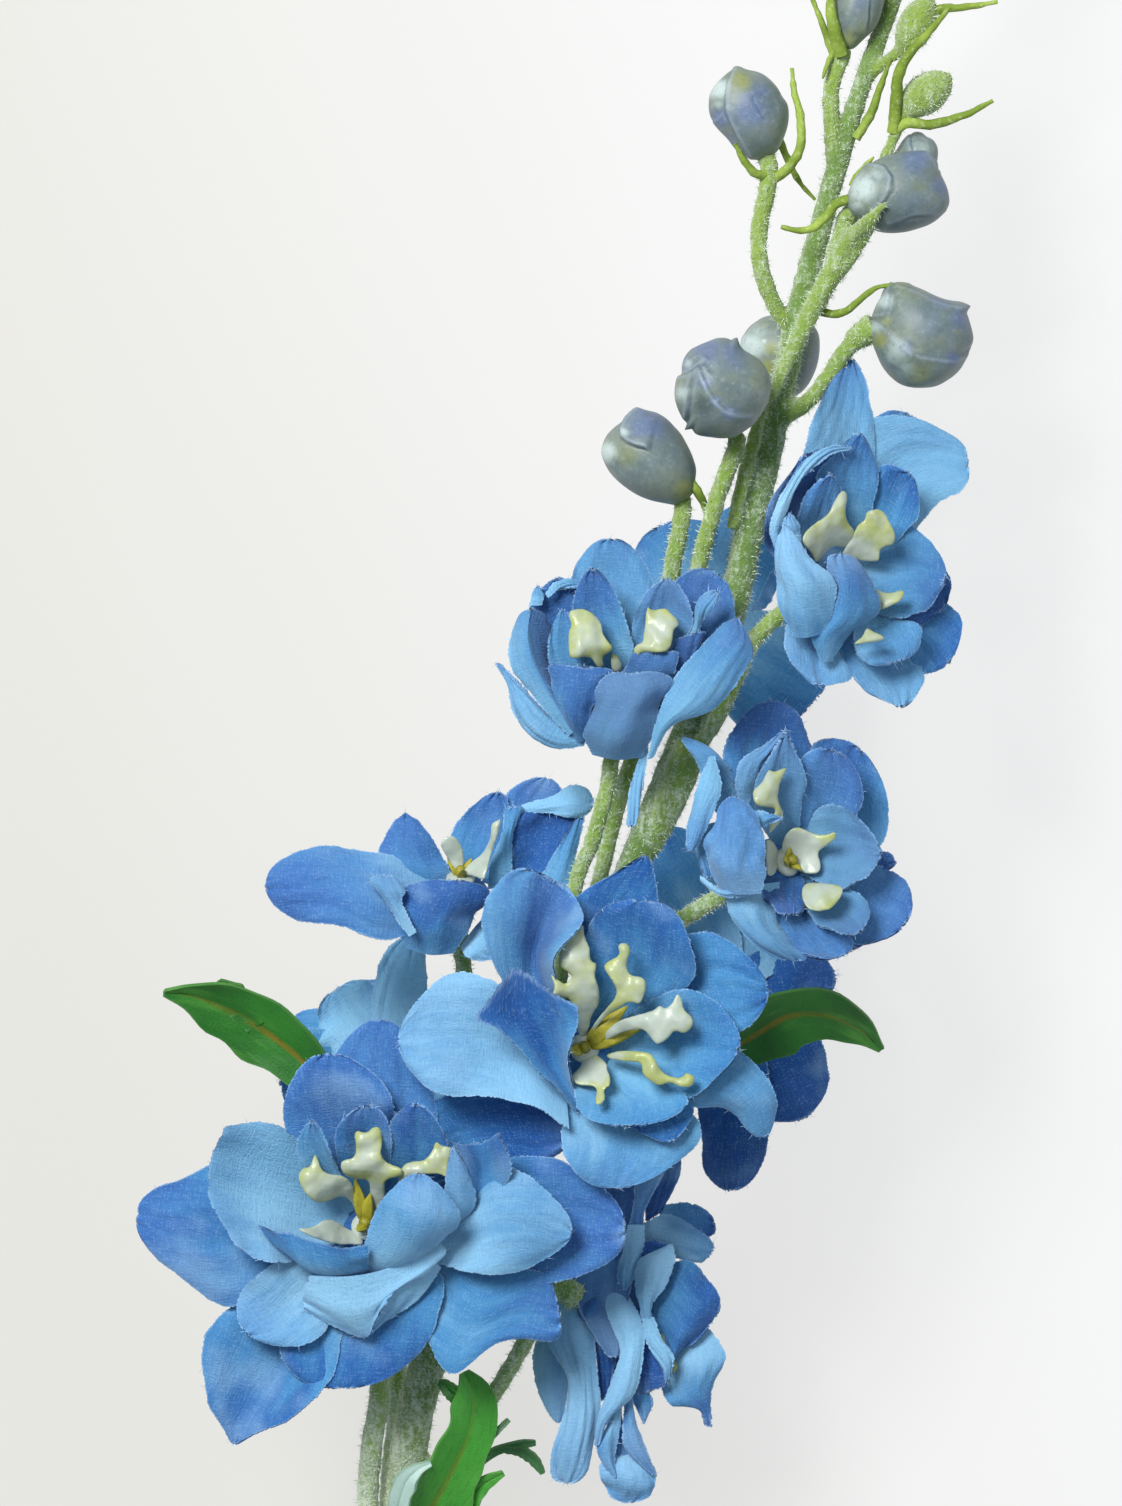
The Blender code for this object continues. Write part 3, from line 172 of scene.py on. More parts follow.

# Petals whose edges are read off the photograph: stations from root to tip, each with its left
# and right edge (x, y, z from the throat) and how far the middle stands out, or with three or
# four places across
# The paleness and depth given to each petal are partly its dyed colour and partly painted light: more pale is
# a painted highlight, more depth is painted shade where a petal lies under others or in a fold.
TRACED = {
    "middle_front": (
        (((2, 3, -5, 5.5, 2.5, -5, 0), (-1.5, 13, -3, 10, 12, -3, -0.6), (-2, 22, -1, 11.6, 20, -1,
         -0.6), (4, 28.2, 0, 14, 29.8, 0, 0)), {"close": 0.35, "point": 0.5, "tone": 0.3}),
        (((-1, 1, -5, -1.4, 1.6, -5.2, -1, 2.4, -5, 0.4, 3, -4.6), (-11, 8, 0, -9, 9, -1.6, -6.6, 9.2,
         -3.4, -4.4, 9.4, 5), (-14.6, 15.6, 2.6, -10.5, 15.6, 0.4, -6.9, 14.4, -2.6, -4.1, 13.6, 8.4),
         (-15.2, 21.4, 3.6, -10, 21.4, 2.4, -5.2, 19.4, -0.6, -1.6, 18.8, 8.6), (-12.2, 27.4, 3.4, -8.6,
         27.2, 3.6, -3.4, 24.4, 2, 1, 20.2, 6.4)), {"close": 0.12, "square": 3, "pale": 0.2,
         "violet": 0.2, "crumple": 0.5, "across": (0, 0.1, 0.9, 0)}),
        (((-2.4, -12.6, 1, -2.6, 0, -4, -0.6), (-8, -8.9, 1.6, -8, 6, -1, -1.2), (-16, -7.4, 1.6, -15,
         10.6, 0.6, -1.6), (-24, -7.8, 1.6, -22.6, 11.4, 1.2, -1.2), (-28.4, -6.4, 0.6, -28.4, 8.4, 0.6,
         0)), {"close": 0.42, "square": 2.1, "pale": 0.4, "tone": -0.15}),
        (((4, 3, -5, 5, 0, -5, 0), (11, 14, -2, 14, 1, -2, -0.5), (19, 17.6, 0.2, 22.8, 1.6, 0, -0.6),
         (27.4, 14.4, 1, 28.4, 2.8, 0.2, 0)), {"close": 0.35, "tone": 0.1, "veins": 0.6, "crumple": 0.9}),
        (((4, 0, -5, 2, -3, -5, 0), (15, -1, -3, 11, -9.5, -3, 0.4), (23.6, -0.6, -1.4, 17.8, -9.4, -0.8,
         1.2), (29, -6, -2, 22.4, -10.6, -2.6, 1.4), (31, -11.6, -4.6, 24.8, -15.6, -4.6, 0.6)),
         {"close": 0.3, "square": 2.4, "pale": 0.25}),
        (((3.5, -3, -5, -0.5, -3, -5, 0), (14, -8, -2.4, -3, -9, -2, -0.4), (18, -13, -1.4, -3.6, -15,
         -1, -0.6), (12.4, -21.2, -1.4, -2.4, -22, -1, 0)), {"close": 0.45, "square": 2.5, "pale": 0.15,
         "tone": -0.1}),
        (((4, -2, -4.5, 2, -3, -4.5, 0), (13, -5, -1, 5, -9, -1, 0), (17, -9.6, 0.6, 7, -12.4, 0.6, 0.2),
         (16.8, -12.8, 1, 10.4, -15.6, 1, 0)), {"close": 0.35, "tone": 0.15}),
        (((3, -1.5, -4, 0, -2, -4, 0), (9.6, -4, 0, -1.9, -5, 0, -1.8), (15.8, -8, 3.6, -1.2, -8.6, 3,
         -1.6), (13.6, -11.4, 4.4, -0.6, -11.8, 3.6, 0)), {"close": 0.28, "square": 2.6, "tone": -0.15}),
        (((3, 2.5, -4, 2.5, -1, -4, 0), (9, 6.5, 0, 9, -6, 0, -1.8), (16.4, 9.2, 3.6, 15.6, -7.8, 3.4,
         -1.8), (25, 5, 5, 21.2, -5.6, 5, -0.4)), {"close": 0.45, "square": 2.3, "tone": 0}),
        (((-0.5, 2, -4, 4, 1, -4, 0), (-0.8, 8, 0.6, 11, 5.5, 0, -1.4), (-0.2, 15, 3.6, 16.8, 11, 3,
         -1.2), (1.6, 20.2, 5, 16, 16.6, 4.4, -0.6), (4.4, 22.4, 5.8, 13.8, 22.2, 5.4, 0)),
         {"close": 0.14, "square": 3, "tone": 0.15}),
        (((-1.6, -9.8, 0, -1, -9.4, -0.8, -0.7, -9, -0.8, -0.3, -8.4, 0), (-5.8, -4.6, 3.6, -4.8, -3.8,
         1.4, -3.4, -3.6, 1.4, -2.5, -3.4, 4.4), (-11.2, 1.6, 6.6, -8, 2.4, 3.6, -4.6, 2.2, 3.8, -2, 1.6,
         7.8), (-14.2, 3.8, 7.6, -10.4, 6, 5.6, -5.4, 5.6, 5.6, -1.3, 4.8, 8.8), (-17, 4, 8.2, -10.8, 12,
         8.4, -6.2, 9.2, 7.2, -1, 6.4, 9.2)), {"close": 0, "crumple": 0.3, "tone": 0.1, "across": (0.1,
         0.5, 0.1, -0.2)}),
    ),
    "right_front": (
        (((-2, 2, -5, 2, 2, -5, 0), (-8.6, 10, -2, 4.4, 10, -2, -0.6), (-10.4, 17, -0.5, 3.6, 18, -0.5,
         -0.8), (-8.4, 24.4, 0, 2.6, 24.4, 0, 0)), {"close": 0.4, "tone": (0.2, 0.7)}),
        (((1, 3, -5, 4, 0, -5, 0), (2.6, 12, -2, 14, 2, -2, -0.8), (3.4, 17.6, -0.4, 15.2, 7.6, -0.6,
         -1), (7.6, 19.2, 0.6, 13.2, 15, 0.4, 0)), {"close": 0.2, "square": 3, "tone": 0.25,
         "across": (0.1, 0, -0.4)}),
        (((6, 0, -5, 5, -2, -5, 0), (15.4, 1, -2, 14, -2.4, -2, 0), (16.4, 0.4, -1.6, 16, -1.6, -1.6,
         0)), {"close": 0.2, "tone": 0.9}),
        (((2, -4, -5.6, -1, -4, -5.6, 0), (10, -10, -2.6, 2, -14, -2.6, 0), (13.8, -11.8, -2.2, 5, -16,
         -2.2, 0)), {"close": 0.1, "tone": 1.1}),
        (((4, -1, -5, 1, -4, -5, 0), (12.6, -0.6, -2, 6.4, -9.6, -2, -0.6), (17.4, -3, -0.4, 10.4, -12.8,
         -0.4, -1.2), (19.4, -7.4, 0.4, 15.4, -12.4, 0.4, 0)), {"close": 0.22, "square": 3,
         "violet": 0.5, "tone": (0.1, 0.3)}),
        (((1, -3, -5, -2, -3, -5, 0), (4, -8, -1, -2.6, -9, -1, -0.4), (8, -11.2, 0.6, 0, -13, 0.6,
         -0.8), (10.6, -13.4, 1, 4.4, -15.8, 1, 0)), {"close": 0.15, "violet": 0.7, "tone": 0.15}),
        (((-11, 6, -2, -15, 5, -2, 0), (-12, 0, -2, -14.6, 1, -2, 0), (-12, -3, -2, -14, -2.4, -2, 0)),
         {"close": 0.2, "pale": 0.3, "tone": 0.1}),
        (((-8, 4, -3, -6, 7, -3, 0), (-13, 9, -2, -9, 13, -1, 0), (-14.4, 14.4, 0, -10.4, 15, 0.4, 0.4),
         (-16.8, 17.8, 0, -13, 17.6, 0.6, 0.2), (-17.4, 18.8, 0, -16, 18.8, 0, 0)), {"close": 0.1,
         "pale": 0.45}),
        (((-12, 15.8, 2, -13, 15.8, 2, 0), (-11, 11, 3, -14.6, 12, 1.6, 0.6), (-11.8, 8.2, 3, -15.8, 8.6,
         1, 0.8), (-13, 5, 2.4, -16.6, 5, 0.4, 0.6), (-15, 1.4, 1, -16.6, 1.4, 0.6, 0)), {"close": 0.1,
         "pale": 0.7}),
        (((-2, -3.4, -1, -10.6, -4.6, 1, 1), (-2.8, -8, 0.6, -10, -8, 0.6, 1.4), (-0.4, -12, 0, -7.2,
         -12, 0, 1.2), (2.8, -15.4, -1, -2.6, -15.4, -1, 0.2)), {"close": 0.12, "pale": (0.2, 0.6)}),
        (((-3, 2, -3.5, 1, 2, -3.5, 0), (-6, 8, 2, 1.4, 8, 2, -1), (-5.4, 13, 5, 2.4, 13, 5, -1), (-3,
         19.6, 7, 1, 19.6, 7, 0)), {"close": 0.4, "point": 0.7, "tone": 0.2, "grey": 0.6, "violet": 0.2}),
        (((0, 3, -3.5, 3, 1, -3.5, 0), (1.2, 9, 1, 9, 5.6, 1, -0.8), (1, 14, 3.6, 11, 9.6, 3.6, -1.2),
         (2.8, 17.6, 5, 9.8, 15.6, 5, 0)), {"close": 0.25, "square": 3, "violet": 0.6, "tone": 0.35}),
        (((-8.8, 9, 2, -6.8, 8.6, 2, 0), (-9, 12.5, 4, -5.6, 11.6, 3, 0.5), (-8.4, 14.8, 5, -4.6, 13.8,
         4, 0.6), (-4.4, 17.8, 5, -2.8, 16.2, 5, 0.3), (-1.4, 20, 4, -0.6, 19.2, 4, 0)), {"close": 0.1,
         "pale": 0.45, "violet": 0.8}),
        (((3, -2, -3.5, 0.5, -3, -3.5, 0), (8, -4, 0.6, 2, -7.4, 0.6, -1), (11.6, -6.6, 3.4, 5.4, -10.4,
         3.4, -1), (12, -9.6, 4.6, 8.6, -11.8, 4.6, 0)), {"close": 0.2, "tone": 0.3, "grey": 0.6}),
        (((1, 3, -3.5, 1, -2, -3.5, 0), (4.4, 8.2, 1, 5, -4, 1, -1.8), (10, 6.2, 4, 10.4, -3.2, 4, -1.8),
         (13.4, 3, 5.6, 13.2, -1, 5.6, 0)), {"close": 0.3, "tone": 0.25, "grey": 0.8}),
        (((1, -1.4, -4, -4.6, -2, -3, -0.5), (2, -4.4, 0, -5, -4.6, 1, -0.6), (1.6, -8, 3, -2.6, -8.2,
         3.4, 0)), {"close": 0.1, "tone": 1}),
        (((-11.4, -4.4, 1, -5, -5, 5, 1.2), (-13.6, 0.4, 1.6, -4.3, -1, 7.4, 2.6), (-13.3, 3.6, 2, -4.4,
         2.4, 8.2, 2.8), (-12, 6.8, 2.6, -5.4, 6.2, 8.2, 2), (-10.6, 10.4, 3.6, -6.6, 9.2, 7.4, 0.6)),
         {"close": 0.14, "pale": 0.1, "veins": 0.6, "violet": 0.7}),
        (((-6, 7.6, 5, -5.6, 4.6, 5, 0.4), (-3.6, 7.4, 7, -3.4, 5.4, 7, 0.6), (-1.8, 6.8, 8, -1.8, 6, 8,
         0)), {"close": 0.3, "pale": 0.2}),
        (((-14.4, -2.2, 2, -14.2, -3.2, 1.6, 0.2), (-11, -4.2, 3.4, -11.2, -5.6, 2.8, 0.2), (-6, -4.2, 4,
         -6, -5.4, 3.4, 0)), {"close": 0.1, "pale": 0.8, "crumple": 0.2}),
    ),
    "high_right": (
        (((4, 18, -4, 8, 16, -4, 0), (4.6, 24, -3, 12, 20, -3, 0), (7, 26.4, -3, 13.4, 24, -3, 0)),
         {"close": 0.3, "pale": 0.3, "tone": 0.3}),
        (((-3, 3, -5, 2, 3, -5, 0), (-6.4, 16, -2, 4.5, 16, -2, -0.5), (-5.4, 24, 0, 4.5, 25, 0, -1.2),
         (-3.6, 27.6, -1.2, 3.6, 29, -1.2, -0.8), (-1.2, 33.8, -4, 3.2, 33.4, -4, 0)), {"close": 0.2,
         "point": 0.4, "pale": (1.3, 0), "tone": (-0.6, 0.5), "grey": 0.3}),
        (((0, 3, -5, 4, 1, -5, 0), (-1, 14, -3, 10, 6, -3, -0.6), (2, 23.4, -1, 15, 11.6, -1.4, -1.2),
         (10, 24.6, 0, 18, 13, -0.6, -1), (19, 21, 0.4, 19.4, 15, 0.2, 0)), {"close": 0.06, "square": 3,
         "pale": 0.7, "tone": -0.1}),
        (((4, -2, -5.5, 1, -4, -5.5, 0), (15.6, -4, -2.6, 8, -12, -2.6, -0.6), (18, -7.6, -2, 11.6, -15,
         -2, -0.8), (17.6, -11.6, -1.6, 14.4, -14.8, -1.6, 0)), {"close": 0.1, "tone": 0.35}),
        (((4, -1, -5, 3, -4, -5, 0), (15.6, 0.6, -1.6, 8, -8.4, -1.6, -0.6), (17, -2.4, -0.8, 13, -7.6,
         -0.8, 0)), {"close": 0.2, "tone": 0.9, "violet": 0.4}),
        (((4, -3, -5, -1, -4, -5, 0), (10.4, -11.6, -2, -0.6, -14, -2, -0.6), (12, -15.6, -1, 2.6, -18,
         -1, -1), (10.8, -20.4, -0.4, 5.6, -20, -0.4, 0)), {"close": 0.2, "tone": (0.9, -0.2),
         "pale": (-0.2, 0.7)}),
        (((0, -4, -5, -4, -2, -5, 0), (-1, -12, -2, -9.4, -8, -2, -0.6), (0.6, -16, -1, -9, -12.6, -1,
         -0.8), (-2, -17.8, -0.6, -7.4, -16.2, -0.6, 0)), {"close": 0.2, "tone": 0.2, "pale": (0, 0.6)}),
        (((-4, -1, -4, 0, 3, -4, 0), (-11, 3, 1, -2, 11, -1, -1.8), (-12.4, 7, 4, -1, 17, 2, -1.8), (-11,
         12, 5, -3, 19.4, 4, -0.8), (-8, 16.6, 5.5, -5, 19.2, 5, 0)), {"close": 0.2, "tone": 0.9}),
        (((-2, 3, -3.5, 2, 3, -3.5, 0), (-4, 11, 1, 4, 11, 1, -0.8), (-4.4, 16.4, 4, 5, 16, 4, -1.2),
         (-0.6, 21.4, 6, 4.8, 21.2, 6, 0)), {"close": 0.3, "point": 0.4, "tone": 0.35, "pale": 0.15}),
        (((1, 3, -3.5, 3, 1, -3.5, 0), (4, 12, 1.4, 9, 6.4, 1.4, -0.8), (5.4, 17, 4, 11.4, 10, 4, -1),
         (7.4, 17.4, 5, 12, 13, 5, 0)), {"close": 0.3, "tone": 0.2}),
        (((-4, 1, -3.5, 0, 2, -3.5, 0), (-8, 7, 2, -1, 9, 2, -0.8), (-6.6, 11.6, 5, -0.6, 13, 5, -0.6),
         (-4.4, 14.8, 6.4, -1, 15, 6.4, 0)), {"close": 0.3, "tone": 0.05, "violet": 0.6}),
        (((2, -2, -3.5, -1, -3, -3.5, 0), (8, -6.8, 0.4, 1, -9.6, 0.4, -0.6), (11.4, -8.6, 2.4, 2, -13.6,
         2, -0.6), (11, -12.4, 3, 4, -14.4, 2.6, 0)), {"close": 0.1, "pale": 0.25}),
        (((2, 2, -4, 2, -2, -4, 0), (6.6, 7.8, 0, 5, -6.6, 0, -1.4), (12, 6, 2, 11, -6, 2, -1.6), (16.4,
         1.6, 3, 13.4, -3.6, 3, 0)), {"close": 0.25, "tone": 0.15, "grey": 0.3}),
        (((-11.6, 3.6, 3.4, -10.6, 4.4, 3.4, 0.2), (-12.4, 6.4, 5, -10.4, 7.4, 5, 0.4), (-11.6, 9.6, 6,
         -9.2, 10.2, 6, 0.5), (-9.6, 13.4, 6.6, -7.8, 12.8, 6.4, 0.5), (-7, 17.2, 7, -6, 15.2, 6.6, 0.5),
         (-3, 19.6, 7, -2.6, 18, 7, 0.3), (0.6, 19.6, 6.4, 0.4, 18.8, 6.4, 0)), {"close": 0.04,
         "pale": 0.95, "crumple": 0.2}),
        (((-4.4, -13.4, 0, -2.6, -13.4, 0, 0.4), (-6, -9.6, 2, 0, -9.4, 2, 1.2), (-4, -5, 4.6, 4.4, -6,
         4.6, 1.8), (-3.4, -1, 6.6, 3.9, -2, 6.4, 1.4), (-4, 2.8, 7.6, 1.6, 3, 7.6, 0.2)),
         {"close": 0.16, "square": 3, "tone": (0.6, 0.2), "grey": 0.2}),
        (((-8.6, -9.8, 1, -4.4, -9.4, 3, 0.8), (-11, -5, 2, -2.6, -6, 5.4, 2.2), (-11.8, -1, 3, -2.2,
         -1.8, 7.6, 2.6), (-11.4, 3.4, 4, -6.2, 2.6, 8, 1.6), (-10.8, 7.4, 5, -9, 7, 7, 0.3)),
         {"close": 0.16, "tone": (0.4, -0.2), "pale": (0, 0.9)}),
        (((-9.4, 4, 4, -7.4, 4, 4, 0.3), (-10.4, 7, 5.6, -7.4, 7, 5.6, 0.4), (-9.8, 9, 6, -8, 9, 6, 0)),
         {"close": 0.3, "pale": 0.3}),
    ),
    "high_front": (
        (((-3, 3, -5, 3, 3, -5, 0), (-7.5, 14, -3, 6, 14, -3, -0.8), (-7, 19, -1.4, 5.2, 19.6, -1.4,
         -1.2), (-5.8, 24.9, 0, 4, 24.9, 0, 0)), {"close": 0.36, "square": 2.4, "pale": (0.5, 0.2),
         "tone": (-0.3, 0)}),
        (((4, 2, -5, 7, 0, -5, 0), (8, 13, -2, 16.6, 7, -2, -0.8), (9.6, 19, 0, 18, 12, -1, -1.2), (13.6,
         21, 1, 17.6, 17.6, 0.6, 0)), {"close": 0.12, "square": 3, "tone": 0.6, "across": (0.2, 0.1,
         -0.5)}),
        (((4.9, -7, -4, 3.6, -8, -4, 0), (4.6, -10, -5, 2.8, -10.4, -5, 0), (4, -14, -6, 1.8, -13.6, -6,
         0.3), (3, -19, -6, 1.4, -19, -6, 0)), {"close": 0.05, "pale": 0.9}),
        (((-5, -7, -4, -4.6, -4.4, -3, 0.3), (-9.4, -7.3, -4, -8.2, -3.8, -2, 0.8), (-13.4, -5.3, -3,
         -10.6, -1.8, -1, 1.2), (-16, -1.6, -2, -12.6, 0.6, 0, 1), (-17, 2.4, -1, -15.2, 3.2, 0, 0.5),
         (-18.8, 5.8, 0, -17.8, 6, 0, 0)), {"close": 0.05, "pale": (0.3, 1.1), "veins": 0.5}),
        (((-4, 3, -4, 0, 4, -4, 0), (-12, 11, -1, -4, 13, -1, -0.8), (-13.2, 15.2, 1, -5.4, 17, 1, -0.8),
         (-11.4, 18.2, 2, -6.6, 19.2, 2, 0)), {"close": 0.25, "tone": 0.8}),
        (((-10.9, 16.4, 2.4, -10.4, 15.6, 2.4, 0), (-9.4, 18.4, 3, -8.8, 16.9, 3, 0.2), (-7.4, 19, 3, -7,
         17.2, 3, 0.2), (-5.2, 18.4, 3, -5.2, 17.2, 3, 0)), {"close": 0.04, "pale": 0.5, "crumple": 0.2}),
        (((-13.4, 14.6, 2.4, -11.4, 14.6, 2.4, 0.2), (-13, 16.6, 3, -11, 16.4, 3, 0.3), (-12.4, 17.8, 3,
         -11.6, 17.6, 3, 0)), {"close": 0.2, "pale": 0.2}),
        (((-3, 2, -3.5, 2, 4, -3.5, 0), (-6.4, 8, 1, 2.6, 8.4, 1, -1), (-6.6, 14, 4, 0.6, 14, 4, -1.4),
         (-5.8, 20.3, 6, -1.6, 19.9, 6, 0)), {"close": 0.3, "tone": (-0.2, 0.7), "across": (0.4, 0.1,
         -0.3)}),
        (((2, 3, -3.5, 6, 2, -3.5, 0), (2.2, 10, 1, 10, 8, 1, -1), (3.4, 14.6, 4, 11.8, 13.6, 4, -1.4),
         (5.4, 18.7, 6, 10, 18.2, 6, 0)), {"close": 0.35, "tone": 0.2, "violet": 0.3, "grey": 0.4}),
        (((10, 7, 0, 12, 8.4, 0, 0), (11.2, 12, 2.4, 13.3, 11.6, 2.4, 0.4), (11.8, 15, 4.4, 14.2, 13.4,
         4.4, 0.5), (14.4, 17.6, 5.6, 16.2, 15.8, 5.6, 0)), {"close": 0.2, "pale": 0.5}),
        (((-6, 1, -3, -3, 1, -3, 0), (-10.4, 6, 2, -5, 6, 2, -0.6), (-10.2, 10, 4, -6, 10, 4, -0.6),
         (-9.2, 14, 5, -7, 14, 5, 0)), {"close": 0.35, "tone": 0.15}),
        (((5, -2, -1, 8, -2, -1, 0), (7, 5, 2, 12, 7, 2, 0), (9, 9.4, 4, 14, 10.8, 4, 0)),
         {"close": 0.05, "tone": 1.2}),
        (((-1, 2, -2, 8, 1, -2, 0.5), (1, 4.6, 3, 9, 4.4, 3, 0.6), (2.2, 7.4, 5, 9.6, 7.6, 5, 0)),
         {"close": 0.06, "tone": 0.6, "grey": 0.2}),
        (((-7.4, -5.4, -2, -6.6, -4.8, -1, -6.2, -4.4, -1.6, -5.6, -4, -2), (-12.2, -0.2, 1, -10.4, 0.6,
         2.4, -9.4, 0.4, 1.6, -7.8, 0, -1), (-16.1, 5, 2.4, -13.2, 6, 5, -12.2, 6, 4.2, -9.6, 6, 0),
         (-16.6, 9.6, 3, -13.9, 10, 6.2, -12.9, 10, 5, -10, 10, 1), (-15.2, 14, 3.4, -13.4, 14, 5.6,
         -12.6, 14, 5, -10.2, 14, 2)), {"close": 0.1, "square": 3, "pale": 0.25, "across": (-0.2, 0, 0.7,
         1.2), "crumple": 0.4}),
        (((-6.2, -6.2, -3, -4.2, -5.8, -2.6, 0.3), (-9, -1.4, 1, -3.6, -1.4, 2.4, 1.6), (-10.5, 3, 3.6,
         -1.4, 2.6, 4.8, 1.8), (-10.7, 6, 5, -0.2, 5, 6, 0.6)), {"close": 0.06, "tone": 0.6,
         "across": (-0.5, 0.1, 0.2)}),
        (((-3.8, -8.2, -4, 3.8, -8.6, -4, 0.8), (-5.3, -4.6, -0.6, 5.7, -5, -0.6, 2.4), (-4.1, -0.6, 2.6,
         6.9, -0.6, 2.6, 2.8), (-2.9, 2.6, 5.4, 8.3, 3.4, 5.4, 2.2), (-1.4, 4.9, 6.8, 5.8, 4.9, 6.8, 1)),
         {"close": 0.1, "tone": 0.55, "violet": 0.5, "veins": 0.5, "grey": 0.7}),
        (((4.6, -9, -2, 5.6, -8.6, -2, 0), (6, -3, 2, 8.4, -3.9, 2, 0.8), (8.3, 3.2, 5, 14.6, -1.6, 4,
         1.8), (12.4, 8.4, 7, 18.6, 3.2, 6, 2), (16, 11.9, 7, 20.9, 8, 6, 1), (17.2, 13.6, 6.4, 19.8,
         11.6, 6, 0)), {"close": 0.1, "point": 0.6, "tone": (-0.2, 0.25), "pale": 0.1}),
    ),
    "left_side": (
        (((-2, -2, -6, 3, -2, -6, 0), (-2, 4, -5, 6, 3, -5, -0.5), (0, 8, -4.6, 7.6, 8, -4.6, -0.8),
         (3.2, 12, -4, 8, 11.8, -4, 0)), {"close": 0.3, "violet": 0.3, "tone": 0.3}),
        (((3, -2, -6, 7, -3, -6, 0), (6, 7, -5, 12, 4, -5, -0.6), (7.4, 12, -4.6, 16, 10, -4.6, -1),
         (9.6, 14.8, -4, 17, 13.4, -4, 0)), {"close": 0.25, "violet": 0.5, "tone": 0.3}),
        (((-8, -4, -3, -1, -2, -3, 0.5), (-12.9, 2.4, 0, -2.4, 1.6, 0, 1), (-11.7, 5.6, 1.4, -4.6, 5.4,
         1.4, 0.8), (-9.6, 8.9, 2.4, -7.4, 8.7, 2.4, 0)), {"close": 0.08, "point": 0.6, "tone": 0.45,
         "violet": 0.4}),
        (((9, -6, -4, 14, -6, -4, 0), (12.2, -1, -1, 17, -3, -1, 0.6), (15.2, 4, 1, 18.2, 3, 0, 0.6),
         (18, 8.4, 2, 19.4, 8.4, 1.6, 0)), {"close": 0.05, "pale": 0.15}),
        (((6, -3, -4, 10, -3, -4, 0), (7.8, 2, -1, 14.4, 1, -1, -1.2), (7.9, 6, 1, 17, 6, 1, -1.4), (9.4,
         9.2, 2, 18.6, 8.8, 2, 0)), {"close": 0.06, "tone": 1.05}),
        (((4, -3, -3, 8, -3, -3, 0), (4.8, 2, 0, 8, 2, 0, 0.4), (6.2, 6, 2, 8.4, 6, 2, 0.5), (6.6, 9.6,
         3, 10, 10, 3, 0)), {"close": 0.05, "pale": 0.15}),
        (((9.4, 10, 1, 9.6, 8.8, 1, 0.2), (13, 11.2, 2.4, 13.4, 8.6, 2.4, 0.7), (17, 13.3, 3, 17, 8, 3,
         1), (20.8, 12.6, 2, 20.6, 8.2, 2, 0)), {"close": 0.2, "pale": 1}),
        (((-5, -9, -2, -4, 0, -2, 0.6), (-12, -10.8, 1, -12, 2.6, 1, 1.4), (-19, -8.5, 2.4, -19.6, 3.9,
         2.4, 1.8), (-25, -7.8, 2.4, -25, 2.9, 2.4, 1.6), (-30, -6, 1.4, -30.2, 1.2, 1.4, 0)),
         {"close": 0.22, "square": 2.6, "violet": 0.5, "tone": (-0.1, 0.3), "across": (0.4, 0.3, -0.1),
         "crumple": 1}),
        (((-8.2, -12, -2, -1, -12.8, -2, 1), (-10.4, -6.6, 2, 2.6, -7.4, 2, 2.4), (-9, -2.8, 5, 4.8,
         -3.4, 4.6, 2), (-5.6, -0.7, 6.4, 2.6, -1.2, 6.2, 0.6)), {"close": 0.15, "tone": (0.5, 0.9)}),
        (((-7.8, -10.2, 4, -6.6, -9.4, 4.4, 0), (-11, -6, 5, -8.8, -4.6, 6, 0.4), (-13.9, -1.2, 5.8,
         -8.6, -2.4, 6.6, 0.5), (-12.6, -0.4, 5.8, -10, -0.6, 6.4, 0)), {"close": 0.04, "pale": 0.35,
         "grey": 0.5, "tone": 0.1}),
        (((5, -6, -4, 0, -12, -4, 0.4), (6, -10, -2, 1.2, -13.6, -2, 0.8), (6.8, -12.4, -2, 4, -14.4, -2,
         0)), {"close": 0.2, "pale": 0.9}),
    ),
    "low_side": (
        (((-3, 27, -4, 6, 27, -4, 0), (-1, 20, -3.4, 5, 20, -3.4, 0), (1, 14, -3, 4, 14, -3, 0)),
         {"close": 0.2, "tone": 1.3, "grey": 0.4}),
        (((-1, 14, -2.4, 9, 14, -2.4, 0), (-1, 6, -1.4, 10, 6, -1.4, 0), (-2, -2, -1.4, 10, -2, -1.4, 0),
         (0, -11, -1.4, 7, -11, -1.4, 0)), {"close": 0.2, "tone": 1.1, "grey": 0.4}),
        (((11.6, 28.6, -2, 6, 24, -2, 0), (10.8, 22.6, -1.4, 5.6, 18, -1.4, 0), (8.2, 17.4, -1, 5.6,
         15.8, -1, 0)), {"close": 0.05, "tone": 1.2}),
        (((1, 16, -3, -6, 12, -3, 0), (2, 9, -2, -6, 7, -2, 0), (0, 5, -2, -4, 5, -2, 0)),
         {"close": 0.05, "tone": 1.1, "grey": 0.6}),
        (((8, 18.4, -2, 8, 14, -2, 0.3), (12, 18.9, -1, 12, 14, -1, 0.6), (16.4, 17.6, -1, 16.8, 12.6,
         -1, 0)), {"close": 0.3, "tone": 0.2}),
        (((5.4, 15.8, 0, 5.6, 12.6, 0, 0.3), (9, 17.3, 1, 10, 10.4, 1, 0.9), (13, 15.5, 1.4, 14.4, 9.4,
         1.4, 1), (17, 12.6, 1, 15.6, 10, 1, 0)), {"close": 0.12, "pale": 0.25, "grey": 0.3}),
        (((15.6, -0.6, -1, 9.6, -5.6, -1, 0.5), (18.2, -5, 0, 8, -10, 0, 1.2), (16.4, -9.8, 0, 10, -12.9,
         0, 1), (16, -13.6, -0.6, 13.8, -13.8, -0.6, 0.2), (16.1, -16.4, -1, 15, -16.2, -1, 0)),
         {"close": 0.05, "tone": (-0.1, 0.6), "pale": (0.3, -0.1), "grey": 0.2}),
        (((8.4, 9, 1, 6.6, 1, 1, 0.3), (12, 10.2, 2, 8.4, -1.8, 2, 1), (15.3, 7.6, 2, 10, -5.2, 1.6,
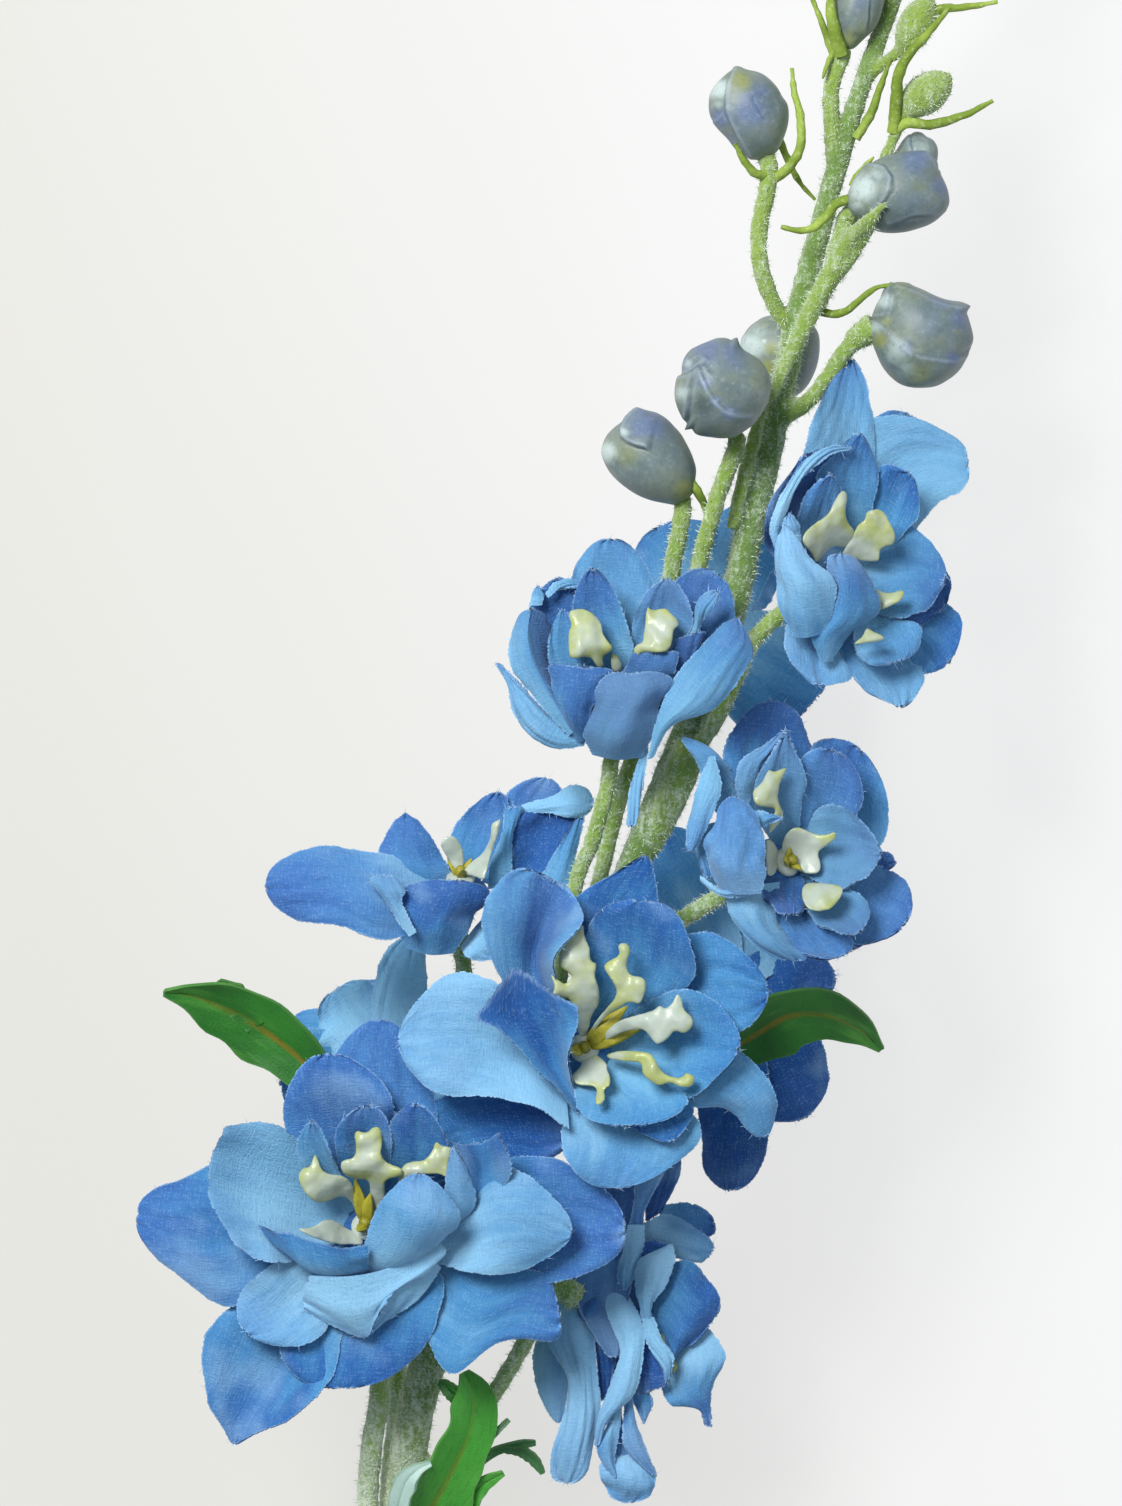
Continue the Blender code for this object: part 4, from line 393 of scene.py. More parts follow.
         1.4), (18, 2.8, 1.4, 14.6, -2, 1.2, 0)), {"close": 0.12, "tone": 0.65}),
        (((5.6, -5.6, 0.6, 2.6, -6.4, 0.6, 0), (6.4, -10.5, 1, 3.4, -11.6, 1, 0.2), (7, -12.8, 1, 4.1,
         -13.4, 1, 0.4), (6, -15.6, 1, 4.8, -15.4, 1, 0)), {"close": 0.3, "tone": 0.1}),
        (((-3, 5, -3, -7, 3, -3, 0), (-5, -3, -2, -11.6, -3, -2, 0.6), (-6, -9, -1, -11.9, -8, -1, 0.8),
         (-7, -16, -1, -9.4, -15, -1, 0)), {"close": 0.1, "tone": (0.2, -0.2), "pale": (0.1, 1),
         "grey": 0.4}),
        (((-6.5, 10, 2.4, 4.5, 10, 2.4, 0), (-5.2, 3.4, 3, 3, 3.4, 3, 0.3), (-2.6, -1.5, 3, 2.4, -2, 3,
         0.3), (-0.4, -5, 2.8, 1.6, -5.2, 2.8, 0)), {"close": 0.05, "tone": 0.9, "grey": 0.6}),
        (((-0.2, 5.8, 0, -3.8, 5.8, 0, 0), (1.2, -3, 0.6, -2.4, -2, 0.6, 0), (0, -11.4, 0.6, -1.6, -12.2,
         0.6, 0)), {"close": 0.02, "tone": 0.9}),
        (((2, -13.6, 1, 1, -14.4, 1, 0), (3, -20, 1, 1, -20, 1, 0), (3.4, -23.2, 1, 1.2, -23.6, 1, 0)),
         {"close": 0.02, "tone": 1.3}),
        (((5, -20, 0, 1, -20, 0, 0), (7.3, -22.6, 1.6, -1.5, -22, 1.6, 1), (7.3, -25, 1.6, -1.1, -25,
         1.6, 1), (5.6, -28, 1, 0.4, -28, 1, 0)), {"close": 0.22, "pale": 0.25, "crumple": 1.2}),
        (((3.4, -8, 2, 1.6, -8.4, 2, 0), (3.8, -12, 2.4, 2.2, -12.4, 2.4, 0.2), (4.6, -15.6, 3, 1.9,
         -16.6, 3, 0.5), (6.2, -20, 3, 2.7, -20, 3, 0.6), (7.5, -23.7, 2.6, 6.4, -23.3, 2.6, 0)),
         {"close": 0.05, "violet": 0.5, "grey": 0.4, "tone": 0.1}),
        (((5.8, -2.4, 2.4, 5.2, -2.4, 2.4, 0), (8.2, -6.4, 2.6, 4.8, -6.6, 2.6, -0.4), (9, -9.6, 2.4,
         4.2, -11, 2.4, 0)), {"close": 0.05, "tone": 1.4}),
        (((9.8, 28, 0, 3.6, 25, 0, 0.3), (8.4, 23, 1, 3.8, 21.6, 1, 0.6), (5.7, 17.8, 2, 3.4, 17.4, 2,
         0.4), (5.3, 15, 2.4, 2.9, 15, 2.4, 0)), {"close": 0.02, "violet": 0.6, "grey": 0.2,
         "tone": 0.1}),
        (((9.4, 12.6, 3, 9.4, 11.4, 3.2, 0), (7, 13.2, 2.8, 7, 10.4, 3, -0.3), (4.8, 12.8, 2.4, 4.6,
         10.2, 2.4, 0)), {"close": 0.04, "tone": 1.1}),
        (((5.6, 15.6, 2.6, 2.8, 15.6, 2.6, 0.3), (5.5, 12, 3, 1.9, 11.4, 3, 0.8), (4.3, 8, 3.4, 0.9, 8.6,
         3.2, 0.8), (3, 5, 3, 1.4, 5.8, 3, 0)), {"close": 0.1, "pale": 0.55}),
        (((9.9, 12.8, 4, 8.6, 12.2, 4, 0), (10.3, 10.6, 4.6, 5, 10.5, 4, 1), (9.3, 7.2, 5, 3.7, 7.6, 4.4,
         1.2), (7, 3, 5, 4.4, 3.4, 4.6, 0.7), (6.6, 0.6, 4.6, 4.8, 0.6, 4.6, 0)), {"close": 0.02,
         "pale": 0.65}),
        (((7, 1.4, 4.4, 5, 1.2, 4.4, 0.2), (8.1, -1.6, 4.8, 5.7, -2.6, 4.4, 0.6), (10.1, -5, 4.4, 8,
         -6.6, 4.4, 0.6), (9.5, -8.4, 4, 8.6, -8.8, 4, 0)), {"close": 0.05, "pale": 0.65}),
        (((-3, 5.4, 0, -8, 4.8, 0, 0.8), (-2.2, -1, 2, -9.9, -2, 2, 1.4), (-1.8, -8, 3, -6.8, -8.6, 3,
         1.2), (-1.2, -13, 3, -7.2, -13.4, 3, 1.2), (-2.2, -19, 2.6, -9.1, -20, 2.6, 1.2), (-3.6, -24.8,
         2, -9.5, -24.8, 2, 0)), {"close": 0.12, "square": 2.6, "pale": (-0.1, 0.9), "veins": 0.8,
         "grey": 0.2}),
        (((2.4, -9.6, 2.4, 0, -10.6, 2.4, 0), (2, -13.6, 3, -0.2, -14.8, 3, 0.3), (1.7, -17, 3.4, -2.1,
         -18.4, 3.4, 0.8), (1.2, -21, 3, -1.7, -21, 3, 0.6), (1.5, -23.8, 3, 0.2, -23.8, 3, 0)),
         {"close": 0.1, "pale": 0.15}),
        (((2.4, 5.6, 2, -0.2, 5.8, 2, 0.2), (4.5, 2, 3.6, -0.6, 2.4, 3, 1), (5.5, -1, 4.4, 1.5, -3, 4,
         1), (5.2, -7, 5, 0.7, -7, 4.6, 1.2), (3.9, -11, 5, -1.1, -12, 4.4, 1.2), (0.1, -14.7, 4.6, -2.4,
         -16, 4.2, 0.6), (-1.4, -18.8, 4, -2.5, -18.8, 4, 0)), {"close": 0.03, "pale": 0.75}),
    ),
    "low_front": (
        (((-1, 3, -5, 4, 3, -5, 0), (-5, 15, -2, 11, 12, -2, 0.6), (-5.8, 24, 0, 10.4, 22, 0, 1), (-4.2,
         31.2, 1, 8.8, 31, 1, 0)), {"close": 0.45, "violet": 0.7, "tone": 0.2}),
        (((3, 4, -5, 4, 1, -5, 0), (10, 18, -1, 16, 8, -2, -0.5), (20, 20.8, 1, 24, 8.5, -2, -1), (30.6,
         17.4, 1, 31.4, 9, -1, 0)), {"close": 0.3, "square": 2.6, "tone": 0.5}),
        (((5, 1, -5, 5, -2, -5, 0), (15, 8, -2, 14, -7.5, -2.5, -0.6), (27, 10, 0.4, 26, -9.4, -1.6,
         -0.8), (39.4, 7.4, 1.2, 40.4, -9.4, -0.6, 0)), {"close": 0.3, "square": 2.8, "point": 0.35,
         "tone": 0.3, "violet": 0.3}),
        (((5, -2, -5, 2, -4, -5, 0), (13, -5.6, -3, 9, -17, -2.5, -0.4), (20, -6.6, -2, 13, -23.4, -1.4,
         -0.6), (27, -7.6, -2, 21.6, -18.2, -1.4, -0.4), (29, -9.6, -2.4, 30.8, -18.8, -2.4, 0)),
         {"close": 0.08, "square": 3.4, "tone": 0.15, "violet": 0.15}),
        (((3, -3, -5, -2, -3, -5, 0), (11.6, -8, -2, -7, -10, -2, -0.5), (11.2, -15, -1.4, -12.8, -17,
         -1.4, -0.6), (8, -25.2, -2.2, -14, -26.2, -2.2, 0)), {"close": 0.45, "square": 2.4,
         "tone": 0.25}),
        (((0, -4, -5, -2, -3.6, -5.2, -4, -3, -5), (-3, -15, -3, -9, -13, -3.4, -17, -10.6, -3), (-5.6,
         -24.4, -1, -13.5, -22.5, -4.6, -25, -18.6, -2.4), (-11.4, -29.6, 0, -17, -28, -5, -24.4, -26.6,
         -3), (-17, -33.4, -2, -20.3, -34.4, -4.6, -23.4, -33.2, -4)), {"close": 0.12, "point": 0.6,
         "tone": 0.1}),
        (((-2, -2, -5, -2, 1, -5, 0), (-13, -9, -2, -12, 8, -2, -0.4), (-22, -13.2, -1.4, -22.4, 9.2, -1,
         0.6), (-29.6, -7.6, -1.6, -29, 6.2, -1.6, 0.6), (-35.4, -3.4, -2.4, -34.8, 5, -2.4, 0)),
         {"close": 0.16, "square": 2.6, "tone": 0.2, "violet": 0.2}),
        (((-2, 2, -4.5, 2, 3, -4.5, 0), (-10, 9, 0, 4, 12, 0.6, -0.6), (-12.4, 17, 3.4, 4.4, 19.4, 3.6,
         -0.8), (-10.6, 26.2, 5.4, 0.4, 25.6, 5.4, 0)), {"close": 0.35, "square": 2.7, "violet": 1,
         "tone": 0.2}),
        (((-2, -2.5, -3.5, -2.4, -1, -3.7, -2.6, 0.5, -3.7, -2.4, 2, -3.5), (-9, -5.4, 0.4, -9.6, -0.5,
         -1.6, -9.6, 5, -0.6, -8.6, 10.4, 3), (-14.4, -6, 4.4, -16.4, 1, 2.6, -16.4, 8, 3.2, -12.6, 14.8,
         6.2), (-19.2, -3.2, 6.6, -22.9, 4, 7.4, -22.8, 10, 8, -21, 15.2, 8.6)), {"close": 0,
         "crumple": 0.5, "pale": 0.4, "tone": -0.1}),
        (((-2, 2, -3.5, 2, 2, -3.5, 0), (-4.2, 10, 3, 4, 9, 3, -1), (-4.4, 14.4, 6, 4.6, 14, 6, -0.8),
         (-3.6, 18.2, 8, 4.6, 17.8, 8, 0)), {"close": 0.4, "tone": 0.25, "crumple": 0.3}),
        (((2, 2, -3.5, 5, 1.5, -3.5, 0), (3.4, 10, 3, 12.6, 8, 3, -1), (3.2, 14.6, 6, 13, 13, 6, -0.8),
         (4, 18.4, 8, 12, 18, 8, 0)), {"close": 0.4, "tone": 0.3, "crumple": 0.3}),
        (((-3, 1, -3.5, -1, 2, -3.5, 0), (-8, 7, 3, -4, 8, 3, -0.6), (-10.4, 12, 6.4, -5.2, 12, 6.4,
         -0.6), (-9.8, 15.8, 8, -5.8, 15.4, 8, 0)), {"close": 0.4, "crumple": 0.3, "pale": 0.2}),
        (((8, -2, -2, 12, -1.6, -1, 0), (11.6, 2, 3, 17.2, 3, 3, 0.8), (12.4, 7, 5.6, 16.6, 6.6, 4.6,
         0.8), (12.8, 11.6, 7.6, 14.6, 11.8, 7.4, 0)), {"close": 0.25, "crumple": 0.2, "pale": 0.35}),
        (((12, -1, -1, 13, -1.5, -1.6, 14, -1, -1), (15.2, 4, 2.6, 17.4, 3, 0.6, 20.6, 4.8, 3.4), (15.8,
         8, 4.6, 18.2, 7.2, 1.6, 22.4, 8.4, 6.4), (13.8, 12.4, 6.6, 17.6, 12.2, 4.6, 20.6, 14.2, 8)),
         {"close": 0, "crumple": 0.3, "tone": 0.1}),
        (((4, -1, -3, 3.5, -3, -3, 0), (14, 2.4, 1, 14, -7.2, 1, -0.5), (22.4, 8.6, 3.6, 23, -7.8, 2.6,
         0.8), (33, 3.4, 4, 30.4, -6.6, 3, 0.4)), {"close": 0.42, "square": 2.4, "pale": 0.3,
         "tone": -0.1}),
        (((-1, -4, -3.5, -4, -2, -3.5, 0), (-4, -13, -0.5, -12, -5, 0.5, -0.6), (-8.4, -18.6, 0.2, -18,
         -9.4, 0.6, -1), (-15.4, -19.4, 0.4, -20.8, -14.4, 0.4, 0)), {"close": 0.22, "square": 2.6,
         "pale": 0.3, "tone": -0.1}),
        (((11.8, -7, 0.6, 10, -5, 3, 0), (8.5, -11.6, 0, 4.5, -9.8, 3, 0), (0.2, -18, -0.6, -0.6, -17.6,
         -0.2, 0)), {"close": 0.1, "crumple": 0.2, "pale": 0.5}),
        (((11.2, -2.4, 3, 4, -6.6, 4, -2, -8, 4, -8.4, -8, 3), (12.6, -4, 3.4, 5, -9.2, 3.4, -2, -12.4,
         2.6, -9.4, -11, 1.6), (8.6, -8.6, 3, 2.6, -11.8, 3.2, -0.4, -18.2, 0.4, -9.4, -13.8, 0.6)),
         {"close": 0, "crumple": 0.4, "pale": 0.6, "tone": -0.2}),
        (((-6.6, -7.6, -0.6, -4.5, -8.4, 0.4, -2, -8.4, 0.8, 0.8, -8, 0.8), (-12.4, -4.6, 3, -9, -6.6,
         4.6, -4, -7, 5.2, 0.9, -6, 5.2), (-16.6, -0.8, 6, -12, -1.3, 6.8, -5, -3.2, 7.4, 0.9, -3.4,
         7.8)), {"close": 0, "crumple": 0.4, "tone": 0.05}),
        (((0.2, -8.2, 1, 4.5, -7.6, 1, 0.4), (0, -3.5, 5.4, 11.8, -3, 4.8, 2.2), (1.8, 3, 8.4, 15, 1.6,
         7.6, 2.6), (4.4, 8.4, 9.4, 12.6, 8, 9, 0.6)), {"close": 0.42, "square": 2.2, "crumple": 0.3,
         "pale": 0.2}),
    ),
}

# How the traced flowers lean away from the camera: fall per mm to the right and upwards
LEAN = {
    "right_front": (0.5, 0.25), "high_right": (0.5, 0.25), "high_front": (0.0, 0.4),
    "left_side": (0.0, 0.35),
}

# Stalks: the way from the main stem to the flower or bud, then the radius at each end
FLOWER_STALKS = {
    "low_front": (((-32.6, -185.0, 15.0), (-32.9, -177.8, 18.0), (-30.25, -116.7, 37.0),
                   (-28.3, -100.3, 42.0), (-27.8, -87.9, 45.0)), 2.05),
    "back_left": (((-29.6, -162.3, 21.5), (-27.1, -116.7, 29.0), (-25.6, -98.7, 30.0),
                   (-25.9, -77.0, 32.0), (-26.8, -62.0, 36.0), (-27.9, -54.0, 36.5)), 1.5),
    "low_side": (((-24.2, -115.8, 34.0), (-16.4, -108.0, 37.0), (-10.2, -99.5, 39.0),
                  (-4.8, -90.2, 42.0), (-2.4, -84.6, 43.8)), 1.4),
    "middle_front": (((-0.4, -47.4, 47.6), (2.9, -46.9, 52.0)), 1.6),
    "right_front": (((4.5, -35.2, 48.5), (12.2, -32.1, 51.0), (17.2, -26.7, 52.5)), 1.5),
    "high_right": (((12.2, -15.8, 49.0), (18.4, -3.4, 52.0), (23.9, 5.1, 53.0),
                    (27.4, 12.6, 53.0), (30.4, 18.3, 52.5)), 1.3),
    "high_front": (((-2.5, -51.8, 47.5), (1.7, -22.8, 53.0), (4.8, -13.5, 55.0),
                    (7.0, -5.7, 56.5), (7.9, -0.6, 57.5)), 1.25),
    "left_side": (((-8.7, -66.6, 45.0), (-11.8, -52.2, 45.0), (-14.4, -39.8, 45.0)), 1.4),
    "back_high": (((13.8, -11.0, 48.0), (18.4, 2.0, 44.5), (22.0, 13.0, 39.0)), 1.6),
    "back_right": (((5.6, -32.6, 48.3), (13.4, -33.0, 43.0), (20.4, -36.0, 38.5)), 1.5),
}

# Moulded buds: stalk, the way the bud points, length and thickness
BUDS = {
    "bud_high_left": (((3.4, -33.0, 47.6), (6.7, -16.6, 46.0), (9.5, -5.7, 45.5),
                       (13.0, 5.1, 46.0), (15.7, 17.5, 48.0), (17.2, 28.4, 51.0),
                       (18.9, 38.2, 52.0)),
                      (-0.6, 0.8, 0.1), 15.5, 13.2),
    "bud_high_middle": (((21.2, 3.7, 49.0), (20.8, 20.6, 51.0), (21.5, 29.9, 53.0),
                         (24.6, 40.8, 54.0), (27.2, 47.6, 53.4)),
                        (-0.38, 0.62, 0.68), 14.7, 14.5),
    "bud_behind": (((27.0, 22.7, 47.4), (28.5, 36.1, 42.0), (31.0, 47.5, 38.2),
                    (32.6, 53.2, 37.5)),
                   (0.12, 0.96, -0.24), 13.4, 12.4),
    "bud_upper_left": (((36.1, 64.9, 45.4), (32.7, 70.2, 47.0), (30.8, 76.1, 48.0),
                        (30.8, 81.8, 48.0), (32.1, 88.0, 48.0), (32.2, 91.2, 48.0)),
                       (-0.37, 0.93, 0.0), 14.2, 11.8),
    "bud_right": (((33.6, 51.3, 46.0), (39.4, 55.5, 48.0), (43.4, 61.4, 48.0),
                   (46.0, 64.0, 48.0)),
                  (0.98, 0.12, 0.1), 17.0, 15.5),
    "bud_upper_right": (((36.0, 64.5, 45.6), (40.1, 70.2, 49.0), (42.6, 78.0, 51.5),
                         (44.2, 83.0, 52.0)),
                        (0.93, 0.26, 0.1), 16.0, 12.7),
    "bud_top_left": (((42.6, 90.9, 43.6), (41.9, 99.7, 44.0), (42.2, 104.3, 44.0),
                      (43.6, 108.0, 44.0)),
                     (0.15, 0.98, 0.0), 12.4, 8.5),
    "bud_small_right": (((46.0, 85.0, 46.4), (49.2, 87.6, 42.6)),
                        (0.62, 0.62, -0.30), 8.5, 7.6),
}

# Small flocked buds, one body with the stem: stalk, direction, length, thickness
GREEN_BUDS = (
    (((42.4, 74.7, 50.6), (45.4, 81.3, 47.6), (48.6, 88.3, 45.0), (51.5, 95.0, 44.0),
      (53.4, 99.9, 44.0)), (0.8, 0.6, 0.1), 10.0, 6.3),
    (((47.2, 104.7, 42.2), (50.2, 107.4, 43.6), (53.2, 109.2, 45.0)), (0.45, 0.9, 0.1), 10.4, 5.8),
    (((50.9, 115.0, 41.2), (51.6, 120.5, 43.0), (52.4, 124.3, 44.0)), (0.2, 0.95, 0.2), 8.0, 5.2),
    (((53.9, 124.0, 40.5), (58.4, 128.4, 41.0), (62.2, 131.0, 41.5)), (0.75, 0.66, 0.1), 7.4, 4.9),
    (((56.6, 132.9, 39.8), (56.0, 137.0, 41.5), (55.8, 140.2, 42.5)), (-0.1, 0.95, 0.3), 7.0, 4.6),
    (((58.6, 140.1, 39.1), (61.8, 144.0, 38.8), (64.4, 146.8, 38.6)), (0.7, 0.7, 0.0), 6.4, 4.3),
    (((61.2, 150.1, 38.2), (60.4, 154.2, 39.6), (60.0, 157.4, 40.4)), (-0.1, 0.97, 0.2), 6.0, 4.0),
    (((63.0, 158.0, 37.4), (66.0, 162.0, 37.2), (67.6, 165.2, 37.2)), (0.5, 0.86, 0.0), 5.6, 3.7),
    (((65.8, 172.5, 35.9), (66.8, 178.7, 35.0), (67.0, 180.2, 34.8)), (0.15, 0.98, -0.1), 5.4, 3.4),
)

# Bracts: thin curled tongues on the stalks, with the radius at the root
BRACTS = (
    (((32.6, 88.6, 48.0), (35.4, 90.8, 49.2), (37.0, 93.8, 50.2), (37.0, 98.4, 50.6),
      (36.0, 102.4, 50.6), (35.7, 105.8, 50.4)), 0.8),
    (((32.2, 89.4, 48.0), (30.0, 89.6, 50.0), (28.3, 91.4, 51.6), (26.9, 93.9, 52.6)), 0.75),
    (((34.0, 95.0, 46.0), (35.2, 92.2, 45.4), (37.0, 88.8, 44.6), (39.5, 86.0, 43.8)), 0.6),
    (((44.4, 85.3, 54.0), (42.3, 84.5, 53.6), (40.6, 82.4, 54.0), (38.8, 80.9, 54.0),
      (36.6, 80.5, 54.0), (33.9, 81.1, 54.0)), 0.8),
    (((40.4, 68.2, 48.8), (42.4, 67.8, 49.4), (44.4, 68.5, 50.4), (46.6, 70.4, 51.2),
      (48.8, 71.9, 51.4), (51.6, 72.3, 51.2)), 0.65),
    (((43.2, 106.6, 44.0), (41.4, 111.1, 45.0), (39.0, 117.0, 46.0)), 0.75),
    (((43.6, 108.4, 45.4), (42.4, 112.0, 46.8), (41.8, 115.4, 47.2), (42.0, 119.4, 47.2)), 1.1),
    (((42.6, 109.4, 44.0), (41.5, 107.2, 45.6), (40.6, 104.6, 46.2)), 0.5),
    (((51.4, 96.4, 44.0), (53.8, 97.9, 44.6), (57.2, 97.6, 44.4), (60.4, 98.3, 45.0),
      (63.6, 99.4, 45.6), (67.0, 101.2, 46.0)), 0.85),
    (((51.6, 96.4, 44.2), (52.0, 101.6, 46.0), (52.4, 105.4, 47.4), (54.2, 108.6, 48.6),
      (57.0, 111.6, 49.2), (60.1, 115.4, 49.4)), 0.95),
    (((54.0, 111.4, 45.0), (58.3, 115.2, 46.0), (62.2, 115.6, 46.4), (67.6, 116.4, 47.0)), 0.8),
    (((19.6, 42.2, 54.6), (20.9, 40.4, 54.0), (22.0, 38.6, 52.6), (22.6, 36.0, 51.0)), 0.8),
    (((45.2, 88.0, 44.4), (46.4, 90.2, 44.8), (48.6, 92.6, 45.2)), 0.6),
    (((45.8, 95.4, 44.6), (48.2, 99.4, 44.8), (49.4, 103.0, 44.8), (51.2, 107.8, 45.2)), 0.75),
)

# Leaves: each lobe is a way with the half width at every place, the side it faces, how much
# painted light (bright) and painted highlight (pale) it takes, and how clearly ribbed its print is
LEAVES = {
    "leaf_left": (
        (((-26.3, -70.4, 35.6, 0.6), (-29.4, -64.0, 38.0, 0.8), (-34.6, -55.0, 40.0, 2.2),
          (-40.2, -48.0, 41.0, 4.4), (-46.7, -42.9, 41.6, 5.4), (-53.0, -39.4, 42.6, 4.6),
          (-58.0, -37.6, 44.0, 2.2), (-61.6, -37.2, 45.6, 0.6)), (-0.1, -0.35, 0.9),
         (0.3, 0.0, 1.0)),
        (((-47.5, -42.6, 41.6, 1.6), (-50.8, -38.0, 42.4, 2.6), (-53.4, -35.6, 43.6, 0.7)),
         (-0.1, -0.35, 0.9), (0.2, 0.0, 0.5)),
    ),
    "leaf_right": (
        (((3.4, -42.2, 45.4, 0.6), (12.2, -45.5, 45.6, 0.8), (21.5, -48.6, 45.0, 2.4),
          (28.5, -44.7, 46.0, 4.6), (35.0, -40.8, 47.4, 5.4), (41.0, -40.6, 46.6, 4.4),
          (46.4, -43.0, 43.6, 2.4), (49.9, -46.2, 40.0, 0.6)), (0.1, -0.45, 0.85),
         (0.2, 0.0, 1.0)),
    ),
    "leaf_low": (
        (((-25.6, -128.6, 34.6, 0.7), (-23.6, -123.4, 37.8, 3.0), (-20.6, -118.2, 40.6, 4.9),
          (-18.4, -114.4, 42.4, 4.8), (-16.4, -110.4, 43.8, 4.2), (-14.5, -106.2, 45.2, 3.9),
          (-13.5, -102.0, 46.2, 3.7), (-13.8, -98.6, 46.8, 2.7), (-15.0, -95.9, 47.0, 0.8)),
         (0.2, -0.2, 0.95), (1.0, 0.0, 0.5)),
        (((-21.0, -121.4, 39.2, 1.2), (-16.0, -117.4, 41.0, 2.2), (-12.4, -114.0, 42.2, 1.4),
          (-9.0, -112.0, 43.0, 0.5)), (0.1, -0.3, 0.95), (1.2, 0.0, 0.0)),
        (((-24.2, -123.0, 38.4, 1.4), (-25.4, -118.4, 42.4, 1.6), (-24.0, -113.2, 45.4, 1.8),
          (-22.2, -111.2, 46.0, 1.0), (-20.2, -110.2, 45.8, 0.5)), (-0.3, -0.1, 0.95),
         (0.2, 1.0, 0.0)),
        (((-14.6, -101.4, 45.2, 0.9), (-16.4, -99.6, 46.2, 1.3), (-18.0, -98.2, 45.8, 1.0),
          (-18.9, -97.7, 45.4, 0.5)), (0.0, -0.2, 0.97), (-0.3, 0.0, 0.0)),
        (((-12.0, -107.0, 44.6, 0.8), (-10.2, -105.6, 44.8, 0.5), (-8.1, -103.6, 44.2, 0.4)),
         (0.0, -0.2, 0.97), (0.0, 0.2, 0.0)),
    ),
    "leaf_low_back": (
        (((-23.4, -133.4, 26.6, 0.7), (-20.4, -126.0, 29.0, 1.0), (-16.6, -117.6, 32.4, 1.1),
          (-13.6, -112.0, 34.6, 0.9), (-10.8, -109.6, 35.4, 0.7), (-8.4, -108.7, 35.6, 0.7),
          (-6.0, -108.2, 35.4, 0.7), (-4.0, -108.0, 35.0, 0.4)), (-0.1, -0.2, 0.97),
         (0.1, 0.1, 0.0)),
        (((-9.4, -109.0, 35.6, 0.5), (-6.6, -109.2, 35.4, 0.9), (-4.6, -110.4, 35.0, 0.9),
          (-3.5, -111.8, 34.6, 0.7), (-2.9, -112.9, 34.2, 0.4)), (-0.1, -0.2, 0.97),
         (0.1, 0.1, 0.0)),
    ),
}
PLACE = "place"        # attribute: share of the length, share of the half width, way to the rim
DYE_AND_LIGHT = "dye"            # attribute: paleness, depth and violet of the piece that a point is on; on petals partly painted highlight and painted shade
DULL = "dull"          # attribute: how greyed a petal's colour is; on a bud, how strong its darker patches are


# How much of their paleness (partly painted highlight) and of their depth (partly painted shade)
# the petals of a flower take, and the violet and the grey that all of them get
PLAIN_DYE_AND_LIGHT = (1.0, 1.0, 0.0, 0.0)
FLOWER_DYE_AND_LIGHT = {
    "right_front": (0.5, 0.85, 0.3, 0.2),
    "high_right": (0.8, 0.7, 0.1, 0.1),
    "high_front": (0.5, 0.85, 0.1, 0.35),
    "left_side": (0.8, 0.8, 0.1, 0.1),
    "low_side": (0.85, 0.85, 0.1, 0.1),
}


def select_only(*pieces):
    """Leaves just these pieces selected, the first one active."""
    bpy.ops.object.select_all(action="DESELECT")
    for piece in pieces:
        piece.select_set(True)
    bpy.context.view_layer.objects.active = pieces[0]


def apply_modifier(piece, kind, **settings):
    """Adds one modifier to a piece and applies it."""
    select_only(piece)
    modifier = piece.modifiers.new(kind.lower(), kind)
    for key, value in settings.items():
        setattr(modifier, key, value)
    bpy.ops.object.modifier_apply(modifier=modifier.name)


def ball(segments, rings):
    """A ball with radius 1 at the origin."""
    bpy.ops.mesh.primitive_uv_sphere_add(segments=segments, ring_count=rings, radius=1.0)
    return bpy.context.object


def stand_up(piece, place, axis, size):
    """Sizes a piece at the origin, points its top along an axis and puts it at a place."""
    turn = axis.to_track_quat("Z", "Y").to_matrix().to_4x4()
    piece.data.transform(Matrix.Translation(place) @ turn @ Matrix.Diagonal((*size, 1.0)))


def edit(piece, *steps):
    """Runs edit steps on all faces of a piece, each a tool and its settings."""
    select_only(piece)
    bpy.ops.object.mode_set(mode="EDIT")
    for tool, settings in steps:
        bpy.ops.mesh.select_all(action="SELECT")
        tool(**settings)
    bpy.ops.object.mode_set(mode="OBJECT")


def join(name, pieces):
    """Joins pieces to one, under a name."""
    select_only(*pieces)
    if len(pieces) > 1:
        bpy.ops.object.join()
    whole = bpy.context.view_layer.objects.active
    whole.name = name
    whole.data.name = name
    return whole


def points_of(piece):
    """The places of all points of a piece."""
    flat = np.empty(len(piece.data.vertices) * 3)
    piece.data.vertices.foreach_get("co", flat)
    return flat.reshape(-1, 3)


def set_points(piece, points):
    """Moves all points of a piece to their places."""
    piece.data.vertices.foreach_set("co", np.ascontiguousarray(points, dtype=np.float32).ravel())
    piece.data.update()


def normals_of(piece):
    """The outward direction at all points of a piece."""
    flat = np.empty(len(piece.data.vertices) * 3, dtype=np.float32)
    piece.data.vertices.foreach_get("normal", flat)
    return flat.reshape(-1, 3).astype(float)


def give(piece, name, values):
    """Stores three numbers at every point of a piece."""
    layer = piece.data.attributes.get(name)
    if layer is None:
        layer = piece.data.attributes.new(name, "FLOAT_VECTOR", "POINT")
    layer.data.foreach_set("vector", np.ascontiguousarray(values, dtype=np.float32).ravel())


def give_map(piece, places):
    """Stores the cloth coordinates of every point as the piece's map."""
    if not piece.data.uv_layers:
        piece.data.uv_layers.new(name="UVMap")
    corners = np.empty(len(piece.data.loops), dtype=np.int32)
    piece.data.loops.foreach_get("vertex_index", corners)
    flat = np.ascontiguousarray(places[corners], dtype=np.float32).ravel()
    piece.data.uv_layers[0].data.foreach_set("uv", flat)


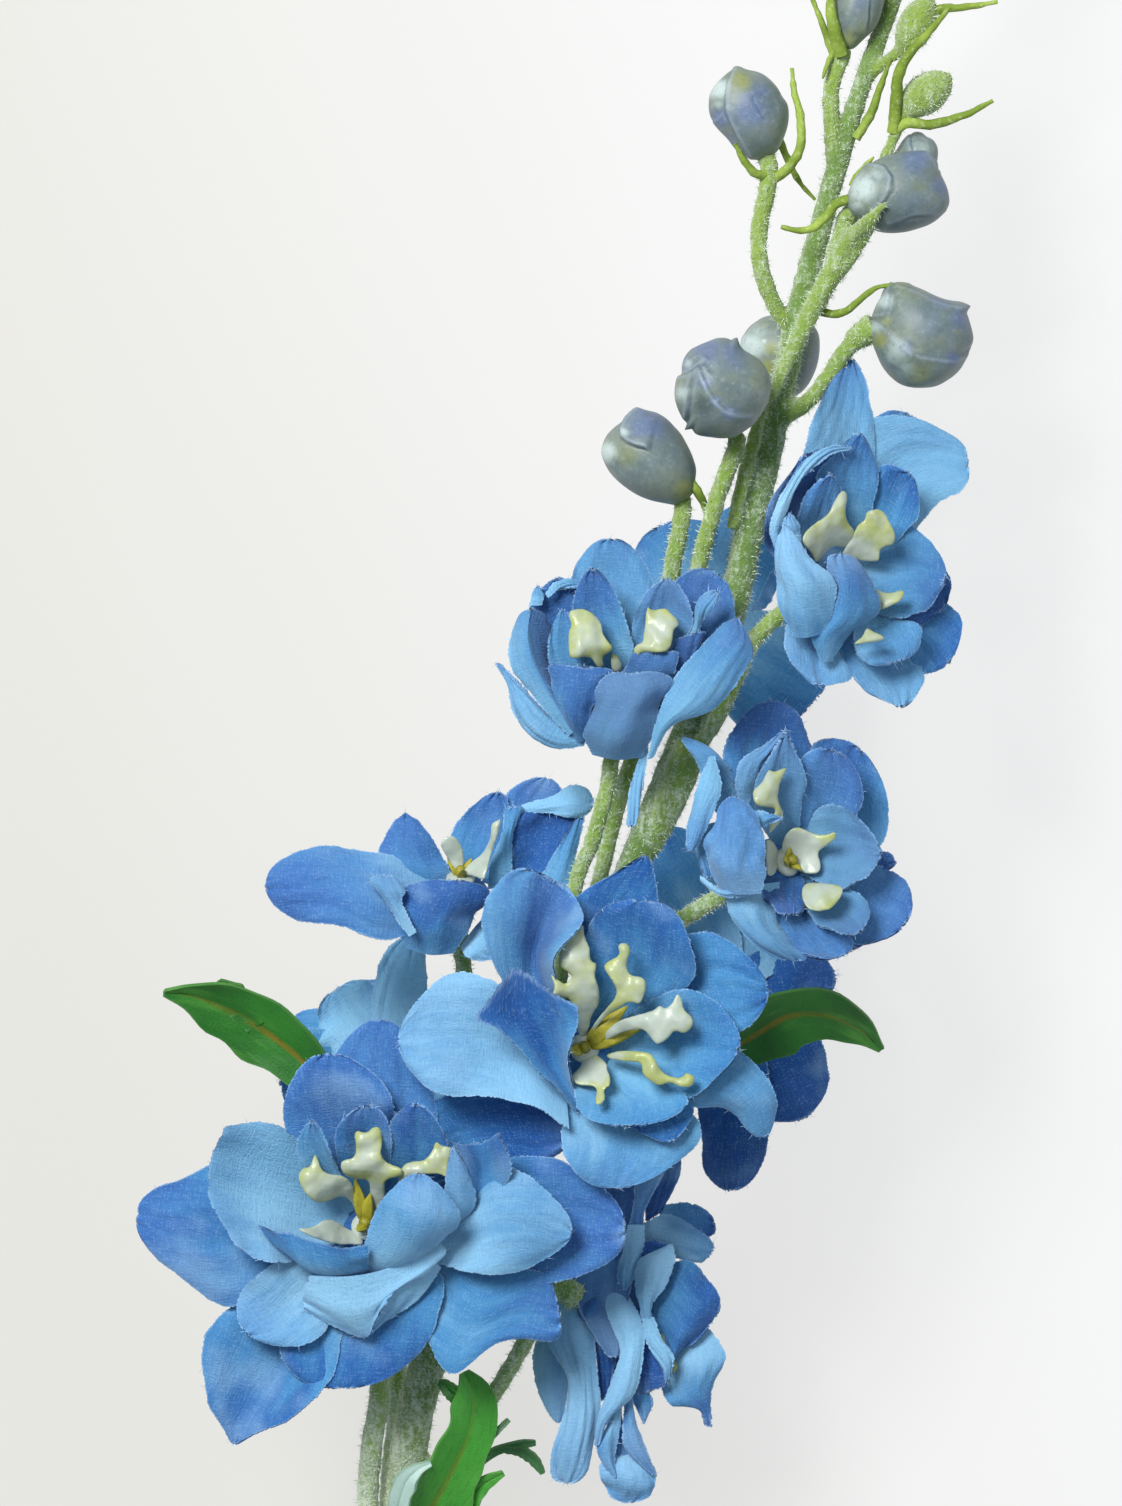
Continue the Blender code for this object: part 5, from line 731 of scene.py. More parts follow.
def settle(piece, material, slot, *nodes):
    """Moves a finished piece from the drawing to the shared frame, gives it its material, hangs it under the
    root body and hides the solids it stands for.
    """
    piece.data.transform(Matrix.Scale(MM, 4) @ Matrix.Translation(-DRAWING_MIDDLE))
    piece.data.materials.clear()
    piece.data.materials.append(material)
    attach(piece, "root")
    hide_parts(*nodes)
    return piece


def ease(values, low, high):
    """0 below low, 1 above high and smooth between."""
    part = np.clip((values - low) / (high - low), 0.0, 1.0)
    return part * part * (3.0 - 2.0 * part)


def waves(seed, count, low, high):
    """A smooth uneven function of one number, between about -1 and 1."""
    draw = random.Random(seed)
    parts = [(draw.uniform(low, high), draw.uniform(0.0, math.tau), draw.uniform(0.5, 1.0))
             for _ in range(count)]

    def height(values):
        """The function's value."""
        total = sum(size * np.sin(math.tau * pitch * values + start)
                    for pitch, start, size in parts)
        return total / (0.75 * count ** 0.75)
    return height


def ripples(seed, count, pitch):
    """A smooth uneven function of a place, between about -1 and 1, with a pitch in mm."""
    draw = random.Random(seed)
    parts = []
    for _ in range(count):
        way = Vector((draw.gauss(0, 1), draw.gauss(0, 1), draw.gauss(0, 1))).normalized()
        parts.append((np.array(way) * math.tau / (pitch * draw.uniform(0.6, 1.6)),
                      draw.uniform(0.0, math.tau)))

    def height(points):
        """The function's value at each point."""
        total = sum(np.sin(points @ way + start) for way, start in parts)
        return total / (0.75 * count ** 0.75)
    return height


def unit(vectors):
    """Vectors as directions of length 1."""
    return vectors / (np.linalg.norm(vectors, axis=-1, keepdims=True) + NEARLY_NOTHING)


def cubic(a, b, c, d, t):
    """The smooth line through four places, from the second to the third."""
    return 0.5 * (2 * b + (c - a) * t + (2 * a - 5 * b + 4 * c - d) * t ** 2
                  + (3 * b - a - 3 * c + d) * t ** 3)


def seat_of(flower):
    """Where the flower sits on its calyx knob."""
    return Vector(flower["throat"]) - Vector(flower["faces"]).normalized() * THROAT_HEIGHT


def frame_of(flower):
    """The flower's own frame: two directions across, the axis it faces along, its seat."""
    axis = Vector(flower["faces"]).normalized()
    across = Vector((1.0, 0.0, 0.0))
    across = (across - axis * across.dot(axis)).normalized()
    return across, axis.cross(across), axis, seat_of(flower)


def summed(parts):
    """Running total of values between even places, from 0."""
    return np.concatenate(([0.0], np.cumsum((parts[1:] + parts[:-1]) / 2)))


def midline(root, length, slopes, shares):
    """Distance from the axis, height and slope of the midline at shares of the length."""
    fine = np.linspace(0.0, 1.0, MIDLINE_STEPS + 1)
    angles = np.radians(np.interp(fine, slopes[0], slopes[1]))
    step = length / MIDLINE_STEPS
    reach = root[0] + summed(np.cos(angles)) * step
    height = root[1] + summed(np.sin(angles)) * step
    return (np.interp(shares, fine, reach), np.interp(shares, fine, height),
            np.interp(shares, fine, angles))


def aim(flower, ring, tip, slope):
    """Bearing and length that bring the tip over the wanted place, seen from above."""
    if tip[0] == POLAR:
        return math.radians(tip[1]), tip[2]
    across, beside, axis, seat = frame_of(flower)
    root = ROOTS[ring]
    far, up, _ = midline((0.0, 0.0), 1.0, ((0.0, 1.0), slope), np.array([1.0]))
    aimed = Vector(flower["throat"]) + Vector((tip[0], tip[1], 0.0)) - seat
    turn = across.x * beside.y - beside.x * across.y
    length = SHORTEST
    bearing = 0.0
    for _ in range(AIM_ROUNDS):
        height = root[1] + length * float(up[0])
        x = aimed.x - axis.x * height
        y = aimed.y - axis.y * height
        u = (x * beside.y - y * beside.x) / turn
        v = (across.x * y - across.y * x) / turn
        bearing = math.atan2(v, u)
        wanted = (math.hypot(u, v) - root[0]) / max(float(far[0]), STEEPEST)
        length += (min(max(wanted, SHORTEST), LONGEST) - length) / 2
    return bearing, length


def petal_outline(shares, point, neck, belly, square):
    """Half width at shares of the length, as a share of the widest."""
    rising = neck + (1.0 - neck) * np.sin(math.pi / 2 * np.clip(shares / belly, 0.0, 1.0))
    part = np.clip((shares - belly) / (1.0 - belly), 0.0, 1.0)
    round_end = (1.0 - part ** square) ** (1.0 / square)
    sharp_end = (1.0 - part) ** SHARP
    falling = round_end + (sharp_end - round_end) * point
    return np.maximum(np.where(shares <= belly, rising, falling), END_WIDTH)


def wrinkles(shares, across, extra, seed, size):
    """How far a petal's places leave its smooth form: lift, side way and length way."""
    vein = waves(seed, count=5, low=1.0, high=3.2)
    fine = waves(seed + 1, count=6, low=3.0, high=7.5)
    lengthwise = waves(seed + 2, count=4, low=0.5, high=1.6)
    left_edge = waves(seed + 3, count=4, low=1.0, high=3.4)
    right_edge = waves(seed + 4, count=4, low=1.0, high=3.4)
    out = np.abs(across)
    fan = across[None, :] * (0.55 + 0.45 * shares[:, None])
    body = ease(shares, 0.08, 0.4)[:, None] * (1.0 - 0.35 * shares[:, None])
    lift = extra.get("veins", VEINS) * vein(fan + 0.15 * lengthwise(shares)[:, None]) * body
    lift = lift + FINE_VEINS * fine(fan) * body
    middle = np.exp(-(across[None, :] / CREASE_WIDTH) ** 2)
    lift = lift - extra.get("crease", CREASE) * middle * body
    wave = lengthwise(shares[:, None] + 0.2 * across[None, :])
    lift = lift + extra.get("wobble", WOBBLE) * wave * ease(shares, 0.1, 0.5)[:, None]
    edge = np.where(across[None, :] < 0, left_edge(shares)[:, None], right_edge(shares)[:, None])
    ruffled = edge * (out[None, :] ** RUFFLE_POWER) * ease(shares, 0.2, 0.6)[:, None]
    lift = lift + extra.get("ruffle", RUFFLE) * ruffled
    frayed = waves(seed + 5, count=7, low=5.0, high=13.0)
    side_fray = np.sign(across)[None, :] * ease(out, 0.86, 1.0)[None, :]
    side_fray = FRAY * frayed(shares)[:, None] * side_fray
    tip_fray = FRAY * frayed(across + 0.37)[None, :] * ease(shares, 0.93, 1.0)[:, None]
    return lift * size, side_fray, tip_fray


def along_petal(value, shares):
    """One value for a whole petal, or a pair that changes evenly from root to tip."""
    start, end = value if isinstance(value, tuple) else (value, value)
    return start + (end - start) * shares


def hang_cloth(piece, places, shares, half, length, extra, draw):
    """Moves a flat grid to the places of a petal, and stores what its colour is made from: paleness and depth
    that are partly painted highlight and painted shade, violet and grey.
    """
    grid = points_of(piece)
    row = np.rint((grid[:, 1] + 1.0) / 2 * ROWS).astype(int)
    column = np.rint((grid[:, 0] + 1.0) / 2 * COLUMNS).astype(int)
    set_points(piece, places[row, column])
    out = np.abs(ACROSS)
    flat_x = ACROSS[None, :] * half[:, None]
    flat_y = shares[:, None] * length + np.zeros_like(flat_x)
    rim = np.minimum((1.0 - out)[None, :] * half[:, None],
                     (1.0 - shares)[:, None] * length * 0.9)
    place = np.stack([np.broadcast_to(shares[:, None], flat_x.shape),
                      np.broadcast_to(out[None, :], flat_x.shape), rim], axis=-1)
    give(piece, PLACE, place[row, column])
    # A petal's depth may also change across it: painted shade in its folds.
    spread = np.array(extra.get("across", (0.0, 0.0)))
    beside = np.interp(np.arange(COLUMNS + 1) / COLUMNS, np.linspace(0, 1, len(spread)), spread)
    dye = [along_petal(extra.get(key, 0.0), shares)[row] for key in ("pale", "tone", "violet", "grey")]
    dye[1] = dye[1] + beside[column]
    pale_part, deep_part, violet_more, grey_more = extra.get("mix", PLAIN_DYE_AND_LIGHT)
    dye[0] = np.where(dye[0] > 0.0, dye[0] * pale_part, dye[0])
    dye[1] = np.where(dye[1] > 0.0, dye[1] * deep_part, dye[1])
    dye[2] = dye[2] + violet_more
    dye[3] = dye[3] + grey_more
    give(piece, DYE_AND_LIGHT, np.stack(dye[:3], axis=-1))
    give(piece, DULL, np.stack([dye[3]] * 3, axis=-1))
    shift = np.array((draw.uniform(0, 40), draw.uniform(0, 40)))
    give_map(piece, (np.stack([flat_x, flat_y], axis=-1)[row, column] + shift) / 100.0)


def closer_at_tip(belly):
    """Shares of a petal's length for its rows, evenly up to the belly and closer at the tip."""
    return np.where(ALONG <= 0.5, belly * ALONG / 0.5,
                    belly + (1.0 - belly) * np.sin((ALONG - 0.5) * math.pi))


def plain_grid(columns, rows):
    """The flat grid that a petal or a leaf starts from."""
    bpy.ops.mesh.primitive_grid_add(x_subdivisions=columns, y_subdivisions=rows, size=2.0)
    return bpy.context.object


def spline(rows, at, where):
    """Smooth values through rows that are given at rising places, read at other places."""
    gaps = np.diff(at)
    form = (-1,) + (1,) * (rows.ndim - 1)
    steps = np.diff(rows, axis=0) / gaps.reshape(form)
    slopes = np.concatenate([steps[:1], steps[-1:]]) if len(rows) == 2 else np.concatenate([
        steps[:1],
        (steps[:-1] * gaps[1:].reshape(form) + steps[1:] * gaps[:-1].reshape(form))
        / (gaps[1:] + gaps[:-1]).reshape(form),
        steps[-1:]])
    index = np.clip(np.searchsorted(at, where, side="right") - 1, 0, len(at) - 2)
    gap = gaps[index].reshape(form)
    t = ((where - at[index]) / gaps[index]).reshape(form)
    return ((2 * t ** 3 - 3 * t ** 2 + 1) * rows[index] + (t ** 3 - 2 * t ** 2 + t) * gap * slopes[index]
            + (3 * t ** 2 - 2 * t ** 3) * rows[index + 1] + (t ** 3 - t ** 2) * gap * slopes[index + 1])


def crossings(stations):
    """The places across a petal at every station, from its left to its right edge."""
    rows = []
    for station in stations:
        numbers = np.array(station[:len(station) // 3 * 3], dtype=float)
        rows.append(numbers.reshape(-1, 3))
    rows = np.array(rows)
    if rows.shape[1] > 2:
        return rows
    middle = rows.mean(axis=1)
    forward = np.gradient(middle, axis=0)
    up = unit(np.cross(rows[:, 1] - rows[:, 0], forward))
    bulge = np.array([station[-1] for station in stations], dtype=float)
    return np.stack([rows[:, 0], middle + up * bulge[:, None], rows[:, 1]], axis=1)


def traced_petal(flower, stations, extra, lean, seed):
    """A petal whose edges are given place by place from root to tip, seen from above."""
    draw = random.Random(seed + 6)
    net = crossings(stations)
    net[:, :, 2] -= lean[0] * net[:, :, 0] + lean[1] * net[:, :, 1]
    middle = (net[:, 0] + net[:, -1]) / 2
    gaps = np.linalg.norm(np.diff(middle, axis=0), axis=1)
    length = float(gaps.sum())
    at = np.concatenate(([0.0], np.cumsum(gaps))) / length
    shares = closer_at_tip(TRACED_BELLY)
    across = ACROSS
    lines = spline(net, at, shares)
    close = extra.get("close", 0.4)
    square = extra.get("square", 2.2)
    part = np.clip((shares - 1.0 + close) / max(close, 1e-6), 0.0, 1.0) if close else np.zeros(ROWS + 1)
    round_end = (1.0 - part ** square) ** (1.0 / square)
    sharp_end = (1.0 - part) ** SHARP
    kept = np.maximum(round_end + (sharp_end - round_end) * extra.get("point", 0.0), END_WIDTH)
    knots = np.linspace(-1.0, 1.0, net.shape[1])
    places = np.stack([spline(lines[index], knots, across * kept[index]) for index in range(ROWS + 1)])
    half = np.linalg.norm(np.diff(places, axis=1), axis=2).sum(axis=1) / 2
    sideways = unit(np.gradient(places, axis=1))
    forward = unit(np.gradient(places, axis=0))
    up = unit(np.cross(sideways, forward))
    lift, side_fray, tip_fray = wrinkles(shares, across, extra, seed, extra.get("crumple", CRUMPLE))
    lift = lift * np.clip(half / BROAD, NARROW_SHARE, 1.0)[:, None]
    rim = np.minimum((1.0 - np.abs(across))[None, :] * half[:, None],
                     (1.0 - shares)[:, None] * length * 0.9)
    rolling = waves(seed + 8, count=3, low=0.6, high=2.0)
    roll = extra.get("roll", ROLL) + ROLL_UNEVEN * rolling(shares[:, None] + across[None, :])
    lift = lift - roll * np.exp(-rim / ROLLED_EDGE) * ease(shares, 0.2, 0.5)[:, None]
    places = (places + up * lift[:, :, None] + sideways * side_fray[:, :, None]
              + forward * tip_fray[:, :, None] + np.array(flower["throat"]))
    piece = plain_grid(COLUMNS, ROWS)
    hang_cloth(piece, places, shares, half, length, extra, draw)
    apply_modifier(piece, "SOLIDIFY", thickness=CLOTH, offset=0.0)
    return piece


BELLIES = (0.56, 0.66)     # where a petal may be widest
SQUARES = (1.9, 2.7)       # how square its end may be
SKEW = 0.10                # how far its end may slant
CUSPS = (0.0, 0.0, 0.6, 1.0)
CUSP_WIDTH = 0.16          # of the width
ROLL_FROM = 0.45           # share of the half width where a side starts to roll
FOLD_SOFT = 0.13           # how gently a fold turns, as a share of the half width


def lay_cloth(piece, petal, line, seed):
    """Lays a flat grid over a petal's form: arc, rolled or folded sides, ruffles, creases."""
    wide, extra = petal
    draw = random.Random(seed + 6)
    belly = extra.get("belly", draw.uniform(*BELLIES))
    shares = closer_at_tip(belly)
    half = wide / 2 * petal_outline(shares, extra.get("point", PETAL_POINT),
                                    extra.get("neck", PETAL_NECK), belly,
                                    extra.get("square", draw.uniform(*SQUARES)))
    across = ACROSS
    out = np.abs(across)
    cup = extra.get("cup", PETAL_CUP) * CUP_MORE
    tip_cup = extra.get("tip_cup", extra.get("cup", PETAL_CUP)) * CUP_MORE
    arc = (cup + (tip_cup - cup) * shares) * np.minimum(1.0, shares / CUP_START)
    roll_start = extra.get("roll_from", ROLL_FROM)
    turn = arc[:, None] * out[None, :]
    for side, key in ((-1, "left"), (1, "right")):
        roll = math.radians(extra.get(key, 0.0))
        grow = ease(shares, extra.get("roll_low", 0.0), extra.get("roll_low", 0.0) + 0.35)
        rolled = ease(out, roll_start, 1.0)[None, :] * roll * grow[:, None]
        turn = turn + np.where(across[None, :] * side > 0, rolled, 0.0)
        fold = extra.get("fold_" + key)
        if fold is not None:
            at, angle, from_share, to_share = fold
            where = ease(shares, from_share, from_share + 0.15)
            where = where * (1 - ease(shares, to_share, to_share + 0.12))
            folded = ease(out, at - FOLD_SOFT, at + FOLD_SOFT)[None, :] * math.radians(angle) * where[:, None]
            turn = turn + np.where(across[None, :] * side > 0, folded, 0.0)
    step = np.abs(np.diff(across))
    middle = COLUMNS // 2
    lateral = np.zeros((ROWS + 1, COLUMNS + 1))
    rise = np.zeros((ROWS + 1, COLUMNS + 1))
    for direction in (1, -1):
        last = middle
        for index in range(middle + direction, (COLUMNS + 1) if direction > 0 else -1, direction):
            mean = (turn[:, index] + turn[:, last]) / 2
            reach = step[min(index, last)] * half
            lateral[:, index] = lateral[:, last] + direction * np.cos(mean) * reach
            rise[:, index] = rise[:, last] + np.sin(mean) * reach
            last = index
    flat_x = across[None, :] * half[:, None]
    length = line["length"]
    lift, side_fray, tip_fray = wrinkles(shares, across, extra, seed, 1.0)
    skew = extra.get("skew", draw.uniform(-SKEW, SKEW)) * wide
    cusp = extra.get("cusp", draw.choice(CUSPS))
    slanted = skew * (across * 0.5)[None, :] * ease(shares, 0.3, 0.9)[:, None]
    tip_fray = tip_fray + slanted * half[:, None] / (wide / 2)
    pointed = np.exp(-(flat_x / (CUSP_WIDTH * wide)) ** 2) * ease(shares, 0.86, 1.0)[:, None]
    tip_fray = tip_fray + cusp * pointed
    inward_x = -np.sin(turn) * np.sign(across)[None, :]
    inward_z = np.cos(turn)
    lateral = lateral + inward_x * lift + side_fray * np.cos(turn)
    rise = rise + inward_z * lift + side_fray * np.sign(across)[None, :] * np.sin(turn)
    base, side, lift_way, length_way = line["frames"](shares)
    places = (base[:, None, :] + side[:, None, :] * lateral[:, :, None]
              + lift_way[:, None, :] * rise[:, :, None]
              + length_way[:, None, :] * tip_fray[:, :, None])
    hang_cloth(piece, places, shares, half, length, extra, draw)


BENDS_AT = (0.62, 0.82)    # shares of the length from which a petal curls
CURL_BY_THEN = 0.45        # share of the curl at the second of them


def petal_frames(flower, petal):
    """The line that a petal follows, as places and directions at shares of its length."""
    ring, tip, _, slope, extra = petal
    across, beside, axis, seat = (np.array(v) for v in frame_of(flower))
    bearing, length = aim(flower, ring, tip, slope)
    length *= extra.get("longer", 1.0)
    outward = across * math.cos(bearing) + beside * math.sin(bearing)
    sideways = np.cross(axis, outward)
    curl = extra.get("curl", 0.0)
    first, second = BENDS_AT
    slopes = ((0.0, first, second, 1.0),
              (slope[0], slope[0] + (slope[1] - slope[0]) * first,
               slope[0] + (slope[1] - slope[0]) * second + curl * CURL_BY_THEN, slope[1] + curl))
    root = ROOTS[ring]
    drop = extra.get("seat", 0.0)

    def frames(shares):
        """Places of the line, and its directions sideways, up and forward."""
        reach, height, angle = midline((root[0], root[1] + drop), length, slopes, shares)
        bend = extra.get("bend", 0.0) * length * shares ** 2
        base = seat + outward * reach[:, None] + axis * height[:, None] + sideways * bend[:, None]
        inward = axis * np.cos(angle)[:, None] - outward * np.sin(angle)[:, None]
        forward = axis * np.sin(angle)[:, None] + outward * np.cos(angle)[:, None]
        roll = np.radians(extra.get("twist", 0.0)) * shares + math.radians(extra.get("tilt", 0.0))
        side = sideways * np.cos(roll)[:, None] + inward * np.sin(roll)[:, None]
        lift = inward * np.cos(roll)[:, None] - sideways * np.sin(roll)[:, None]
        return base, side, lift, forward
    return {"length": length, "frames": frames}


def cloth_petal(flower, petal, seed):
    """One petal of woven cloth with a little thickness."""
    _, _, wide, _, extra = petal
    piece = plain_grid(COLUMNS, ROWS)
    lay_cloth(piece, (wide * extra.get("broad", 1.0), extra), petal_frames(flower, petal), seed)
    apply_modifier(piece, "SOLIDIFY", thickness=CLOTH, offset=0.0)
    return piece


CUP_HALF = 4.5
CUP_HEIGHT = 2.6       # of its middle over the flower's seat
CUP_FLAT = 0.6


def throat_cup(flower):
    """The small cup of cloth and glue at the heart of a flower."""
    _, _, axis, seat = frame_of(flower)
    piece = ball(segments=24, rings=14)
    wide = flower.get("cup", CUP_HALF)
    stand_up(piece, seat + axis * CUP_HEIGHT, axis, (wide, wide, wide * CUP_FLAT))
    count = len(piece.data.vertices)
    give(piece, PLACE, np.tile((0.02, 0.3, 3.0), (count, 1)))
    give(piece, DYE_AND_LIGHT, np.tile((0.0, 0.9, 0.0), (count, 1)))
    give(piece, DULL, np.zeros((count, 3)))
    return piece


FULL_TURN = 360
RING_BEARING = {"outer": 4, "inner": 6}       # how far a bearing may wander, in degrees
RING_LENGTH = {"outer": 1.5, "inner": 1}      # how far a length may
RING_CURL = 6                                 # how much the slope changes toward the tip
INNER_CUP = 0.35


def ring_petals(flower):
    """The even petals of a flower that hangs underneath, drawn with a seed."""
    ring = flower.get("ring")
    if ring is None:
        return []
    draw = random.Random(ring["seed"])
    taken = [math.degrees(aim(flower, kind, tip, slope)[0]) % FULL_TURN
             for kind, tip, _, slope, _ in flower["petals"]]
    petals = []
    count, length, wide, slope = ring["outer"]
    bearings = sorted(taken)
    for _ in range(count):
        spans = []
        for at, start in enumerate(bearings):
            following = bearings[(at + 1) % len(bearings)]
            spans.append(((following - start) % FULL_TURN or FULL_TURN, start))
        span, start = max(spans)
        wander = RING_BEARING["outer"]
        bearing = (start + span / 2 + draw.uniform(-wander, wander)) % FULL_TURN
        bearings = sorted(bearings + [bearing])
        wander = RING_LENGTH["outer"]
        petals.append(("outer", around(bearing, length + draw.uniform(-wander, wander)), wide,
                       (slope, slope - RING_CURL), {}))
    count, length, wide, slope = ring["inner"]
    for index in range(count):
        wander = RING_BEARING["inner"]
        bearing = ring["start"] + FULL_TURN / count * index + draw.uniform(-wander, wander)
        wander = RING_LENGTH["inner"]
        petals.append(("inner", around(bearing, length + draw.uniform(-wander, wander)), wide,
                       (slope, slope + RING_CURL), {"cup": INNER_CUP}))
    return petals


def flower_cloth(name, flower, seed):
    """All cloth of one flower as one piece."""
    pieces = [throat_cup(flower)]
    petals = list(flower.get("petals", ())) + ring_petals(flower)
    for index, petal in enumerate(petals):
        pieces.append(cloth_petal(flower, petal, seed + 17 * index))
    mix = {"mix": FLOWER_DYE_AND_LIGHT.get(name, PLAIN_DYE_AND_LIGHT)}
    for index, (stations, extra) in enumerate(TRACED.get(name, ())):
        pieces.append(traced_petal(flower, stations, {**extra, **mix}, LEAN.get(name, (0.0, 0.0)),
                                   seed + 9 + 13 * index))
    whole = join("cloth_" + name, pieces)
    bpy.ops.object.shade_smooth_by_angle(angle=math.radians(CLOTH_SMOOTH))
    return whole


# Moulded stamens: outlines of flat arms, foot at the origin, in mm
ANTLERS = (
    ((-0.9, 0.0), (0.9, 0.0), (1.0, 3.5), (1.3, 6.2), (2.1, 7.6), (3.6, 8.2), (4.0, 9.3), (2.6, 10.1),
     (1.9, 11.0), (2.4, 12.6), (3.0, 14.4), (2.0, 15.0), (1.1, 13.4), (0.2, 12.8), (-0.8, 13.6),
     (-1.8, 15.0), (-2.9, 14.2), (-2.4, 12.2), (-2.2, 10.6), (-3.7, 10.3), (-4.7, 9.0), (-4.2, 8.0),
     (-2.6, 8.0), (-1.5, 6.6), (-1.0, 3.5)),
    ((-0.8, 0.0), (0.8, 0.0), (0.9, 4.0), (1.2, 6.4), (2.4, 7.4), (3.9, 8.5), (4.3, 10.2), (3.3, 11.5),
     (3.9, 13.3), (2.7, 14.4), (1.2, 13.5), (0.3, 15.0), (-0.7, 13.3), (-2.2, 14.1), (-3.1, 12.6),
     (-2.6, 11.0), (-4.1, 9.8), (-3.5, 8.2), (-1.8, 7.6), (-1.1, 6.0), (-0.9, 4.0)),
    ((-0.9, 0.0), (0.9, 0.0), (1.0, 4.4), (1.9, 6.6), (3.5, 7.3), (4.4, 9.0), (3.7, 10.8), (2.2, 11.6),
     (1.7, 13.2), (1.9, 15.3), (1.0, 15.6), (0.5, 13.6), (-0.8, 12.6), (-2.4, 12.5), (-3.7, 10.8),
     (-3.2, 8.8), (-1.8, 7.6), (-1.2, 6.0), (-1.0, 4.4)),
)
ANTLER_LENGTH = 15.0
ANTLER_THICK = 1.25
ANTLER_VOXEL = 0.34


def moulded_antler(outline):
    """A flat antler with rounded edges, as the mould gives it."""
    bpy.ops.mesh.primitive_circle_add(vertices=len(outline), radius=1.0, fill_type="NGON")
    piece = bpy.context.object
    set_points(piece, np.array([(x, y, -ANTLER_THICK / 2) for x, y in outline]))
    upward = {"value": (0.0, 0.0, ANTLER_THICK)}
    edit(piece, (bpy.ops.mesh.extrude_region_move, {"TRANSFORM_OT_translate": upward}),
         (bpy.ops.mesh.normals_make_consistent, {"inside": False}))
    apply_modifier(piece, "REMESH", mode="VOXEL", voxel_size=ANTLER_VOXEL)
    apply_modifier(piece, "SMOOTH", factor=0.6, iterations=8)
    return piece


def copy_of(piece):
    """A copy of a piece with its own mesh."""
    copy = piece.copy()
    copy.data = piece.data.copy()
    bpy.context.scene.collection.objects.link(copy)
    return copy


PAST_END = 1.06            # an arm's line goes on a little past its length
ARM_WIDTHS = (0.9, 1.08)
ARM_CURLS = (0.02, 0.06)
ARM_TWIST = 22             # degrees
ARM_RIB, RIB_HALF = 0.32, 0.9
ARM_DIMPLE = 0.22
LOBES_FROM, LOBES_WHOLE = 5.0, 8.0     # distance from the foot where an arm turns to its lobes
ARM_HALF = 4.0             # half width of the lobes


def stamen_arm(flower, antler, tip, slope, seed):
    """One antler bent along its line, with a rib and curled lobes."""
    draw = random.Random(seed)
    piece = copy_of(antler)
    flat = points_of(piece)
    mirror = draw.choice((-1.0, 1.0))
    x = flat[:, 0] * mirror * draw.uniform(*ARM_WIDTHS)
    y = flat[:, 1]
    z = flat[:, 2]
    across, beside, axis, seat = (np.array(v) for v in frame_of(flower))
    bearing, length = aim(flower, "arm", tip, slope)
    shares = np.clip(y / ANTLER_LENGTH, 0.0, PAST_END)
    reach, height, angle = midline(ROOTS["arm"], length * PAST_END, ((0.0, 1.0), slope),
                                   shares / PAST_END)
    outward = across * math.cos(bearing) + beside * math.sin(bearing)
    sideways = np.cross(axis, outward)
    head = ease(y, LOBES_FROM, LOBES_WHOLE)
    curl = draw.uniform(*ARM_CURLS)
    twist = math.radians(draw.uniform(-ARM_TWIST, ARM_TWIST)) * head
    rib = ARM_RIB * np.exp(-(x / RIB_HALF) ** 2) * (1.0 - 0.5 * head)
    dimple = ripples(seed, count=5, pitch=3.4)(flat)
    z = z * (1.0 + rib) + curl * x * x * head + ARM_DIMPLE * dimple * head
    side = x * np.cos(twist) - z * np.sin(twist)
    lift = x * np.sin(twist) + z * np.cos(twist)
    inward = axis * np.cos(angle)[:, None] - outward * np.sin(angle)[:, None]
    base = seat + outward * reach[:, None] + axis * height[:, None]
    set_points(piece, base + sideways * side[:, None] + inward * lift[:, None])
    edge = np.clip(np.abs(x) / ARM_HALF, 0.0, 1.0)
    give(piece, PLACE, np.stack([np.clip(shares, 0, 1), edge, head], axis=-1))
    give(piece, DYE_AND_LIGHT, np.tile((draw.uniform(0, 1), draw.uniform(0, 1), 0.0), (len(x), 1)))
    if mirror < 0:
        edit(piece, (bpy.ops.mesh.flip_normals, {}))
    return piece


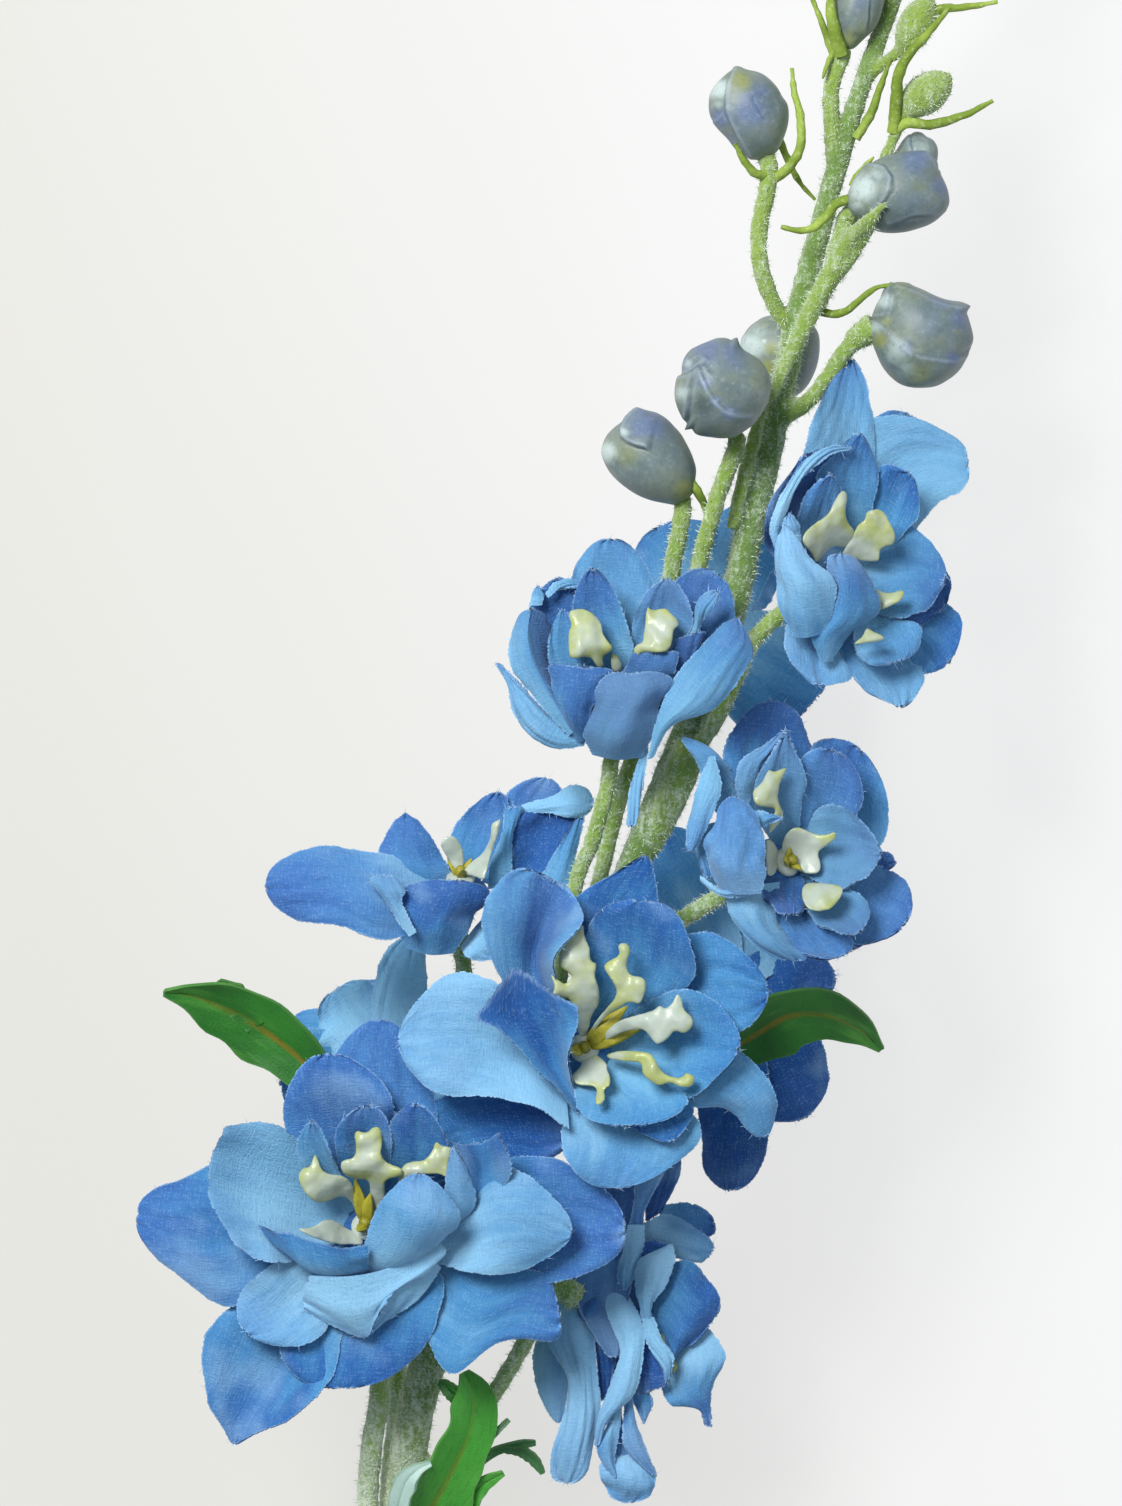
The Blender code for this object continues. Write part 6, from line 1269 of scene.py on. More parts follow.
# Stamens read off the photograph: for every arm its height over the smooth rise from the throat,
# its yellowness and its outline (x, y from the throat)
TRACED_ARMS = {
    "low_front": (
        (0.6, 0.3, ((0.8, 2.2), (0.8, 5.5), (0.4, 6.6), (-1.6, 6.8), (-3, 7.6), (-3.6, 8.8), (-3.2, 9.8),
         (-1.6, 10.2), (-1.2, 11.5), (-1.4, 13.6), (-1, 14.4), (0.4, 14), (1.4, 14.9), (2.6, 14.8), (2.9,
         12.6), (2.7, 10.8), (3.4, 9.6), (4.6, 9), (5.8, 8.6), (6, 7.4), (4.4, 7), (3.2, 6.4), (3.2,
         4.6), (2.8, 2.4), (1.8, 0.4))),
        (0, 0.1, ((-0.4, -1.6), (-1.4, 1.2), (-2.2, 3.2), (-3.6, 4), (-5.2, 3.4), (-6.8, 3.1), (-8.4, 4),
         (-9.4, 5.4), (-10, 7.2), (-9.4, 8.6), (-8.2, 8.8), (-7.6, 10.6), (-7, 10.2), (-6.4, 8.4), (-5,
         7.6), (-3.4, 7.4), (-2, 6.4), (-1.4, 4.4), (-0.6, 1.6), (0.2, -1.4))),
        (-0.4, 0.2, ((5.2, 6.6), (6, 9), (7.6, 9.6), (9.2, 9.8), (10.4, 11.2), (10.8, 12.4), (11.4, 13),
         (11.8, 12), (13, 12), (13.6, 11.2), (13, 9.4), (12.8, 7.2), (11.6, 7.6), (9.8, 7.6), (7.6, 7.2),
         (5.6, 5.6))),
        (0.2, -0.9, ((-10.2, -0.6), (-8.6, -0.6), (-7.2, -0.2), (-6.2, 0.5), (-4.8, 0.4), (-3.2, -0.6),
         (-2, -1.4), (-1, -1.4), (-0.2, -2.4), (-0.4, -3.6), (-2, -3.4), (-3.8, -3.4), (-6, -2.8), (-8.4,
         -1.8))),
    ),
    "middle_front": (
        (0.4, 0.2, ((-0.8, 1.6), (-1.6, 5), (-2.2, 7.2), (-3.6, 7.8), (-5, 8), (-4.6, 9.4), (-5.2, 11.2),
         (-4.2, 10.6), (-3, 9.8), (-2, 10.8), (-2.4, 11.4), (-4, 12.6), (-3.8, 14.4), (-3.2, 16.8),
         (-2.8, 17.9), (-1.2, 17.8), (-0.2, 18.9), (0, 17), (0.8, 15.2), (0.9, 13.2), (1.9, 12.8), (1.6,
         11), (2.2, 9), (2.2, 6.8), (1.1, 4.8), (0.8, 3.2), (0.2, 1.6))),
        (0.8, 0.3, ((1.2, 3.2), (2.6, 5.2), (4.4, 7.4), (4.8, 8.8), (4, 10.4), (2.8, 12.4), (3.8, 13.4),
         (5.2, 14.2), (5, 15.8), (6.6, 15.9), (6.9, 14.6), (6.4, 12.8), (6.9, 11.2), (8.8, 10.8), (9.4,
         9.6), (8.8, 7.4), (8.2, 6.7), (6.8, 7), (5.4, 6.2), (3.4, 4.8), (2.2, 3.4), (1.2, 2))),
        (0.6, -0.7, ((2.5, 1.5), (5, 4), (8, 5.1), (10.4, 5.8), (11.4, 6.6), (12, 6), (13.2, 6.8), (14,
         8.4), (14.8, 7.4), (15, 6), (16.4, 4.6), (16.2, 3), (14.8, 2.2), (13.6, 2.8), (12.8, 1.6), (11,
         0.6), (10, 1.6), (8.8, 2.8), (6, 2.4), (3, 0.8))),
        (0.4, 0.9, ((3.2, -1.2), (6.1, -0.4), (9.3, -0.6), (10.4, -1.2), (11.6, -3.3), (12.9, -4.2),
         (14.8, -4.4), (15.2, -3.7), (16.7, -4.2), (16.3, -5.7), (14.6, -5.9), (12.9, -5.2), (11.2,
         -5.7), (9.7, -4.8), (8.7, -3.8), (8.5, -2.3), (6.1, -2.1), (4, -1.9))),
        (0.4, 0.5, ((0.6, -0.5), (1.9, -1.2), (3.4, -2.5), (3.4, -3.3), (4, -4.6), (3.8, -5.9), (3,
         -6.3), (3.1, -7.8), (2.2, -8.8), (1.5, -8.2), (1.8, -6.7), (1.5, -5.9), (-0.8, -5.8), (-1.7,
         -5.2), (-2.1, -4.4), (-0.6, -2.9), (-0.4, -1.4))),
    ),
    "right_front": (
        (0.6, 0.2, ((-2.7, 7.8), (-5.7, 8.3), (-6.4, 10.4), (-5, 11.8), (-3.85, 13.9), (-3.2, 13.4), (-1,
         14.1), (-2, 11.8), (-2.4, 9.4), (-1.5, 6.6), (-2.9, 4.7), (-3.8, 3.8), (-3.8, 5), (-3.2, 6.8))),
        (0, 0, ((-4.1, 3.3), (-2.4, 1.9), (-2.2, -0.4), (-2.9, -2.3), (-4.1, -2.3), (-4.3, 0.4))),
        (0.8, 0.6, ((-1.7, 2.4), (-0.8, 4.3), (0.8, 5), (3.2, 4), (5, 3.8), (6.5, 4.3), (6.6, 3.3), (5,
         1.9), (3.9, 1), (4.4, -0.9), (3.9, -2), (2.5, -2.3), (0.4, -1.6), (-0.8, -0.9), (-1.5, 0.3))),
        (0.2, 0.3, ((2.2, -3.5), (7, -3.9), (7.5, -5.1), (6.2, -7), (4.6, -7.8), (2.2, -7.5), (1.2,
         -5.4))),
    ),
    "high_right": (
        (0.8, 0.3, ((-1, 12.6), (-0.2, 11.9), (-0.5, 9.3), (0, 7.6), (1, 6.4), (1, 4.7), (-0.7, 4),
         (-2.6, 4), (-4.8, 1.6), (-5.8, 3), (-7.2, 4.5), (-7, 5.9), (-5, 7.8), (-3.4, 8.8), (-2.2,
         11.2))),
        (1, 0.4, ((0.7, 5.9), (1.4, 7.4), (2.6, 8.3), (2.6, 9.3), (4.6, 9.9), (5.8, 9), (6.3, 7.8), (7.1,
         6.4), (7, 4.5), (5, 3.8), (4.8, 2), (3.1, 1.8), (1.9, 2), (0.2, 2.5), (-1, 3))),
        (0.6, 0.3, ((4.1, -2.3), (6, -3), (8.4, -2.5), (8.4, -3.7), (7.2, -4.7), (4.6, -5.6), (4.2,
         -3.7))),
        (0.6, 0, ((0.5, -10.9), (1.9, -9.7), (2.6, -8.3), (3.4, -8.8), (5.3, -9.7), (5, -10.4), (1.7,
         -10.9))),
    ),
    "high_front": (
        (0.8, 0.2, ((-7.2, 13.7), (-5.2, 14), (-3.8, 13.4), (-2.5, 12), (-2, 10), (-1.1, 8.8), (-0.6, 8),
         (-1.2, 7.2), (-2.2, 6.8), (-2, 5.4), (-2.8, 4.8), (-4.2, 6.6), (-6.9, 6.3), (-7.4, 8.2), (-7.4,
         10.4), (-6.9, 11.4), (-7.3, 12.6))),
        (0.8, 0.1, ((4.6, 14.4), (5.3, 13.8), (7.5, 14.1), (8.3, 13.2), (9.3, 12.4), (9.5, 11.4), (8.7,
         10.8), (8.4, 8.6), (7.6, 7.5), (6, 7.2), (3.9, 7.3), (2.9, 6.4), (2.4, 7), (2.8, 8.4), (4, 8.8),
         (4, 9.8), (4.3, 12))),
        (-0.6, 0.6, ((-0.9, 7.2), (0.2, 6.8), (0.9, 5.2), (0.2, 4.2), (-0.8, 4.8))),
    ),
    "left_side": (
        (2, -0.6, ((-3.1, 3.8), (-2.4, 5), (-1.2, 5.3), (-0.2, 4.4), (0.4, 3), (0.6, 1), (0, -0.4), (-1,
         -0.2), (-1.8, 1.4))),
        (2.6, -1, ((0.2, -0.6), (2, -1), (3.6, -1.6), (4.2, 0), (5, 3), (6, 6), (6.4, 8.2), (5.8, 7.6),
         (5, 7.4), (4.7, 6.6), (4.6, 5), (3.4, 2.6), (1.6, 1.2))),
    ),
}
ARM_FOOT = -2.4        # height of an arm at the throat
ARM_RISE = 7.4         # how much higher its end is
ARM_REACH = 11.0       # how far from the throat it has risen
OUTLINE_STEPS = 4      # places on a traced outline for each that is given
ARM_SWELL = 0.5        # how much thicker an arm is away from its rim
TRACED_DIMPLE = 0.28


def rounded(outline):
    """The smooth closed line through the places of an outline."""
    ring = np.array(outline, dtype=float)
    before = np.roll(ring, 1, axis=0)
    after = np.roll(ring, -1, axis=0)
    far = np.roll(ring, -2, axis=0)
    line = []
    for index in range(len(ring)):
        a, b, c, d = before[index], ring[index], after[index], far[index]
        for t in np.arange(OUTLINE_STEPS) / OUTLINE_STEPS:
            line.append(cubic(a, b, c, d, t))
    return line


def traced_arm(flower, arm, lean, seed):
    """One stamen with the outline it has in the photograph, rising from the throat."""
    lift, yellow, outline = arm
    draw = random.Random(seed)
    piece = moulded_antler(rounded(outline))
    flat = points_of(piece)
    far = np.hypot(flat[:, 0], flat[:, 1])
    share = np.clip(far / ARM_REACH, 0.0, 1.0)
    head = ease(far, 4.0, 7.5)
    edges = np.array(outline, dtype=float)
    rim = np.hypot(flat[:, 0, None] - edges[None, :, 0], flat[:, 1, None] - edges[None, :, 1]).min(axis=1)
    dimple = ripples(seed, count=5, pitch=3.0)(flat)
    rise = ARM_FOOT + ARM_RISE * ease(far, 0.0, ARM_REACH) + lift
    rise = rise - lean[0] * flat[:, 0] - lean[1] * flat[:, 1]
    thick = 1.0 + ARM_SWELL * ease(rim, 0.4, 1.8)
    places = flat.copy()
    places[:, 2] = flat[:, 2] * thick + rise + TRACED_DIMPLE * dimple * head
    set_points(piece, places + np.array(flower["throat"]))
    give(piece, PLACE, np.stack([share, 1.0 - ease(rim, 0.2, 1.6), head], axis=-1))
    give(piece, DYE_AND_LIGHT, np.tile((yellow, draw.uniform(0, 1), 0.0), (len(flat), 1)))
    return piece


DISC_HEIGHT = 5.4
DISC_SIZE = (2.3, 2.3, 0.9)
ARM_SLOPE = (74, 56)                # at the root and at the tip, where a flower gives none
FIRST_LEAN, LEAN_STEP = -5.0, 2.7   # lean of the first arm's tip, and the step to the next
ROOT_LEAN = 0.4                     # share of it at the root
ARM_SEEDS = 31                      # seeds kept for the arms of one flower


def flower_stamens(name, flower, antlers, seed):
    """The moulded ring of stamens of one flower."""
    _, _, axis, seat = frame_of(flower)
    disc = ball(segments=20, rings=12)
    stand_up(disc, seat + axis * DISC_HEIGHT, axis, DISC_SIZE)
    give(disc, PLACE, np.zeros((len(disc.data.vertices), 3)))
    give(disc, DYE_AND_LIGHT, np.zeros((len(disc.data.vertices), 3)))
    pieces = [disc]
    root_slope, tip_slope = flower.get("arm_slope", ARM_SLOPE)
    for index, arm in enumerate(TRACED_ARMS.get(name, ())):
        pieces.append(traced_arm(flower, arm, LEAN.get(name, (0.0, 0.0)), seed * ARM_SEEDS + index))
    for index, tip in enumerate(() if name in TRACED_ARMS else flower["arms"]):
        lean = LEAN_STEP * index + FIRST_LEAN
        slope = (root_slope + lean * ROOT_LEAN, tip_slope + lean)
        pieces.append(stamen_arm(flower, antlers[(index + seed) % len(antlers)], tip, slope,
                                 seed * ARM_SEEDS + index))
    whole = join("moulded_stamens_" + name, pieces)
    bpy.ops.object.shade_smooth()
    return whole


# A pistil's lobes: bearing, height, lean and half width, and where they and the post stand
PISTIL_LOBES = ((40, 6.4, 17, 1.25), (160, 6.4, 17, 1.25), (280, 6.4, 17, 1.25))
LOBE_HEIGHT = 5.6
LOBE_ASIDE = 0.5
LOBE_BOW = 0.35
LOBE_RIBS = 5.0
LOBE_RIB = 0.16        # height of a rib as a share of the half width
LOBE_FLAT = 0.6        # thickness as a share of the width
POST_HEIGHT = 6.6
POST_SIZE = (1.0, 1.0, 1.1)


def flower_pistil(name, flower):
    """The olive pistil: three ribbed flame-shaped lobes on a short post."""
    across, beside, axis, seat = frame_of(flower)
    pieces = []
    for bearing, tallest, leaning, broad in flower.get("lobes", PISTIL_LOBES):
        lobe = ball(segments=18, rings=16)
        round_form = points_of(lobe)
        share = (1.0 - round_form[:, 2]) / 2.0
        up = 1.0 - share
        turn = np.arctan2(round_form[:, 1], round_form[:, 0])
        size = np.sin(math.pi * np.clip(up, 0, 1) ** 0.72) ** 0.8
        size = size * (1.0 + LOBE_RIB * np.cos(LOBE_RIBS * turn))
        size = np.where((share < 0.001) | (share > 0.999), 0.0, size)
        wide = broad * size * np.cos(turn)
        thick = broad * LOBE_FLAT * size * np.sin(turn)
        tall = up * tallest
        bow = LOBE_BOW * up * tall
        angle = math.radians(bearing)
        outward = np.array(across * math.cos(angle) + beside * math.sin(angle))
        sideways = np.cross(np.array(axis), outward)
        lean = math.radians(leaning)
        foot = np.array(seat + axis * LOBE_HEIGHT) + outward * LOBE_ASIDE
        along = np.array(axis) * math.cos(lean) + outward * math.sin(lean)
        over = outward * math.cos(lean) - np.array(axis) * math.sin(lean)
        set_points(lobe, foot + along * tall[:, None] + over * (thick + bow)[:, None]
                   + sideways * wide[:, None])
        give(lobe, PLACE, np.stack([up, np.abs(np.cos(turn)), size], axis=-1))
        pieces.append(lobe)
    post = ball(segments=14, rings=10)
    stand_up(post, seat + axis * POST_HEIGHT, axis, POST_SIZE)
    give(post, PLACE, np.zeros((len(post.data.vertices), 3)))
    whole = join("ribbed_pistil_" + name, pieces + [post])
    edit(whole, (bpy.ops.mesh.normals_make_consistent, {"inside": False}))
    bpy.ops.object.shade_smooth()
    return whole


WAY_STEPS = 12         # places on a smooth way for each that is given


def smooth_way(way, step):
    """A smooth line through places that may carry further numbers, with even steps."""
    rows = np.array([tuple(place) for place in way], dtype=float)
    before = 2 * rows[0] - rows[1]
    after = 2 * rows[-1] - rows[-2]
    rows = np.vstack([before, rows, after])
    fine = []
    for index in range(1, len(rows) - 2):
        a, b, c, d = rows[index - 1:index + 3]
        for t in np.linspace(0.0, 1.0, WAY_STEPS, endpoint=False):
            fine.append(cubic(a, b, c, d, t))
    fine.append(rows[-2])
    fine = np.array(fine)
    gaps = np.linalg.norm(np.diff(fine[:, :3], axis=0), axis=1)
    along = np.concatenate(([0.0], np.cumsum(gaps)))
    count = max(2, int(round(along[-1] / step)) + 1)
    even = np.linspace(0.0, along[-1], count)
    return np.stack([np.interp(even, along, fine[:, k]) for k in range(fine.shape[1])], axis=1)


def rod(way, sides=3, step=1.2):
    """A closed round rod along a smooth way of places, each with its radius."""
    dense = smooth_way(way, step)
    bpy.ops.curve.primitive_bezier_curve_add()
    piece = bpy.context.object
    curve = piece.data
    curve.splines.clear()
    line = curve.splines.new("POLY")
    line.points.add(len(dense) - 1)
    line.points.foreach_set("co", np.hstack([dense[:, :3], np.ones((len(dense), 1))]).ravel())
    line.points.foreach_set("radius", dense[:, 3])
    curve.dimensions = "3D"
    curve.bevel_depth = 1.0
    curve.bevel_resolution = sides
    curve.use_fill_caps = True
    select_only(piece)
    bpy.ops.object.convert(target="MESH")
    return bpy.context.object


def with_radius(way, start, end):
    """Places of a way with a radius that changes evenly."""
    last = len(way) - 1
    return [(*place, start + (end - start) * index / last) for index, place in enumerate(way)]


# Stubs of wrapped stalks along the stem: places with radius
STUBS = (
    ((13.6, -15.0, 49.5, 1.6), (16.2, -9.0, 51.5, 2.4), (18.6, -3.0, 52.6, 2.7),
     (20.2, 1.6, 53.0, 2.6)),
    ((32.4, 54.6, 49.0, 0.9), (35.2, 61.2, 50.0, 1.3), (38.0, 67.0, 50.6, 1.5),
     (40.8, 72.6, 51.6, 1.6), (44.2, 78.6, 53.4, 1.5), (47.2, 81.8, 57.2, 1.1),
     (49.8, 84.2, 59.6, 0.6)),
    ((40.2, 70.4, 50.4, 1.0), (43.6, 75.0, 51.8, 1.2), (46.4, 79.2, 54.0, 1.1),
     (48.2, 81.2, 56.6, 0.6)),
    ((44.8, 63.4, 48.2, 1.6), (46.8, 65.0, 48.6, 2.1), (48.6, 66.0, 49.0, 2.5)),
    ((26.6, 34.6, 49.4, 1.1), (28.2, 42.0, 49.6, 1.25), (30.2, 49.6, 49.6, 1.15),
     (31.4, 53.4, 49.0, 0.6)),
)
STEM_VOXEL = 0.52
WOOD_EDGE = (1.05, 1.4)         # in radii from the stem's middle, where its wood gives way to stalks
FLOCK_COARSE, FLOCK_FINE = 0.09, 0.07      # unevenness of the flocking in mm
KNOB_RINGS = ((-3.4, 1.4), (-1.8, 2.2), (0.0, 2.3))     # height over the seat and radius
BUD_NECK = 1.6
BUD_SEAT = 0.3
BUD_STALK = (1.35, 1.5)
GREEN_STALK = (1.0, 0.9)
SUNK = 0.8             # how deep a flocked bud sits on its stalk's end
# A flocked bud's rings: share of the length and of the greatest radius
GREEN_RINGS = ((0.0, 0.3), (0.18, 0.74), (0.42, 1.0), (0.68, 0.9), (0.88, 0.55), (1.0, 0.12))


def flocked_stem():
    """Main stem, stalks, knobs, stubs and the small flocked buds as one grown-together body."""
    pieces = [rod(STEM, sides=5)]
    for name, (way, radius) in FLOWER_STALKS.items():
        axis = Vector(FLOWERS[name]["faces"]).normalized()
        seat = seat_of(FLOWERS[name])
        path = with_radius(list(way) + [tuple(seat + axis * KNOB_RINGS[0][0])], radius,
                           KNOB_RINGS[0][1])
        for height, size in KNOB_RINGS[1:]:
            path.append((*(seat + axis * height), size))
        pieces.append(rod(path))
    for way, direction, length, thick in BUDS.values():
        axis = Vector(direction).normalized()
        end = Vector(way[-1])
        pieces.append(rod(with_radius(list(way) + [tuple(end + axis * BUD_NECK)], *BUD_STALK)))
    for way, direction, length, thick in GREEN_BUDS:
        axis = Vector(direction).normalized()
        pieces.append(rod(with_radius(way, *GREEN_STALK)))
        bud_way = []
        for share, size in GREEN_RINGS:
            bud_way.append((*(Vector(way[-1]) + axis * (length * share - SUNK)), thick / 2 * size))
        pieces.append(rod(bud_way, sides=5, step=0.5))
    for stub in STUBS:
        pieces.append(rod(stub))
    whole = join("flocked_stem", pieces)
    apply_modifier(whole, "REMESH", mode="VOXEL", voxel_size=STEM_VOXEL)
    apply_modifier(whole, "SMOOTH", factor=0.5, iterations=3)
    places = points_of(whole)
    dense = smooth_way(STEM, 2.0)
    middle = [np.interp(places[:, 1], dense[:, 1], dense[:, column]) for column in (0, 2, 3)]
    aside = np.hypot(places[:, 0] - middle[0], places[:, 2] - middle[1]) / middle[2]
    wood = 1.0 - ease(aside, *WOOD_EDGE)
    give(whole, PLACE, np.stack([wood, wood, wood], axis=-1))
    coarse = ripples(5, count=9, pitch=3.2)(places)
    fine = ripples(6, count=12, pitch=1.1)(places)
    uneven = FLOCK_COARSE * coarse + FLOCK_FINE * fine
    set_points(whole, places + normals_of(whole) * uneven[:, None])
    bpy.ops.object.shade_smooth()
    return whole


# Fibres: shortest and longest, thinnest and thickest, how far they lean
FLOCK_FORM = ((0.4, 1.15), (0.045, 0.09), 0.55)
THREAD_FORM = ((0.35, 1.5), (0.03, 0.055), 0.7)
ROOT_SUNK = 0.05


def fibres(name, roots, normals, seed, form_of):
    """Short fibres that stand on a surface, each a thin three-sided spike."""
    long, thick, lean = form_of
    bpy.ops.mesh.primitive_cone_add(vertices=3, radius1=1.0, depth=1.0, end_fill_type="NOTHING",
                                    location=(0.0, 0.0, 0.5))
    spike = bpy.context.object
    select_only(spike)
    bpy.ops.object.transform_apply(location=True)
    form = points_of(spike)
    faces = [tuple(face.vertices) for face in spike.data.polygons]
    bpy.data.objects.remove(spike)
    draw = np.random.default_rng(seed)
    count = len(roots)
    way = unit(normals + draw.normal(0.0, lean, (count, 3)))
    side = unit(np.cross(way, draw.normal(0.0, 1.0, (count, 3))))
    other = np.cross(way, side)
    size = draw.uniform(long[0], long[1], count)
    width = draw.uniform(thick[0], thick[1], count)
    places = (roots[:, None, :] + side[:, None, :] * (form[None, :, 0] * width[:, None])[:, :, None]
              + other[:, None, :] * (form[None, :, 1] * width[:, None])[:, :, None]
              + way[:, None, :] * (form[None, :, 2] * size[:, None])[:, :, None])
    step = len(form)
    all_faces = [tuple(corner + step * index for corner in face)
                 for index in range(count) for face in faces]
    mesh = bpy.data.meshes.new(name)
    mesh.from_pydata(places.reshape(-1, 3).tolist(), [], all_faces)
    piece = bpy.data.objects.new(name, mesh)
    bpy.context.scene.collection.objects.link(piece)
    select_only(piece)
    return piece


def stem_flock(stem, count, seed):
    """Pale flock fibres all over the stem."""
    draw = np.random.default_rng(seed)
    places = points_of(stem)
    normals = normals_of(stem)
    chosen = draw.choice(len(places), count, replace=False)
    return fibres("stem_flock", places[chosen] - normals[chosen] * ROOT_SUNK, normals[chosen],
                  seed, FLOCK_FORM)


BRACT_TAPER = 2.2      # how late a tongue starts to thin
BRACT_THINNED = 0.62   # share of the radius that it loses
BRACT_BUMPS = 0.09


def bract_tongues():
    """Thin curled tongues on the stalks."""
    pieces = []
    for way, radius in BRACTS:
        rows = []
        last = len(way) - 1
        for index, place in enumerate(way):
            part = index / last
            rows.append((*place, radius * (1.0 - part ** BRACT_TAPER * BRACT_THINNED)))
        pieces.append(rod(rows, sides=3, step=0.8))
    whole = join("curled_bracts", pieces)
    places = points_of(whole)
    bumps = ripples(11, count=8, pitch=1.6)(places)
    set_points(whole, places + normals_of(whole) * (BRACT_BUMPS * bumps)[:, None])
    bpy.ops.object.shade_smooth()
    return whole


BUD_SEGMENTS = 128
BUD_RINGS = 56
HORN_START = 0.7       # share of the way to the rim where a bud's form turns to its exact outline
SEAM_GROOVE = 0.16
BUD_DENTS = 0.14
TURN_STEPS = 181       # places round a bud
CALM = 25              # how many of them its calm form is the mean of
FAR_OFF = 9.0          # distance to a seam where there is none
SEAM_EDGE = 0.18       # how gently the upper petal ends at a seam
SEAM_REACH = 2.6       # how far its thickness fades
GROOVE_HALF = 0.22
BUD_PATCH_KINDS = ("violet", "pale", "olive", "dark")
